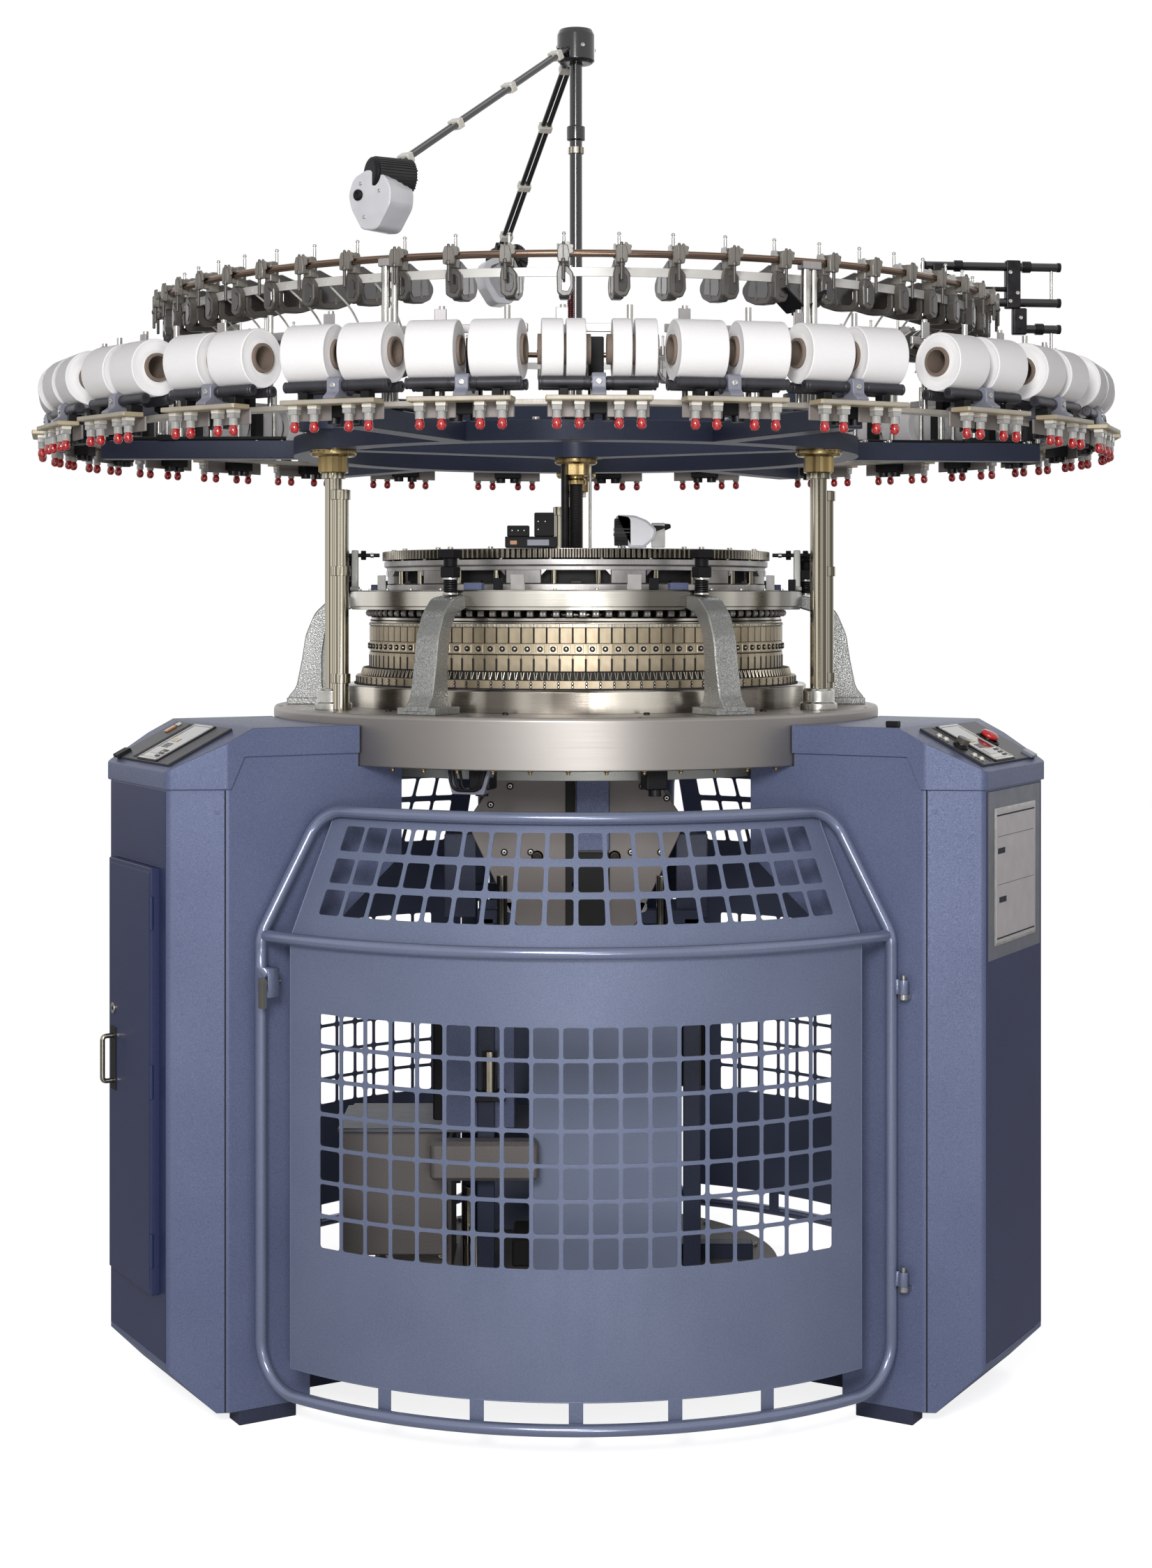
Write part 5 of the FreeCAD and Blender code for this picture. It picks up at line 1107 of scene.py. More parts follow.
# ------------------------------------------------------------------ bed, cams and feeders
@dataclass
class KnittingHead:
    """Bed, cam ring with its many small plates and screws, feeders and feeder ring."""

    cams: int = 108
    bed_reach: float = 713.5

    def build(self) -> None:
        """Make the bed and everything that sits on it up to the feeder ring."""
        self.bed()
        self.cam_ring()
        self.cam_plates()
        self.feeders()
        self.feeder_ring()
        self.brackets()
        self.adjusters()

    def bed(self) -> None:
        """Heavy bed plate, its bearing ring and the screws round both."""
        piece = Piece("bed_plate", slot="bed_grey", stands_for=["bed_plate", "bearing_ring"])
        rim = [(500, 1375), (712, 1375), (713.5, 1377), (713.5, 1480), (710, 1487),
               (500, 1487)]
        piece.add(BED_STEEL, ring(rim, 256, 2.0))
        piece.add(CAST_SIDE, ring([(445.05, 1345), (570, 1345), (570, 1375), (445.05, 1375)],
                                  160, 1.5))
        piece.add(BLACK_STEEL, screw_head(7, 5), *around(12, 585, BED_TOP, 15.0))
        piece.add(DARK, rod(5, 1.2), *around(12, 700, BED_TOP - 0.7, 11.0))
        piece.build()

    def cam_ring(self) -> None:
        """Base ring, ledge and the dark body behind the cams."""
        piece = Piece("cam_body", slot="cam_steel",
                      stands_for=["base_ring", "cam_ring"])
        base = [(450, 1487), (545, 1487), (545, 1534), (541, 1538), (514, 1538), (514, 1556),
                (450, 1556)]
        piece.add(POLISHED, ring(base, 256, 1.2))
        piece.add(SEAM, ring([(514, 1538), (526, 1538), (526, 1541), (514, 1541)], 192, 0.3))
        piece.add(DARK, ring([(450, 1555), (504, 1555), (504, 1576), (450, 1576)], 216, 0.5))
        piece.add(DARK, ring([(436, 1576), (484, 1576), (484, 1681), (436, 1681)], 216, 0.5))
        piece.add(POLISHED, ring([(446, 1681), (488, 1681), (488, 1684.5), (486, 1686),
                                  (486, 1693), (484, 1695), (446, 1696)], 216, 0.8))
        piece.add(SEAM, ring([(486, 1686.2), (488.6, 1686.2), (488.6, 1687.4), (486, 1687.4)],
                             216, 0.2))
        piece.build()

    def cam_plates(self) -> None:
        """One sector of cams, screws, springs and keyhole plates, all round the cylinder."""
        count = self.cams
        places = around(count, 0, 0, 90.0 / count)
        piece = Piece("cam_plates", slot="cam_steel")
        piece.add(CAM_PLATE, sector(470, 489.6, -1.42, 1.42, 1638.6, 1672.5, 0.7), *places)
        piece.add(CAM_TOP, sector(470, 488.4, -1.6, 1.6, 1673.0, 1681.0, 0.6), *places)
        head = screw_head(2.6, 2.4).placed(spin("y", 90))
        piece.add(BRIGHT, head, *[p @ spin("z", a) @ shift(488.2, 0, 1677)
                                  for p in places for a in (-0.8, 0.8)])
        piece.add(CAM_PLATE, sector(470, 488.8, -1.66, 1.66, 1614.5, 1638.0, 0.6), *places)
        pad = slab((486, 490.6), (-9.4, 9.4), (1616.6, 1635.4), 1.0)
        piece.add(CAM_TOP, pad, *places)
        piece.add(CAM_PLATE, sector(470, 489.8, -1.6, 1.6, 1577, 1612.5, 0.7), *places)
        piece.add(DARK, slab((484, 490.8), (-2.2, 2.2), (1577, 1605), 0.2),
                  *[p @ spin("z", 180.0 / count) for p in places])
        piece.build()
        screws = Piece("cam_screws", slot="cam_steel")
        big = lathe([(6.3, 0), (6.3, 3.0), (5.8, 3.6), (4.8, 3.6), (4.4, 1.4), (2.6, 1.0),
                     (2.2, 2.6), (1.4, 3.0), (0, 3.0)], 14).placed(spin("y", 90))
        screws.add(DARK_BRONZE, big, *[p @ shift(490, 0, 1626) for p in places])
        bright = lathe([(3.1, 2.4), (2.6, 3.1), (1.5, 3.4), (0, 3.4)], 10).placed(spin("y", 90))
        screws.add(BRIGHT, bright, *[p @ shift(490.6, 0, 1626) for p in places])
        piece_plates = sector(486, 520.6, -1.6, 1.6, 1540, 1558, 0.6)
        screws.add(CAM_PLATE, piece_plates, *places)
        gap = [p @ spin("z", 180.0 / count) for p in places]
        screws.add(DARK, slab((518, 521.2), (-2.2, 2.2), (1542, 1556), 0.6), *gap)
        screws.add(DARK_BRONZE, rod(3.4, 2.6, 0.6, 10).placed(spin("y", 90)),
                   *[p @ shift(519.4, 0, z) for p in gap for z in (1544.5, 1552)])
        screws.add(BRIGHT, rod(1.9, 1.0, 0.3, 8).placed(spin("y", 90)),
                   *[p @ shift(521.5, 0, z) for p in gap for z in (1544.5, 1552)])
        vee = tube([(505.4, -3.4, 1575), (510, -1.2, 1559.5), (510, 1.2, 1559.5),
                    (505.4, 3.4, 1575)], 0.85, 5)
        screws.add(CAM_TOP, vee, *[p @ spin("z", a) for p in places for a in (-0.83, 0.83)])
        screws.build()

    def feeders(self) -> None:
        """Small feeder blocks with their bright noses above the cams."""
        piece = Piece("feeder_noses", slot="feeder_dark", stands_for=["yarn_feeders"])
        places = around(self.cams, 0, 0, 180.0 / self.cams)
        piece.add(BLACK_STEEL, slab((452, 494), (-8.2, 8.2), (1695, 1711.5), 0.8), *places)
        piece.add(TABLE_GREY, slab((486, 497.5), (-7.2, 7.2), (1697, 1709), 1.4), *places)
        piece.add(BRIGHT, screw_head(2.4, 1.6).placed(spin("y", 90)),
                  *[p @ shift(497.2, y, 1703) for p in places for y in (-3.6, 3.6)])
        piece.build()

    def feeder_ring(self) -> None:
        """Polished ring over the feeders with small blocks and clear tabs on it."""
        piece = Piece("feeder_ring_polished", slot="polished_steel", stands_for=["feeder_ring"])
        profile = [(425, 1711), (531, 1711), (531, 1718), (535, 1719), (535, 1752), (532, 1755),
                   (425, 1755)]
        piece.add(OLIVE_RING, ring(profile, 256, 0.8))
        piece.add(BRIGHT, screw_head(4, 3.5), *around(36, 520, 1755, 5.0))
        piece.add(PAINT, slab((-9, 9), (-22, 22), (0, 16), 2), *[out(a, 518, 1755) for a in
                                                                   (244.5, 295.5, 20, 160, 80)])
        piece.add(BLACK, slab((-8, 8), (-9, 9), (0, 26), 2), *[out(a, 520, 1755) for a in
                                                                 (251, 289, 26, 154, 86, 345)])
        piece.add(LAMP_CLEAR, slab((-3, 3), (-16, 16), (0, 34), 1.5), *[out(a, 524, 1755)
                  for a in (256, 284, 327, 213, 65)])
        piece.build()

    def brackets(self) -> None:
        """Cast brackets, each with a dark coil spring and a black stepped stack."""
        side = [(585, 1487), (683, 1487), (683, 1503), (663, 1527), (649, 1597), (641, 1651),
                (619, 1703), (583, 1737), (515, 1747), (515, 1719), (569, 1703), (593, 1661),
                (601, 1607), (601, 1527), (585, 1503)]
        arm = eased(side, 12.0, 4)
        places = around(6, 0, 0, 0.0)
        piece = Piece("cast_brackets", slot="cast_grey", stands_for=["ring_brackets"])
        piece.add(CAST, upright(arm, 29, 2.5), *places)
        piece.add(CAST, slab((585, 683), (-49, 49), (1487, 1503), 3, 2), *places)
        piece.build()
        spring = Piece("bracket_springs", slot="cast_grey")
        for p in places:
            spot = p @ shift(548, 0, 1744)
            spring.add(BRIGHT, rod(17, 5, 1.2, 24), spot, spot @ shift(0, 0, 33))
            spring.add(BLACK_STEEL, coil(13.5, 2.6, 6, 34), spot @ shift(0, 0, 2))
            spring.add(DARK, rod(9, 36), spot)
            spring.add(BLACK, slab((-15, 15), (-17, 17), (38, 62), 3, 2), spot)
            spring.add(BLACK, prism(star(15, 1.4, 20), 62, 80, 0.8), spot)
            spring.add(BLACK, slab((-19, 19), (-20, 20), (80, 100), 4, 2), spot)
            spring.add(BRIGHT, screw_head(6, 5), spot @ shift(0, 0, 100))
        spring.build()

    def adjusters(self) -> None:
        """Black level rods with thumb nuts on grey posts at gear height."""
        piece = Piece("adjuster_rods", slot="feeder_dark")
        for angle in (184.0, 356.0, 90.0):
            post = out(angle, 524, 1755)
            piece.add(CAST_SIDE, slab((-8, 8), (-10, 10), (0, 96), 3, 2), post)
            piece.add(CAST_SIDE, slab((-11, 11), (-18, 18), (0, 10), 3, 2), post)
            bar = rod(4.5, 84).placed(spin("y", -90))
            piece.add(BLACK_STEEL, bar, post @ shift(26, 0, 84))
            nut = prism(star(11, 1.2, 20), 0, 12, 1).placed(spin("y", 90))
            piece.add(BLACK, nut, post @ shift(14, 0, 84), post @ shift(-26, 0, 84))
            piece.add(BRIGHT, rod(6, 8).placed(spin("y", 90)), post @ shift(-44, 0, 84))
        piece.build()


# ------------------------------------------------------------------ gears, dial and top frame
@dataclass
class DialAndGears:
    """Needle cylinder, dial carrier, gears, drive shaft and what stands on the dial gear."""

    gear_top: float = 1846.0

    def build(self) -> None:
        """Make every piece of the dial and the drive."""
        dressed("needle_cylinder", POLISHED, "rotor", 1.0)
        dressed("needle_dial", BRIGHT, "dial", 1.0)
        dressed("main_gear", TOOTH, "rotor", 0.0)
        dressed("dial_gear", TOOTH, "dial", 0.5)
        dressed("lower_pinion", TOOTH, "drive", 0.0)
        dressed("upper_pinion", TOOTH, "drive", 0.0)
        dressed("drive_shaft", BRIGHT, "drive", 0.6)
        dressed("shaft_bearing", CAST_SIDE, bevel=3.0)
        dressed("centre_spindle", CHROME, bevel=0.6)
        self.carrier()
        self.gear_face()
        self.gear_tools()

    def carrier(self) -> None:
        """Windowed dial carrier with its polished post pairs and central boss."""
        piece = Piece("dial_carrier_cast", slot="cast_grey", stands_for=["dial_carrier"])
        floor = [(55.05, 1755), (449, 1755), (449, 1768), (440, 1771), (110, 1771), (110, 1823),
                 (55.05, 1823)]
        piece.add(GREY_CAST, ring(floor, 160, 1.5))
        piece.add(GREY_CAST, ring([(415, 1799), (449, 1799), (449, 1808), (455, 1811),
                                   (455, 1823), (415, 1823)], 192, 1.0))
        half = 10.0
        for i in range(12):
            place = out(30.0 * i)
            piece.add(GREY_CAST, sector(415, 449, half, 30 - half, 1770, 1800, 1.2), place)
            for side in (1, -1):
                corner = [(-half, 1801), (-half, 1788), (-half + 1.6, 1801)]
                turned_to = [(side * a * 7.6, z) for a, z in corner]
                piece.add(GREY_CAST, facing_out(turned_to, 28.0), place @ shift(418))
            piece.add(CHROME, rod(7.5, 30, 1.0, 16), *[place @ spin("z", a) @ shift(438, 0, 1769.5)
                                                       for a in (-6.4, 6.4)])
            piece.add(DARK_BRONZE, slab((-6, 6), (-12, 12), (0, 6), 1), place
                      @ shift(438, 0, 1770))
        piece.add(DARK, ring([(330, 1771), (414, 1771), (414, 1822), (330, 1822)], 96, 0.5))
        piece.add(BRIGHT, screw_head(5, 4), *around(24, 432, 1823, 7.5))
        piece.build()

    def gear_face(self) -> None:
        """Pale flange below the dial gear and screws on its face."""
        piece = Piece("dial_gear_face", "dial", "gear_steel")
        piece.add(GREY_CAST, ring([(60, 1845.6), (446, 1845.6), (446, 1847.4), (60, 1847.4)],
                                  160, 0.5))
        piece.add(BRIGHT, screw_head(6, 5), *around(18, 432, 1847, 4.0))
        piece.build()

    def gear_tools(self) -> None:
        """Stepped black box, small blower, clear block and tubes carried by the top frame."""
        piece = Piece("dial_tools", slot="feeder_dark")
        front = out(270.0)
        box = front @ shift(440, -96, 1848) @ stretch(1.1, 1.1, 1.1)
        piece.add(BLACK, slab((-26, 18), (-54, 50), (0, 22), 2.5, 2), box)
        piece.add(BLACK, slab((-24, 14), (-50, -6), (22, 44), 2.5, 2), box)
        piece.add(BLACK, slab((-22, 10), (4, 44), (22, 70), 3, 2), box)
        piece.add(GREY_CAST, rod(1.5, 5).placed(spin("y", 90)), *[box @ shift(14, y, z) for y, z in
                                                             ((-40, 34), (-28, 34), (-16, 34),
                                                              (12, 52), (26, 52), (12, 36))])
        piece.add(AMBER, slab((17, 19), (-44, -30), (6, 14), 0.8), box)
        piece.add(CLIP, slab((17, 19), (-10, 34), (4, 16), 0.8), box)
        wheel = prism(star(30, 2.2, 26), 0, 34, 1.4).placed(spin("x", -90))
        fan = front @ shift(448, 84, 1882)
        piece.add(RUBBER, wheel, fan)
        piece.add(BRIGHT, rod(9, 38).placed(spin("x", -90)), fan @ shift(0, -2, 0))
        shell = eased([(30, -34), (66, -34), (88, -14), (92, 6), (70, 26), (44, 36), (8, 37),
                       (2, 31), (30, 28)], 6, 3)
        piece.add(WHITE_SHELL, facing_out(shell, 58, 5), fan @ shift(-29))
        nose = lathe(eased([(0.1, 0), (11, 0), (9, 24), (4.5, 42), (0.1, 42)], 2, closed=False),
                     18)
        piece.add(BLACK, nose, fan @ shift(8, 82, 6) @ spin("x", -80))
        piece.add(LAMP_CLEAR, slab((-12, 12), (-15, 15), (-34, 20), 3, 2), fan @ shift(4, 96, 0))
        piece.add(BRIGHT, rod(4.5, 34), fan @ shift(-8, 12, -34), fan @ shift(-8, 66, -34))
        piece.build()
        hung = Piece("spindle_fittings", slot="column_chrome")
        thread = [(x, z) for i in range(26) for x, z in
                  ((13.0, 1852 + i * 6.0), (15.6, 1855 + i * 6.0))]
        hung.add(BLACK_STEEL, lathe(thread, 32))
        hung.add(DARK, ring([(14.6, 1847), (15.2, 1847), (15.2, 2010), (14.6, 2010)], 32, 0.1))
        hung.add(BRASS, lathe(eased([(15, 2008), (24, 2008), (24, 2018), (20, 2022), (20, 2030),
                                     (15, 2030)], 1.2), 32, closed=True))
        hung.add(BLACK_STEEL, rod(9.5, 262, 1.0, 18), out(196, 27, 1850))
        hung.add(BRIGHT, rod(3.6, 262, 0.6, 12), out(352, 34, 1850))
        hung.add(BLACK_STEEL, slab((-20, 20), (-16, 16), (0, 10), 2), out(186, 34, 2104))
        hung.build()


@dataclass
class TopFrame:
    """Columns, nuts and the round top frame with its deck."""

    columns: tuple[float, ...] = LEG_ANGLES

    def build(self) -> None:
        """Make the columns, their nuts and collars, and dress the frame."""
        dressed("top_frame", FRAME_PAINT, bevel=1.5)
        creel = Piece("creel_ring_and_beams", slot="frame_blue", stands_for=["creel_frame"])
        creel.add(PALE_STRIP, ring([(1130, 2103), (1170, 2103), (1170, 2113), (1130, 2113)],
                                   192, 1.2))
        creel.add(FRAME_PAINT, slab((664, 1132), (-30, 30), (2070, 2113), 2.5, 2),
                  *[out(a) for a in (7.0, 58.4, 127.0, 178.4, 247.0, 298.4)])
        creel.build()
        piece = Piece("chrome_columns", slot="column_chrome", stands_for=["columns"])
        places = [out(a, 630, BED_TOP) for a in self.columns]
        piece.add(CHROME, rod(19, 583, 1.0, 32), *places)
        piece.add(CHROME, rod(18, 493, 1.5, 28), *[p @ shift(0, 39, 0) for p in places])
        foot = [(19, 0), (42, 0), (42, 14), (36, 18), (36, 42), (31, 48), (19, 48)]
        piece.add(BRIGHT, lathe(eased(foot, 1.5), 48, closed=True), *places)
        piece.add(CHROME, lathe(eased([(18, 0), (22, 0), (22, 22), (18, 22)], 1.2), 32,
                                closed=True), *[p @ shift(0, 39, z) for p in places
                                                for z in (60, 300, 470)])
        piece.build()
        nuts = Piece("brass_nuts", slot="nut_brass", stands_for=["frame_nuts"])
        flange = [(19, 36), (46, 36), (50, 39), (52, 43), (52, 51), (19, 51)]
        for place in places:
            up = place @ shift(0, 0, 532)
            nuts.add(BRASS, prism(hexagon(37), 0, 37, 1.6), up)
            nuts.add(BRASS, lathe(eased(flange, 1.5), 48, closed=True), up)
            nuts.add(CHROME, lathe(eased([(19, -14), (27, -14), (27, 0), (19, 0)], 1.5), 36,
                                   closed=True), up)
        nuts.add(BRASS, prism(hexagon(36), 2029, 2057, 1.6))
        nuts.add(BRASS, lathe(eased([(15, 2055), (45, 2055), (51, 2060), (51, 2070), (15, 2070)],
                                    1.5), 48, closed=True))
        nuts.build()
        self.deck()

    def deck(self) -> None:
        """Screws, junction boxes and cable runs on the deck and under it."""
        piece = Piece("deck_fittings", slot="frame_blue")
        piece.add(BRIGHT, screw_head(8, 7), *around(24, 650, DECK, 7.5))
        for angle in (7.0, 58.4, 127.0, 178.4, 247.0, 298.4):
            for reach in (700, 760, 1108):
                piece.add(BRIGHT, screw_head(7, 6), out(angle, reach, DECK, 18),
                          out(angle, reach, DECK, -18))
            cable = [(690, 22, DECK + 5), (1120, 22, DECK + 5)]
            piece.add(BLACK, tube(cable, 5, 10), out(angle))
        for angle in (32.0, 152.0, 272.0):
            piece.add(GREY_CAST, slab((-34, 34), (-60, 60), (0, 44), 3, 2),
                      out(angle + 180, 630, DECK))
            piece.add(BRIGHT, screw_head(4, 3), *[out(angle + 180, 630 + x, DECK + 44, y)
                                                  for x in (-26, 26) for y in (-52, 52)])
        piece.build()


# ------------------------------------------------------------------ creel
@dataclass
class Creel:
    """Ring of bobbin units with roller bars, clips, lamps and rails."""

    sector_turns: tuple[float, ...] = (-22.0, -10.0, 2.0, 14.0, 26.0, 42.0, 55.5, 69.5, 84.0)
    reach: float = 1190.0
    bar_height: float = 2141.0
    yarn_height: float = 2204.9
    narrow: float = -88.0
    lamp_spots: tuple[float, ...] = (-79.0, -37.0, 37.0, 79.0)

    def units(self) -> list[float]:
        """Azimuth of every unit."""
        return [turn + 120.0 * k - 90.0 for k in range(3) for turn in self.sector_turns]

    def build(self) -> None:
        """Make clips, bars, packages, cores and lamps."""
        places = [out(a) for a in self.units()]
        self.clips(places)
        self.bars(places)
        self.packages()
        self.lamps(places)

    def clips(self, places: list[np.ndarray]) -> None:
        """Moulded clips with a screw, black feet and the pale lamp rail."""
        outline = [(1132, 2113), (1252, 2113), (1252, 2119), (1236, 2129), (1236, 2151),
                   (1230, 2158), (1210, 2158), (1202, 2150), (1202, 2124), (1178, 2124),
                   (1178, 2150), (1170, 2158), (1150, 2158), (1144, 2150), (1144, 2124),
                   (1132, 2121)]
        piece = Piece("creel_clips", slot="bracket_grey", stands_for=["roller_brackets"])
        piece.add(CLIP, upright(eased(outline, 3.5, 2), 13, 1.4), *places)
        face = screw_head(5.5, 2.5).placed(spin("y", 90))
        piece.add(BRIGHT, face, *[p @ shift(1235.4, 0, 2141) for p in places])
        piece.add(RAIL, slab((1216, 1262), (-100, 100), (2104, 2113), 1.6), *places)
        piece.add(PALE_STRIP, slab((1259.6, 1262.6), (-97, 97), (2105.6, 2111.2), 0.6), *places)
        piece.add(BLACK, slab((1204, 1232), (-9, 9), (2113, 2129), 1.5),
                  *[p @ shift(0, y) for p in places for y in (-66, 66)])
        piece.add(BEIGE, slab((1206, 1211), (16, 96), (2076, 2106), 1.5),
                  *[p @ stretch(y=s) for p in places for s in (1, -1)])
        piece.add(BLACK, slab((1172, 1206), (-36, 36), (2082, 2108), 4, 2), *places)
        piece.add(BLACK_STEEL, rod(13, 12), *[p @ shift(1190, y, 2070) for p in places
                                              for y in (-20, 20)])
        piece.add(BRIGHT, rod(6, 186, 1.0, 12), *[p @ shift(1120, y, 2112) for p in places
                                                  for y in (-64, 64)])
        piece.add(GREY_CAST, slab((1115, 1122), (-104, 104), (2246, 2262), 1.5), *places)
        piece.add(GREY_CAST, slab((1122, 1126), (-78, -54), (2258, 2292), 1.2), *places)
        piece.add(BLACK, slab((1108, 1128), (-16, 14), (2112, 2236), 3, 2), *places)
        piece.build()

    def bars(self, places: list[np.ndarray]) -> None:
        """Roller bars with end caps and a groove."""
        profile = [(0, 14), (10, 14), (11, 16), (11, 24), (10.2, 25), (10.2, 27), (11, 28),
                   (11, 104), (10.2, 105), (10.2, 107), (11, 108), (11, 110.5), (9.6, 112),
                   (4, 112), (4, 109), (0, 109)]
        bar = lathe(profile, 16)
        right, left = bar.placed(spin("x", -90)), bar.placed(spin("x", 90))
        pin = rod(5, 34).placed(spin("x", -90), )
        piece = Piece("creel_bars", slot="roller_black", stands_for=["creel_rollers"])
        spots = [p @ shift(self.reach + side * 28, 0, self.bar_height) for p in places
                 for side in (1, -1)]
        piece.add(ROLLER_BLACK, right, *spots)
        piece.add(ROLLER_BLACK, left, *spots)
        piece.add(BRIGHT, pin, *[p @ shift(0, -17, 0) for p in spots])
        piece.build()

    def packages(self) -> None:
        """Wound packages with bulged flanks on their paper cores."""
        yarn = Piece("yarn_packages", slot="bobbin_white", stands_for=["bobbins"])
        core = Piece("package_cores", slot="core_paper", stands_for=["bobbin_cores"])
        lying = spin("x", -90)
        for angle in self.units():
            place = out(angle, self.reach, self.yarn_height) @ lying
            wound = [(-107, 41), (-61, 37), (26, 36), (68, 42)] if angle == self.narrow else \
                [(14, 94), (-108, 94)]
            cores = [(-114, 100), (16, 98)] if angle == self.narrow else [(8, 106), (-114, 106)]
            for start, length in wound:
                yarn.add(THREAD, self.package(length), place @ shift(z=start))
            for start, length in cores:
                profile = eased([(23, 0), (29, 0), (29, length), (23, length)], 1.0)
                core.add(CARD, lathe(profile, 24, closed=True), place @ shift(z=start))
        yarn.build()
        core.build()

    def package(self, length: float) -> Shape:
        """One package: rounded shoulders, faint ridges and slightly dished ends."""
        rows = [(29.3, 0.6), (42, 1.4), (52, 1.2), (56.4, 0.0), (58.0, 1.2), (58.5, 3.6)]
        count = 6
        middle = [(58.5 - 0.25 * (i % 2), 3.6 + (length - 7.2) * i / count)
                  for i in range(1, count)]
        top = [(radius, length - height) for radius, height in reversed(rows)]
        made = lathe(rows + middle + top, 40, closed=True)
        return made.placed(spin("z", float(RANDOM.uniform(0, 360))))

    def lamps(self, places: list[np.ndarray]) -> None:
        """Stop lamps: white sockets in clear bodies with red domed bulbs."""
        piece = Piece("stop_lamp_bodies", slot="lamp_clear", stands_for=["stop_lamps"])
        spots = [p @ shift(1240, y) for p in places for y in self.lamp_spots]
        piece.add(LAMP_WHITE, slab((-10, 10), (-10, 10), (2096, 2104), 1.6, 2), *spots)
        piece.add(LAMP_CLEAR, slab((-9.4, 9.4), (-9.4, 9.4), (2086, 2096), 1.8, 2), *spots)
        neck = [(8.2, 2072), (8.8, 2073), (8.8, 2086), (5, 2086), (5, 2072)]
        piece.add(LAMP_CLEAR, lathe(neck, 12, closed=True), *spots)
        dome = [(0, 2051), (4.2, 2051.8), (7.4, 2054.4), (9.2, 2058.4), (9.5, 2062), (8.6, 2067),
                (7.0, 2070), (6.6, 2072.5), (0, 2072.5)]
        piece.add(LAMP_RED, lathe(dome, 12), *spots)
        piece.build()


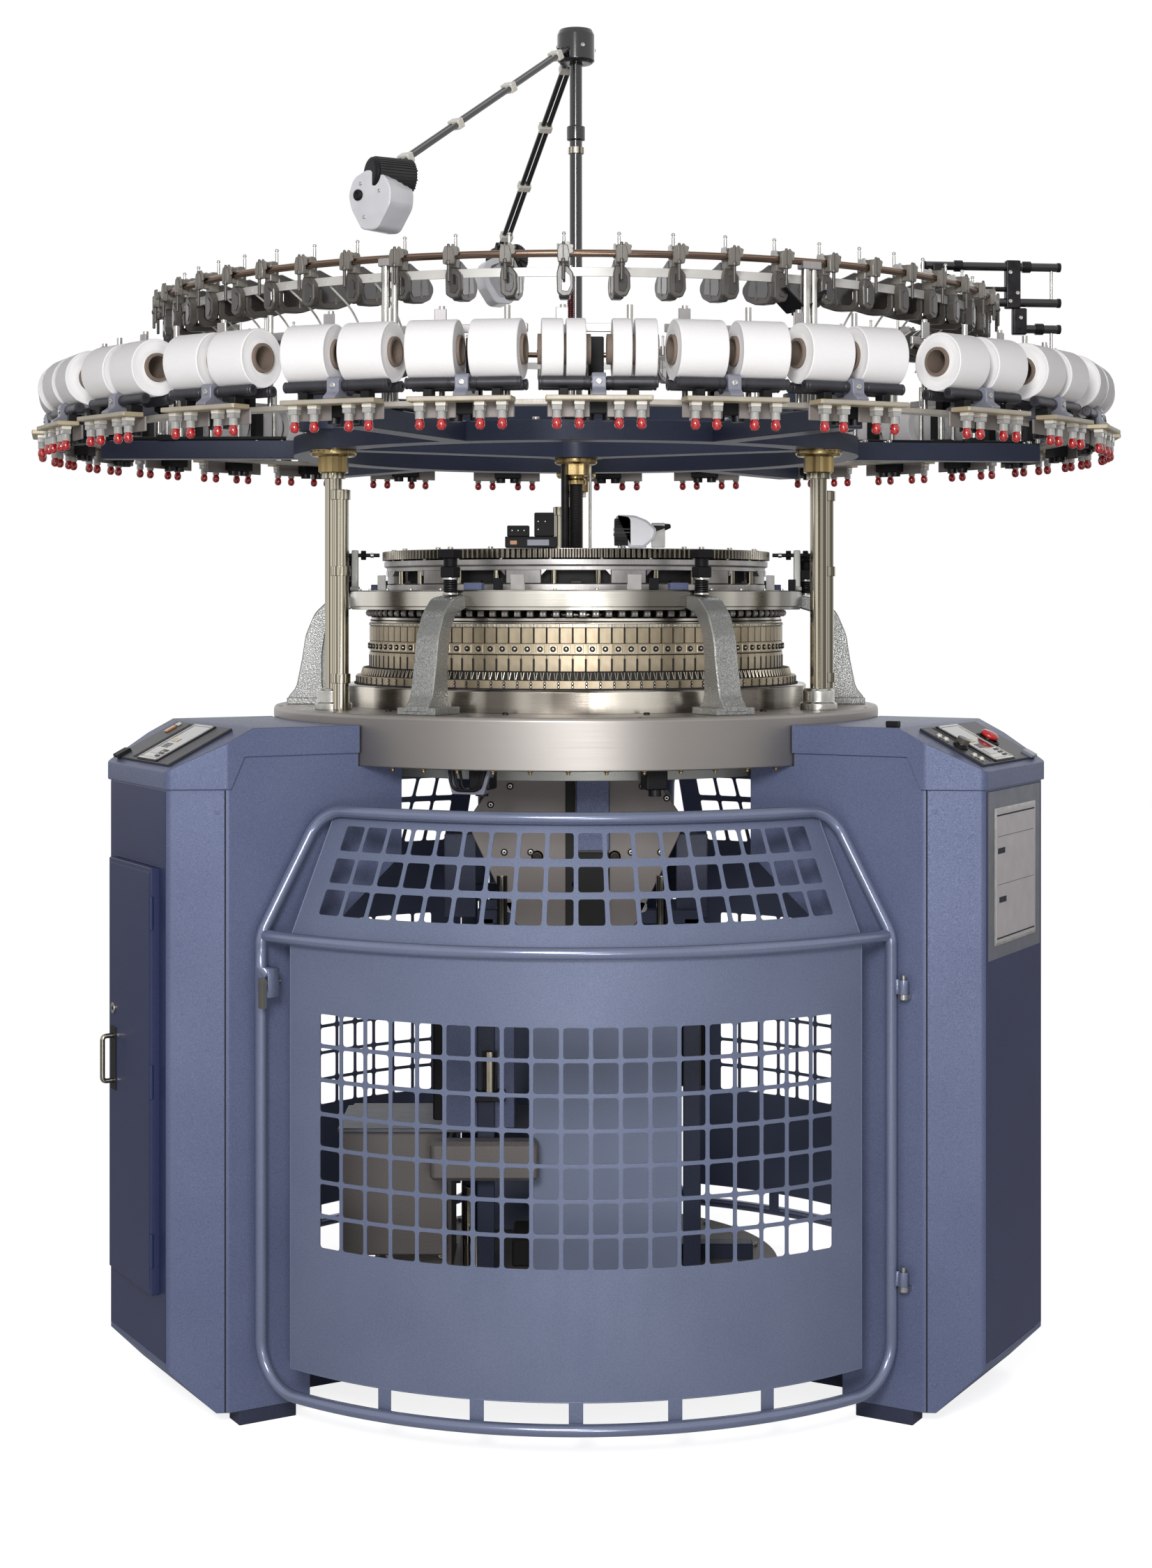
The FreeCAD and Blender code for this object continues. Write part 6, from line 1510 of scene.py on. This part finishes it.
@dataclass
class YarnGuides:
    """Guide ring with its posts, clamps, band and the small parts it carries."""

    height: float = 2417.0
    reach: float = 975.0
    count: int = 54
    posts: tuple[float, ...] = (-83.0, -31.6, 37.0, 88.4, 157.0, 208.4)

    def build(self) -> None:
        """Make the ring, the posts and every clamp."""
        piece = Piece("guide_ring_tube", slot="guide_tube", stands_for=["guide_ring"])
        piece.add(GUIDE_TUBE, tube(arc(self.reach, 0, 357, self.height), 7.5, 14, True))
        beams = (7.0, 58.4, 127.0, 178.4, 247.0, 298.4)
        places = [out(a, self.reach, DECK) for a in beams]
        piece.add(BRIGHT, rod(9, 304, 1.0, 18), *places)
        piece.add(BRIGHT, rod(7, 304, 1.0, 14), *[p @ shift(0, 20) for p in places])
        piece.add(BLACK, slab((-20, 20), (-18, 38), (0, 14), 3, 2), *places)
        piece.add(GREY_CAST, slab((-11, 11), (-13, 33), (288, 304), 2.5, 2), *places)
        piece.add(BRIGHT, screw_head(4.5, 4), *[p @ shift(x, y, 14) for p in places
                                                for x in (-14, 14) for y in (-12, 32)])
        piece.build()
        band = Piece("guide_band_white", slot="band_white", stands_for=["guide_band"])
        band.add(BAND, ring([(947, 2375), (951, 2375), (951, 2393), (947, 2393)], 192, 0.8))
        band.build()
        self.clamps()
        self.extras()

    def clamps(self) -> None:
        """Frosted clamp blocks, scalloped discs and smoked bodies with side windows."""
        places = [out(-91.45 + i * 360.0 / self.count) for i in range(self.count)]
        piece = Piece("guide_clamp_bodies", slot="clamp_grey", stands_for=["guide_clamps"])
        block = [(967.4, 2394), (967.4, 2430), (962, 2437), (948, 2437), (944, 2430),
                 (944, 2394)]
        piece.add(FROST, upright(eased(block, 3, 2), 9.5, 1.6), *places)
        nose = eased([(-13, 2341), (-2, 2333), (13, 2335), (20, 2350), (19, 2380), (8, 2394),
                      (-10, 2396), (-14, 2380)], 3, 2)
        piece.add(SMOKE, facing_out(nose, 16, 2), *[p @ shift(952, 0, 0) for p in places])
        inlay = eased([(-4, 2345), (8, 2342), (14, 2354), (13, 2374), (4, 2382), (-4, 2378)],
                      2, 2)
        piece.add(WINDOW, facing_out(inlay, 17.6, 0.8), *[p @ shift(952, 0, 0)
                                                          for p in places])
        cap = eased([(-11, 2398), (11, 2398), (13, 2412), (9, 2432), (-8, 2434), (-12, 2420)],
                    3, 2)
        piece.add(FROST, facing_out(cap, 11, 1.6), *[p @ shift(982, 0, 0) for p in places])
        body = [(945, 2393), (945, 2408), (936, 2412), (905, 2404), (858, 2398), (828, 2378),
                (826, 2366), (840, 2349), (880, 2336), (930, 2333), (945, 2346)]
        piece.add(SMOKE, upright(eased(body, 5, 2), 10.5, 2.0), *places)
        piece.add(WINDOW, upright(eased([(852, 2356), (926, 2344), (934, 2352), (934, 2388),
                                         (904, 2392), (860, 2386)], 4, 2), 11.3, 0.6), *places)
        piece.add(FROST, upright(eased([(884, 2346), (890, 2345), (890, 2391), (884, 2391)], 1),
                                 11.9, 0.3), *places)
        piece.add(FROST, upright(eased([(966, 2400), (988, 2402), (990, 2426), (984, 2434),
                                        (966, 2434)], 3, 2), 6.4, 1.2), *places)
        front = lathe([(0, 2362), (3.4, 2364), (3.4, 2396), (5.4, 2398), (5.4, 2404), (3.4, 2406),
                       (3.4, 2434), (2.4, 2438), (0, 2438.6)], 10)
        piece.add(SMOKE, front, *[p @ shift(990, 0, 0) for p in places])
        disc = prism([(14.0 * (1 + 0.14 * math.cos(6 * t)) * math.cos(t),
                       14.0 * (1 + 0.14 * math.cos(6 * t)) * math.sin(t))
                      for t in np.linspace(0, 2 * math.pi, 30, endpoint=False)], 0, 4, 0.8)
        piece.add(LAMP_CLEAR, disc.placed(spin("x", 90)), *[p @ shift(960, -9.2, 2424)
                                                            for p in places])
        piece.add(FROST, disc.placed(spin("y", 90)), *[p @ shift(986, 9, 2424) @ stretch(
            y=0.8, z=0.9) for p in places])
        pin = lathe([(0, 0), (3.3, 0.6), (3.3, 116), (2.2, 117), (2.2, 119), (4.2, 120),
                     (4.2, 122), (3.0, 124.6), (0, 125)], 10)
        piece.add(BRIGHT, pin, *[p @ shift(942, 0, 2340) for p in places])
        knob = screw_head(5.0, 4.0).placed(spin("x", -90))
        piece.add(BRIGHT, knob, *[p @ shift(956, 6.4, 2416) for p in places])
        tip = lathe(eased([(0.1, 0), (5.5, 0), (6.5, 3), (6.5, 7), (5, 11), (0.1, 12)], 1.5,
                          closed=False), 14)
        piece.add(LAMP_WHITE, tip, *[p @ shift(834, 0, 2368) @ spin("y", -100) @ shift(z=-4)
                                     for p in places])
        piece.build()

    def extras(self) -> None:
        """V tray, long ribbed rod, curved feelers and boxes on the creel beams."""
        piece = Piece("guide_extras", slot="clamp_grey")
        tray = out(298.4, 940)
        for side in (1, -1):
            leaf = slab((-34, 40), (0, 66), (0, 3.5), 1.5)
            piece.add(BLACK, leaf, tray @ shift(0, 0, 2318) @ stretch(y=side) @ spin("x", 40))
        piece.add(BLACK, slab((-8, 35), (-6, 6), (2312, 2326), 2, 2), tray)
        ribs = [(x, 2190 + i * 4.0 + k) for i in range(58) for x, k in ((5.5, 0), (8.0, 1.6),
                                                                      (8.0, 2.4))]
        piece.add(DARK_RED, lathe([(0, 2186)] + ribs + [(5, 2424), (0, 2424)], 14),
                  out(269, 640, -4))
        piece.add(BRIGHT, rod(4, 22), out(269, 640, 2418))
        piece.add(BRIGHT, rod(5, 78), out(269, 640, 2113))
        piece.add(BLACK, slab((-16, 16), (-13, 13), (0, 34), 2.5, 2), out(269, 640, 2113))
        piece.add(GREY_CAST, slab((-11, 11), (-9, 9), (0, 16), 2), out(269, 640, 2176))
        for index in range(20):
            angle = (-52 if index < 10 else 182) + (index % 10) * 6.667 + 2.2
            curve = bend([(952, 0, 2384), (930, 4, 2368), (880, 10, 2336), (846, 12, 2290)], 26, 5)
            piece.add(LAMP_WHITE, tube(curve, 2.2, 8), out(angle))
        piece.build()


# ------------------------------------------------------------------ rack, mast and blower
@dataclass
class SideRack:
    """Tube rack on the right beam of the creel."""

    angle: float = 7.0

    def build(self) -> None:
        """Make the tubes with caps, collars, T clamps and thin rods."""
        place = out(self.angle)
        piece = Piece("rack_tubes", slot="mast_black", stands_for=["side_rack"])
        for reach, length, height in ((845, 346, 2545), (870, 321, 2458), (1082, 109, 2394)):
            bar = place @ shift(reach, 0, height) @ spin("y", 90)
            piece.add(BLACK_GLOSS, rod(10.5, length, 1.2, 24), bar)
            piece.add(BLACK, rod(11.4, 9, 1.5, 24), bar @ shift(z=-0.4),
                      bar @ shift(z=length - 8.6))
        collar = lathe(eased([(10, 0), (14, 0), (14, 20), (10, 20)], 1.6), 24, closed=True)
        for reach, height in ((925, 2545), (1010, 2458), (1096, 2545), (1128, 2394)):
            piece.add(BLACK_STEEL, collar, place @ shift(reach, 0, height) @ spin("y", 90))
        piece.add(BLACK_STEEL, slab((-15, 15), (-13, 13), (2362, 2550), 4, 3),
                  place @ shift(884, 0, 0))
        piece.add(BLACK, slab((-34, 34), (-18, 18), (-12, 12), 4, 2),
                  place @ shift(930, 0, 2500) @ spin("y", 24), place @ shift(1000, 0, 2440)
                  @ spin("y", -18))
        piece.add(BLACK_STEEL, rod(6, 190, 1, 16), place @ shift(884, 0, 2490) @ spin("y", 90))
        piece.add(BRIGHT, rod(8, 424, 1.0, 16), place @ shift(893, 0, DECK))
        piece.add(BLACK, slab((868, 918), (-20, 20), (2113, 2122), 2, 2), place)
        piece.add(BLACK_STEEL, slab((1053, 1089), (-12, 12), (2443, 2560), 4, 3), place)
        piece.add(BLACK_STEEL, slab((1071, 1105), (-11, 11), (2380, 2444), 4, 3), place)
        piece.add(BRIGHT, screw_head(5, 4).placed(spin("x", 90)),
                  *[place @ shift(x, -12, z) for x, z in ((1062, 2460), (1080, 2480),
                                                          (1062, 2530), (1088, 2420),
                                                          (893, 2480), (893, 2525))])
        piece.add(BRIGHT, rod(4, 93, 0.6, 12), place @ shift(1169, 0, 2458))
        piece.add(BRIGHT, rod(4, 56, 0.6, 12), place @ shift(1169, 0, 2338))
        piece.build()


@dataclass
class Blower:
    """Mast with its silver ring, and the turning arms with two lint blowers."""

    arms: tuple[float, float] = (234.0, 107.0)
    reach: float = 718.0
    level: float = 2610.0

    def build(self) -> None:
        """Make the mast, the arms and the heads."""
        mast = Piece("mast_gloss", slot="mast_black", stands_for=["mast"])
        mast.add(BLACK_GLOSS, rod(15, 943, 1.0, 36), shift(z=2127))
        mast.add(BLACK_GLOSS, lathe(eased([(14, 2826), (22, 2828), (22, 2860), (14, 2863)], 2),
                                    36, closed=True))
        mast.add(CHROME, lathe(eased([(14, 2795), (19, 2795), (19, 2811), (14, 2811)], 1.2), 36,
                               closed=True))
        mast.add(FRAME_PAINT, lathe(eased([(14, 2127), (34, 2127), (34, 2142), (26, 2150),
                                           (14, 2150)], 2), 36, closed=True))
        mast.build()
        self.tubes()
        piece = Piece("blower_housings", "blower", "head_white", ["blower_heads"])
        for index, angle in enumerate(self.arms):
            self.head(piece, out(angle, self.reach, self.level), 1.0 if index == 0 else -1.0)
        piece.build()

    def tubes(self) -> None:
        """Pairs of thin black tubes with white clips, from the hub to the heads."""
        piece = Piece("blower_tubes", "blower", "mast_black", ["blower_arms"])
        hub = [(15.6, 3010), (38, 3010), (45, 3016), (45, 3078), (40, 3090), (10, 3090),
               (10, 3074), (15.6, 3074)]
        piece.add(BLACK_GLOSS, lathe(eased(hub, 2), 40, closed=True))
        piece.add(BRIGHT, screw_head(5, 4).placed(spin("y", 90)), *around(4, 44.6, 3046, 20))
        start, elbow = np.array((30.0, 0.0, 3045.0)), np.array((672.0, 0.0, 2664.0))
        for angle in self.arms:
            place = out(angle)
            for side in (-7.2, 7.2):
                path = bend([start, elbow, (706, 0, 2634)], 18, 4)
                piece.add(BLACK_GLOSS, tube(path, 6.2, 12), place @ shift(0, side, 0))
            for share in (0.08, 0.36, 0.66, 0.93):
                spot = start + (elbow - start) * share
                clip = slab((-11, 11), (-16, 16), (-10, 10), 3, 2)
                piece.add(LAMP_WHITE, clip, place @ aim(spot, elbow) @ spin("z", 0))
            piece.add(BLACK, slab((-14, 14), (-17, 17), (-12, 12), 3, 2),
                      place @ aim(elbow, np.array((706.0, 0.0, 2634.0))))
        piece.build()

    def head(self, piece: Piece, place: np.ndarray, side: float) -> None:
        """One blower head: faceted shell, ribbed drum with a grille, and a round port."""
        outline = np.array([(-54, 6), (-42, 36), (-8, 50), (38, 34), (52, 8), (50, -20), (16, -68),
                            (-18, -66), (-46, -22)]) * (side, 1.0)
        ordered = outline if side > 0 else outline[::-1]
        lower = place @ shift(0, 6 * side, -18) @ stretch(y=0.94, z=0.94)
        shell = facing_out(eased([tuple(p) for p in ordered], 9, 4), 76, 8)
        piece.add(WHITE_SHELL, shell, lower @ shift(-42))
        lid = facing_out(inset(np.array(eased([tuple(p) for p in ordered], 9, 4)), 10), 79, 2.5)
        piece.add(WHITE_SHELL, lid, lower @ shift(-42))
        turned = place @ shift(-14, 22 * side, 30) @ spin("z", -24 * side) @ spin("y", 90)
        piece.add(RUBBER, prism(star(38, 2.0, 36), -46, 40, 1.2), turned)
        piece.add(BLACK, lathe(eased([(0.1, 38), (36, 38), (36, 46), (30, 50), (0.1, 50)], 2,
                                     closed=False), 48), turned)
        for i in range(10):
            piece.add(BLACK, slab((8, 34), (-1.6, 1.6), (-49, -45), 0.5),
                      turned @ spin("z", 36.0 * i))
        port = lathe(eased([(0.1, 0), (12, 0), (12, 5), (8, 8), (0.1, 5)], 1.4, closed=False),
                     28)
        piece.add(BLACK, port, place @ shift(36.6, -24 * side, -14) @ spin("y", 90))
        piece.add(BRIGHT, screw_head(4, 3).placed(spin("y", 90)),
                  *[place @ shift(36.6, y * side, z) for y, z in ((-18, 10), (34, -10),
                                                                  (-8, -62))])


# ------------------------------------------------------------------ take-down unit
@dataclass
class TakeDown:
    """Rotating take-down unit under the bed."""

    plate_y: float = 253.0

    def build(self) -> None:
        """Make plates, rollers, posts, boxes and the turntable."""
        plates = Piece("takedown_plates", "rotor", "takedown_beige", ["takedown_frame"])
        half = [(-170, 1345), (-244, 1236), (-236, 1200), (-133, 990)]
        outline = half + [(-x, z) for x, z in reversed(half)]
        plate = upright(eased(outline[::-1], 12, 4), 7, 1.5)
        bolts = ((-194, 1268), (206, 1283), (-163, 1160), (-103, 1160), (125, 1160), (192, 1160),
                 (-150, 1310), (150, 1310))
        for side in (-1, 1):
            y, face = side * self.plate_y, spin("x", -90 * side)
            plates.add(BEIGE, plate, shift(y=y))
            plates.add(DARK, rod(8, 3, 0.6).placed(face),
                       *[shift(-x * side, y + 6.5 * side, z) for x, z in bolts])
            plates.add(BRIGHT, screw_head(5, 2.5).placed(face),
                       *[shift(-x * side, y + 8 * side, z) for x, z in bolts])
            plates.add(PAINT, slab((0, 76), (-8, 8), (1165, 1345), 2),
                       shift(y=side * 266) @ stretch(x=-side))
            plates.add(DARK, slab((0, 76), (-6, 6), (995, 1160), 2),
                       shift(y=side * 264) @ stretch(x=-side))
            plates.add(DARK, slab((-24, -2), (-3, 3), (995, 1340), 1),
                       shift(y=side * 261) @ stretch(x=-side))
            plates.add(CHROME, rod(12, 120, 1.2, 24), shift(-168 * -side, side * 266, 988),
                       shift(194 * -side, side * 266, 988))
            for x in (-205, 264):
                plates.add(FRAME_PAINT, slab((x - 20, x + 20), (-12, 12), (170, 1010), 4, 2),
                           shift(y=side * 246) @ stretch(x=-side))
            plates.add(FRAME_PAINT, slab((-225, 284), (-12, 12), (996, 1030), 4, 2),
                       shift(y=side * 246) @ stretch(x=-side))
            # Wide panel in the lighter paint: painted light, where light through the gate would fall
            # on the post.
            plates.add(LIT_PANEL_PAINT, slab((-98, 241), (-6, 6), (172, 990), 2),
                       shift(y=side * 238) @ stretch(x=-side))
            plates.add(PAINT, slab((-300, -140), (-4, 4), (528, 992), 2),
                       shift(y=side * 232) @ stretch(x=-side))
            plates.add(FRAME_PAINT, slab((228, 300), (-4, 4), (1010, 1200), 3, 2),
                       shift(y=side * 244), shift(y=side * 244) @ stretch(x=-1))
            plates.add(BLACK, slab((-327, -250), (-34, 34), (544, 774), 5, 3),
                       shift(y=side * 196) @ stretch(x=-side))
            plates.add(CHROME, rod(18, 92, 1.2, 28), shift(196 * side, side * 262, 617))
            plates.add(BLACK_STEEL, slab((-232, -160), (-22, 22), (596, 618), 3, 2),
                       shift(y=side * 258) @ stretch(x=-side))
        plates.add(BRIGHT, rod(12, 520, 1.0, 24).placed(spin("x", -90)),
                   *[shift(x, -260, 1035) for x in (-150, 150)])
        for low in (430, 895):
            plates.add(FRAME_PAINT, slab((-20, 20), (-228, 228), (low, low + 50), 4, 2),
                       shift(-205), shift(205))
        plates.build()
        for name, x, z in (("left", -88, 1150), ("middle", 0, 1087), ("right", 88, 1150)):
            roller = Piece(f"{name}_roller_drum", f"roller_{name}", "roller_steel",
                           [f"takedown_roller_{name}"])
            drum = prism(star(42, 0.9, 60), -236, 236, 1.4).placed(spin("x", 90))
            roller.add(BRIGHT, drum, shift(x, 0, z))
            roller.add(BRIGHT, rod(15, 520, 1.2, 24).placed(spin("x", -90)), shift(x, -260, z))
            roller.add(DARK_BRONZE, screw_head(11, 4).placed(spin("x", 90)),
                       shift(x, -260, z))
            roller.build()
        dressed("turntable", TABLE_GREY, "rotor", 3.0)
        self.table_parts()
        self.under_bed()

    def table_parts(self) -> None:
        """Drive box, shafts and struts that turn with the turntable."""
        piece = Piece("turntable_gear", "rotor", "turntable_grey")
        piece.add(TABLE_GREY, slab((-540, -300), (-196, 112), (226, 512), 6, 3), shift())
        piece.add(LABEL_SHEET, slab((-546, -60), (-214, 40), (512, 522), 3, 2), shift())
        piece.add(TABLE_GREY, slab((-330, -84), (-312, -256), (424, 512), 14, 3), shift())
        piece.add(DARK, slab((-150, 90), (-90, 90), (170, 232), 6, 3), shift())
        piece.add(BRIGHT, screw_head(8, 6).placed(spin("x", 90)),
                  *[shift(x, -115, z) for x in (-436, -314) for z in (206, 424)])
        piece.add(CHROME, rod(15, 190, 1.2, 28), shift(-250, -96, 170))
        piece.add(CHROME, rod(20, 96, 1.2, 28), shift(-230, -150, 168))
        piece.add(FRAME_PAINT, slab((60, 420), (-24, 24), (168, 206), 4, 2), shift())
        piece.add(GREY_CAST, rod(26, 120, 2, 28), shift(200, 0, 168))
        piece.add(BRIGHT, screw_head(9, 8), *around(12, 440, 170, 12.0))
        piece.build()

    def under_bed(self) -> None:
        """Motors, cable bracket and the row of small fittings below the bed."""
        piece = Piece("under_bed_fittings", slot="bed_grey")
        fitting = lathe(eased([(0.1, -9), (4, -9), (4, -4), (7, -3), (7, 0), (0.1, 0)], 1,
                              closed=False), 12)
        piece.add(BRASS, fitting, *around(54, 690, 1375.5, 2.0))
        for angle in (252.0, 285.0, 40.0, 140.0):
            motor = out(angle, 640, 1375)
            piece.add(BLACK, slab((-24, 24), (-24, 24), (-44, 0), 5, 3), motor)
            piece.add(BLACK_STEEL, rod(14, 16), motor @ shift(6, 0, -58))
        vee = eased([(-52, 0), (-44, 0), (-30, -42), (30, -42), (44, 0), (52, 0), (36, -54),
                     (-36, -54)], 3)
        piece.add(CLIP, facing_out([(x, z) for x, z in vee], 30, 1), out(250, 640, 1375))
        for index in range(3):
            drop = bend([(0, -40 + index * 9, 1372), (0, -34 + index * 9, 1330),
                         (0, 30 - index * 8, 1330), (0, 40 - index * 8, 1372)], 26, 6)
            piece.add(BLACK, tube(drop, 3.2, 8), out(250, 676 - index * 8))
        piece.build()


# ------------------------------------------------------------------ stage, light and camera
@dataclass
class Studio:
    """Pale floor, white surroundings, soft lamps and the camera."""

    eye: tuple[float, float, float] = (0.0, -5.67, 1.731)
    lens: float = 54.65
    key: float = 205.0
    fill: float = 50.0
    ambient: float = 0.22

    def build(self) -> None:
        """Make the whole stage."""
        self.world()
        self.floor()
        self.lamps()
        self.camera()

    def world(self) -> None:
        """White seen by the camera and by reflections, and a softer fill light."""
        world = bpy.data.worlds.new("studio_white")
        bpy.context.scene.world = world
        world.use_nodes = True
        nodes, links = world.node_tree.nodes, world.node_tree.links
        back = nodes["Background"]
        back.inputs["Color"].default_value = (1.0, 1.0, 1.0, 1.0)
        path = nodes.new("ShaderNodeLightPath")
        seen = nodes.new("ShaderNodeMath")
        seen.operation = "MAXIMUM"
        links.new(path.outputs["Is Camera Ray"], seen.inputs[0])
        also = nodes.new("ShaderNodeMath")
        also.operation = "MAXIMUM"
        links.new(path.outputs["Is Glossy Ray"], also.inputs[0])
        links.new(path.outputs["Is Transmission Ray"], also.inputs[1])
        links.new(also.outputs[0], seen.inputs[1])
        level = nodes.new("ShaderNodeMapRange")
        level.inputs["To Min"].default_value = self.ambient
        level.inputs["To Max"].default_value = 1.0
        links.new(seen.outputs[0], level.inputs["Value"])
        links.new(level.outputs[0], back.inputs["Strength"])

    def floor(self) -> None:
        """Large pale floor that keeps the machine's shadow."""
        mesh = bpy.data.meshes.new("studio_floor")
        size = 14.0
        mesh.from_pydata([(-size, -size, 0), (size, -size, 0), (size, size, 0),
                          (-size, size, 0)], [], [(0, 1, 2, 3)])
        floor = bpy.data.objects.new("studio_floor", mesh)
        bpy.context.scene.collection.objects.link(floor)
        made = bpy.data.materials.new("pale_floor")
        made.use_nodes = True
        nodes, links = made.node_tree.nodes, made.node_tree.links
        shader = nodes["Principled BSDF"]
        coordinates = nodes.new("ShaderNodeTexCoord")
        noise = nodes.new("ShaderNodeTexNoise")
        noise.inputs["Scale"].default_value = 1.4
        links.new(coordinates.outputs["Object"], noise.inputs["Vector"])
        ramp = nodes.new("ShaderNodeMapRange")
        ramp.inputs["To Min"].default_value = 0.86
        ramp.inputs["To Max"].default_value = 0.9
        links.new(noise.outputs["Fac"], ramp.inputs["Value"])
        grey = nodes.new("ShaderNodeCombineColor")
        for key in ("Red", "Green", "Blue"):
            links.new(ramp.outputs[0], grey.inputs[key])
        links.new(grey.outputs[0], shader.inputs["Base Color"])
        shader.inputs["Roughness"].default_value = 0.9
        shader.inputs["Specular IOR Level"].default_value = 0.1
        path = nodes.new("ShaderNodeLightPath")
        lift = nodes.new("ShaderNodeMath")
        lift.operation = "MULTIPLY"
        lift.inputs[1].default_value = 0.8
        links.new(path.outputs["Is Camera Ray"], lift.inputs[0])
        shader.inputs["Emission Color"].default_value = (1.0, 1.0, 1.0, 1.0)
        links.new(lift.outputs[0], shader.inputs["Emission Strength"])
        mesh.materials.append(made)

    def lamp(self, name: str, spot: Sequence[float], size: float, power: float) -> None:
        """One soft area lamp that looks at the machine's middle."""
        data = bpy.data.lights.new(name, "AREA")
        data.shape, data.size, data.energy = "DISK", size, power
        lamp = bpy.data.objects.new(name, data)
        place = aim(spot, (0.0, 0.0, 1.5)) @ spin("x", 180)
        lamp.matrix_world = Matrix(place.tolist())
        bpy.context.scene.collection.objects.link(lamp)

    def lamps(self) -> None:
        """Key from the front left above, fill from the right, light from behind."""
        self.lamp("key_lamp", (-0.7, -6.3, 3.4), 1.6, self.key)
        self.lamp("fill_lamp", (0.6, -6.4, 1.0), 0.9, self.fill)
        self.lamp("back_lamp", (1.5, 4.5, 4.6), 3.0, self.fill * 0.4)

    def camera(self) -> None:
        """Level camera at the photograph's viewing angle."""
        data = bpy.data.cameras.new("photo_camera")
        data.lens, data.sensor_width, data.sensor_fit = self.lens, 36.0, "VERTICAL"
        data.sensor_height = 36.0
        data.shift_y = -(1124.5 - 862.0) / 2249.0
        data.clip_start, data.clip_end = 0.1, 60.0
        camera = bpy.data.objects.new("photo_camera", data)
        camera.location = self.eye
        camera.rotation_euler = (math.radians(90.0), 0.0, 0.0)
        bpy.context.scene.collection.objects.link(camera)
        bpy.context.scene.camera = camera
        bpy.context.scene.view_settings.view_transform = "Standard"


def main() -> None:
    """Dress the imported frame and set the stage."""
    logging.basicConfig(level=logging.INFO, format="%(name)s %(message)s")
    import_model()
    parts = [Cabinets(), Consoles(), Gate("front"), Gate("right"), Gate("left"), Latch("front"),
             Latch("right"), Latch("left"), KnittingHead(), DialAndGears(), TopFrame(), Creel(),
             YarnGuides(), SideRack(), Blower(), TakeDown(), Studio()]
    for part in parts:
        LOG.info("building %s", type(part).__name__)
        part.build()
    dressed("gate_hinges", BRIGHT, bevel=0.8)


if __name__ == "__main__":
    main()
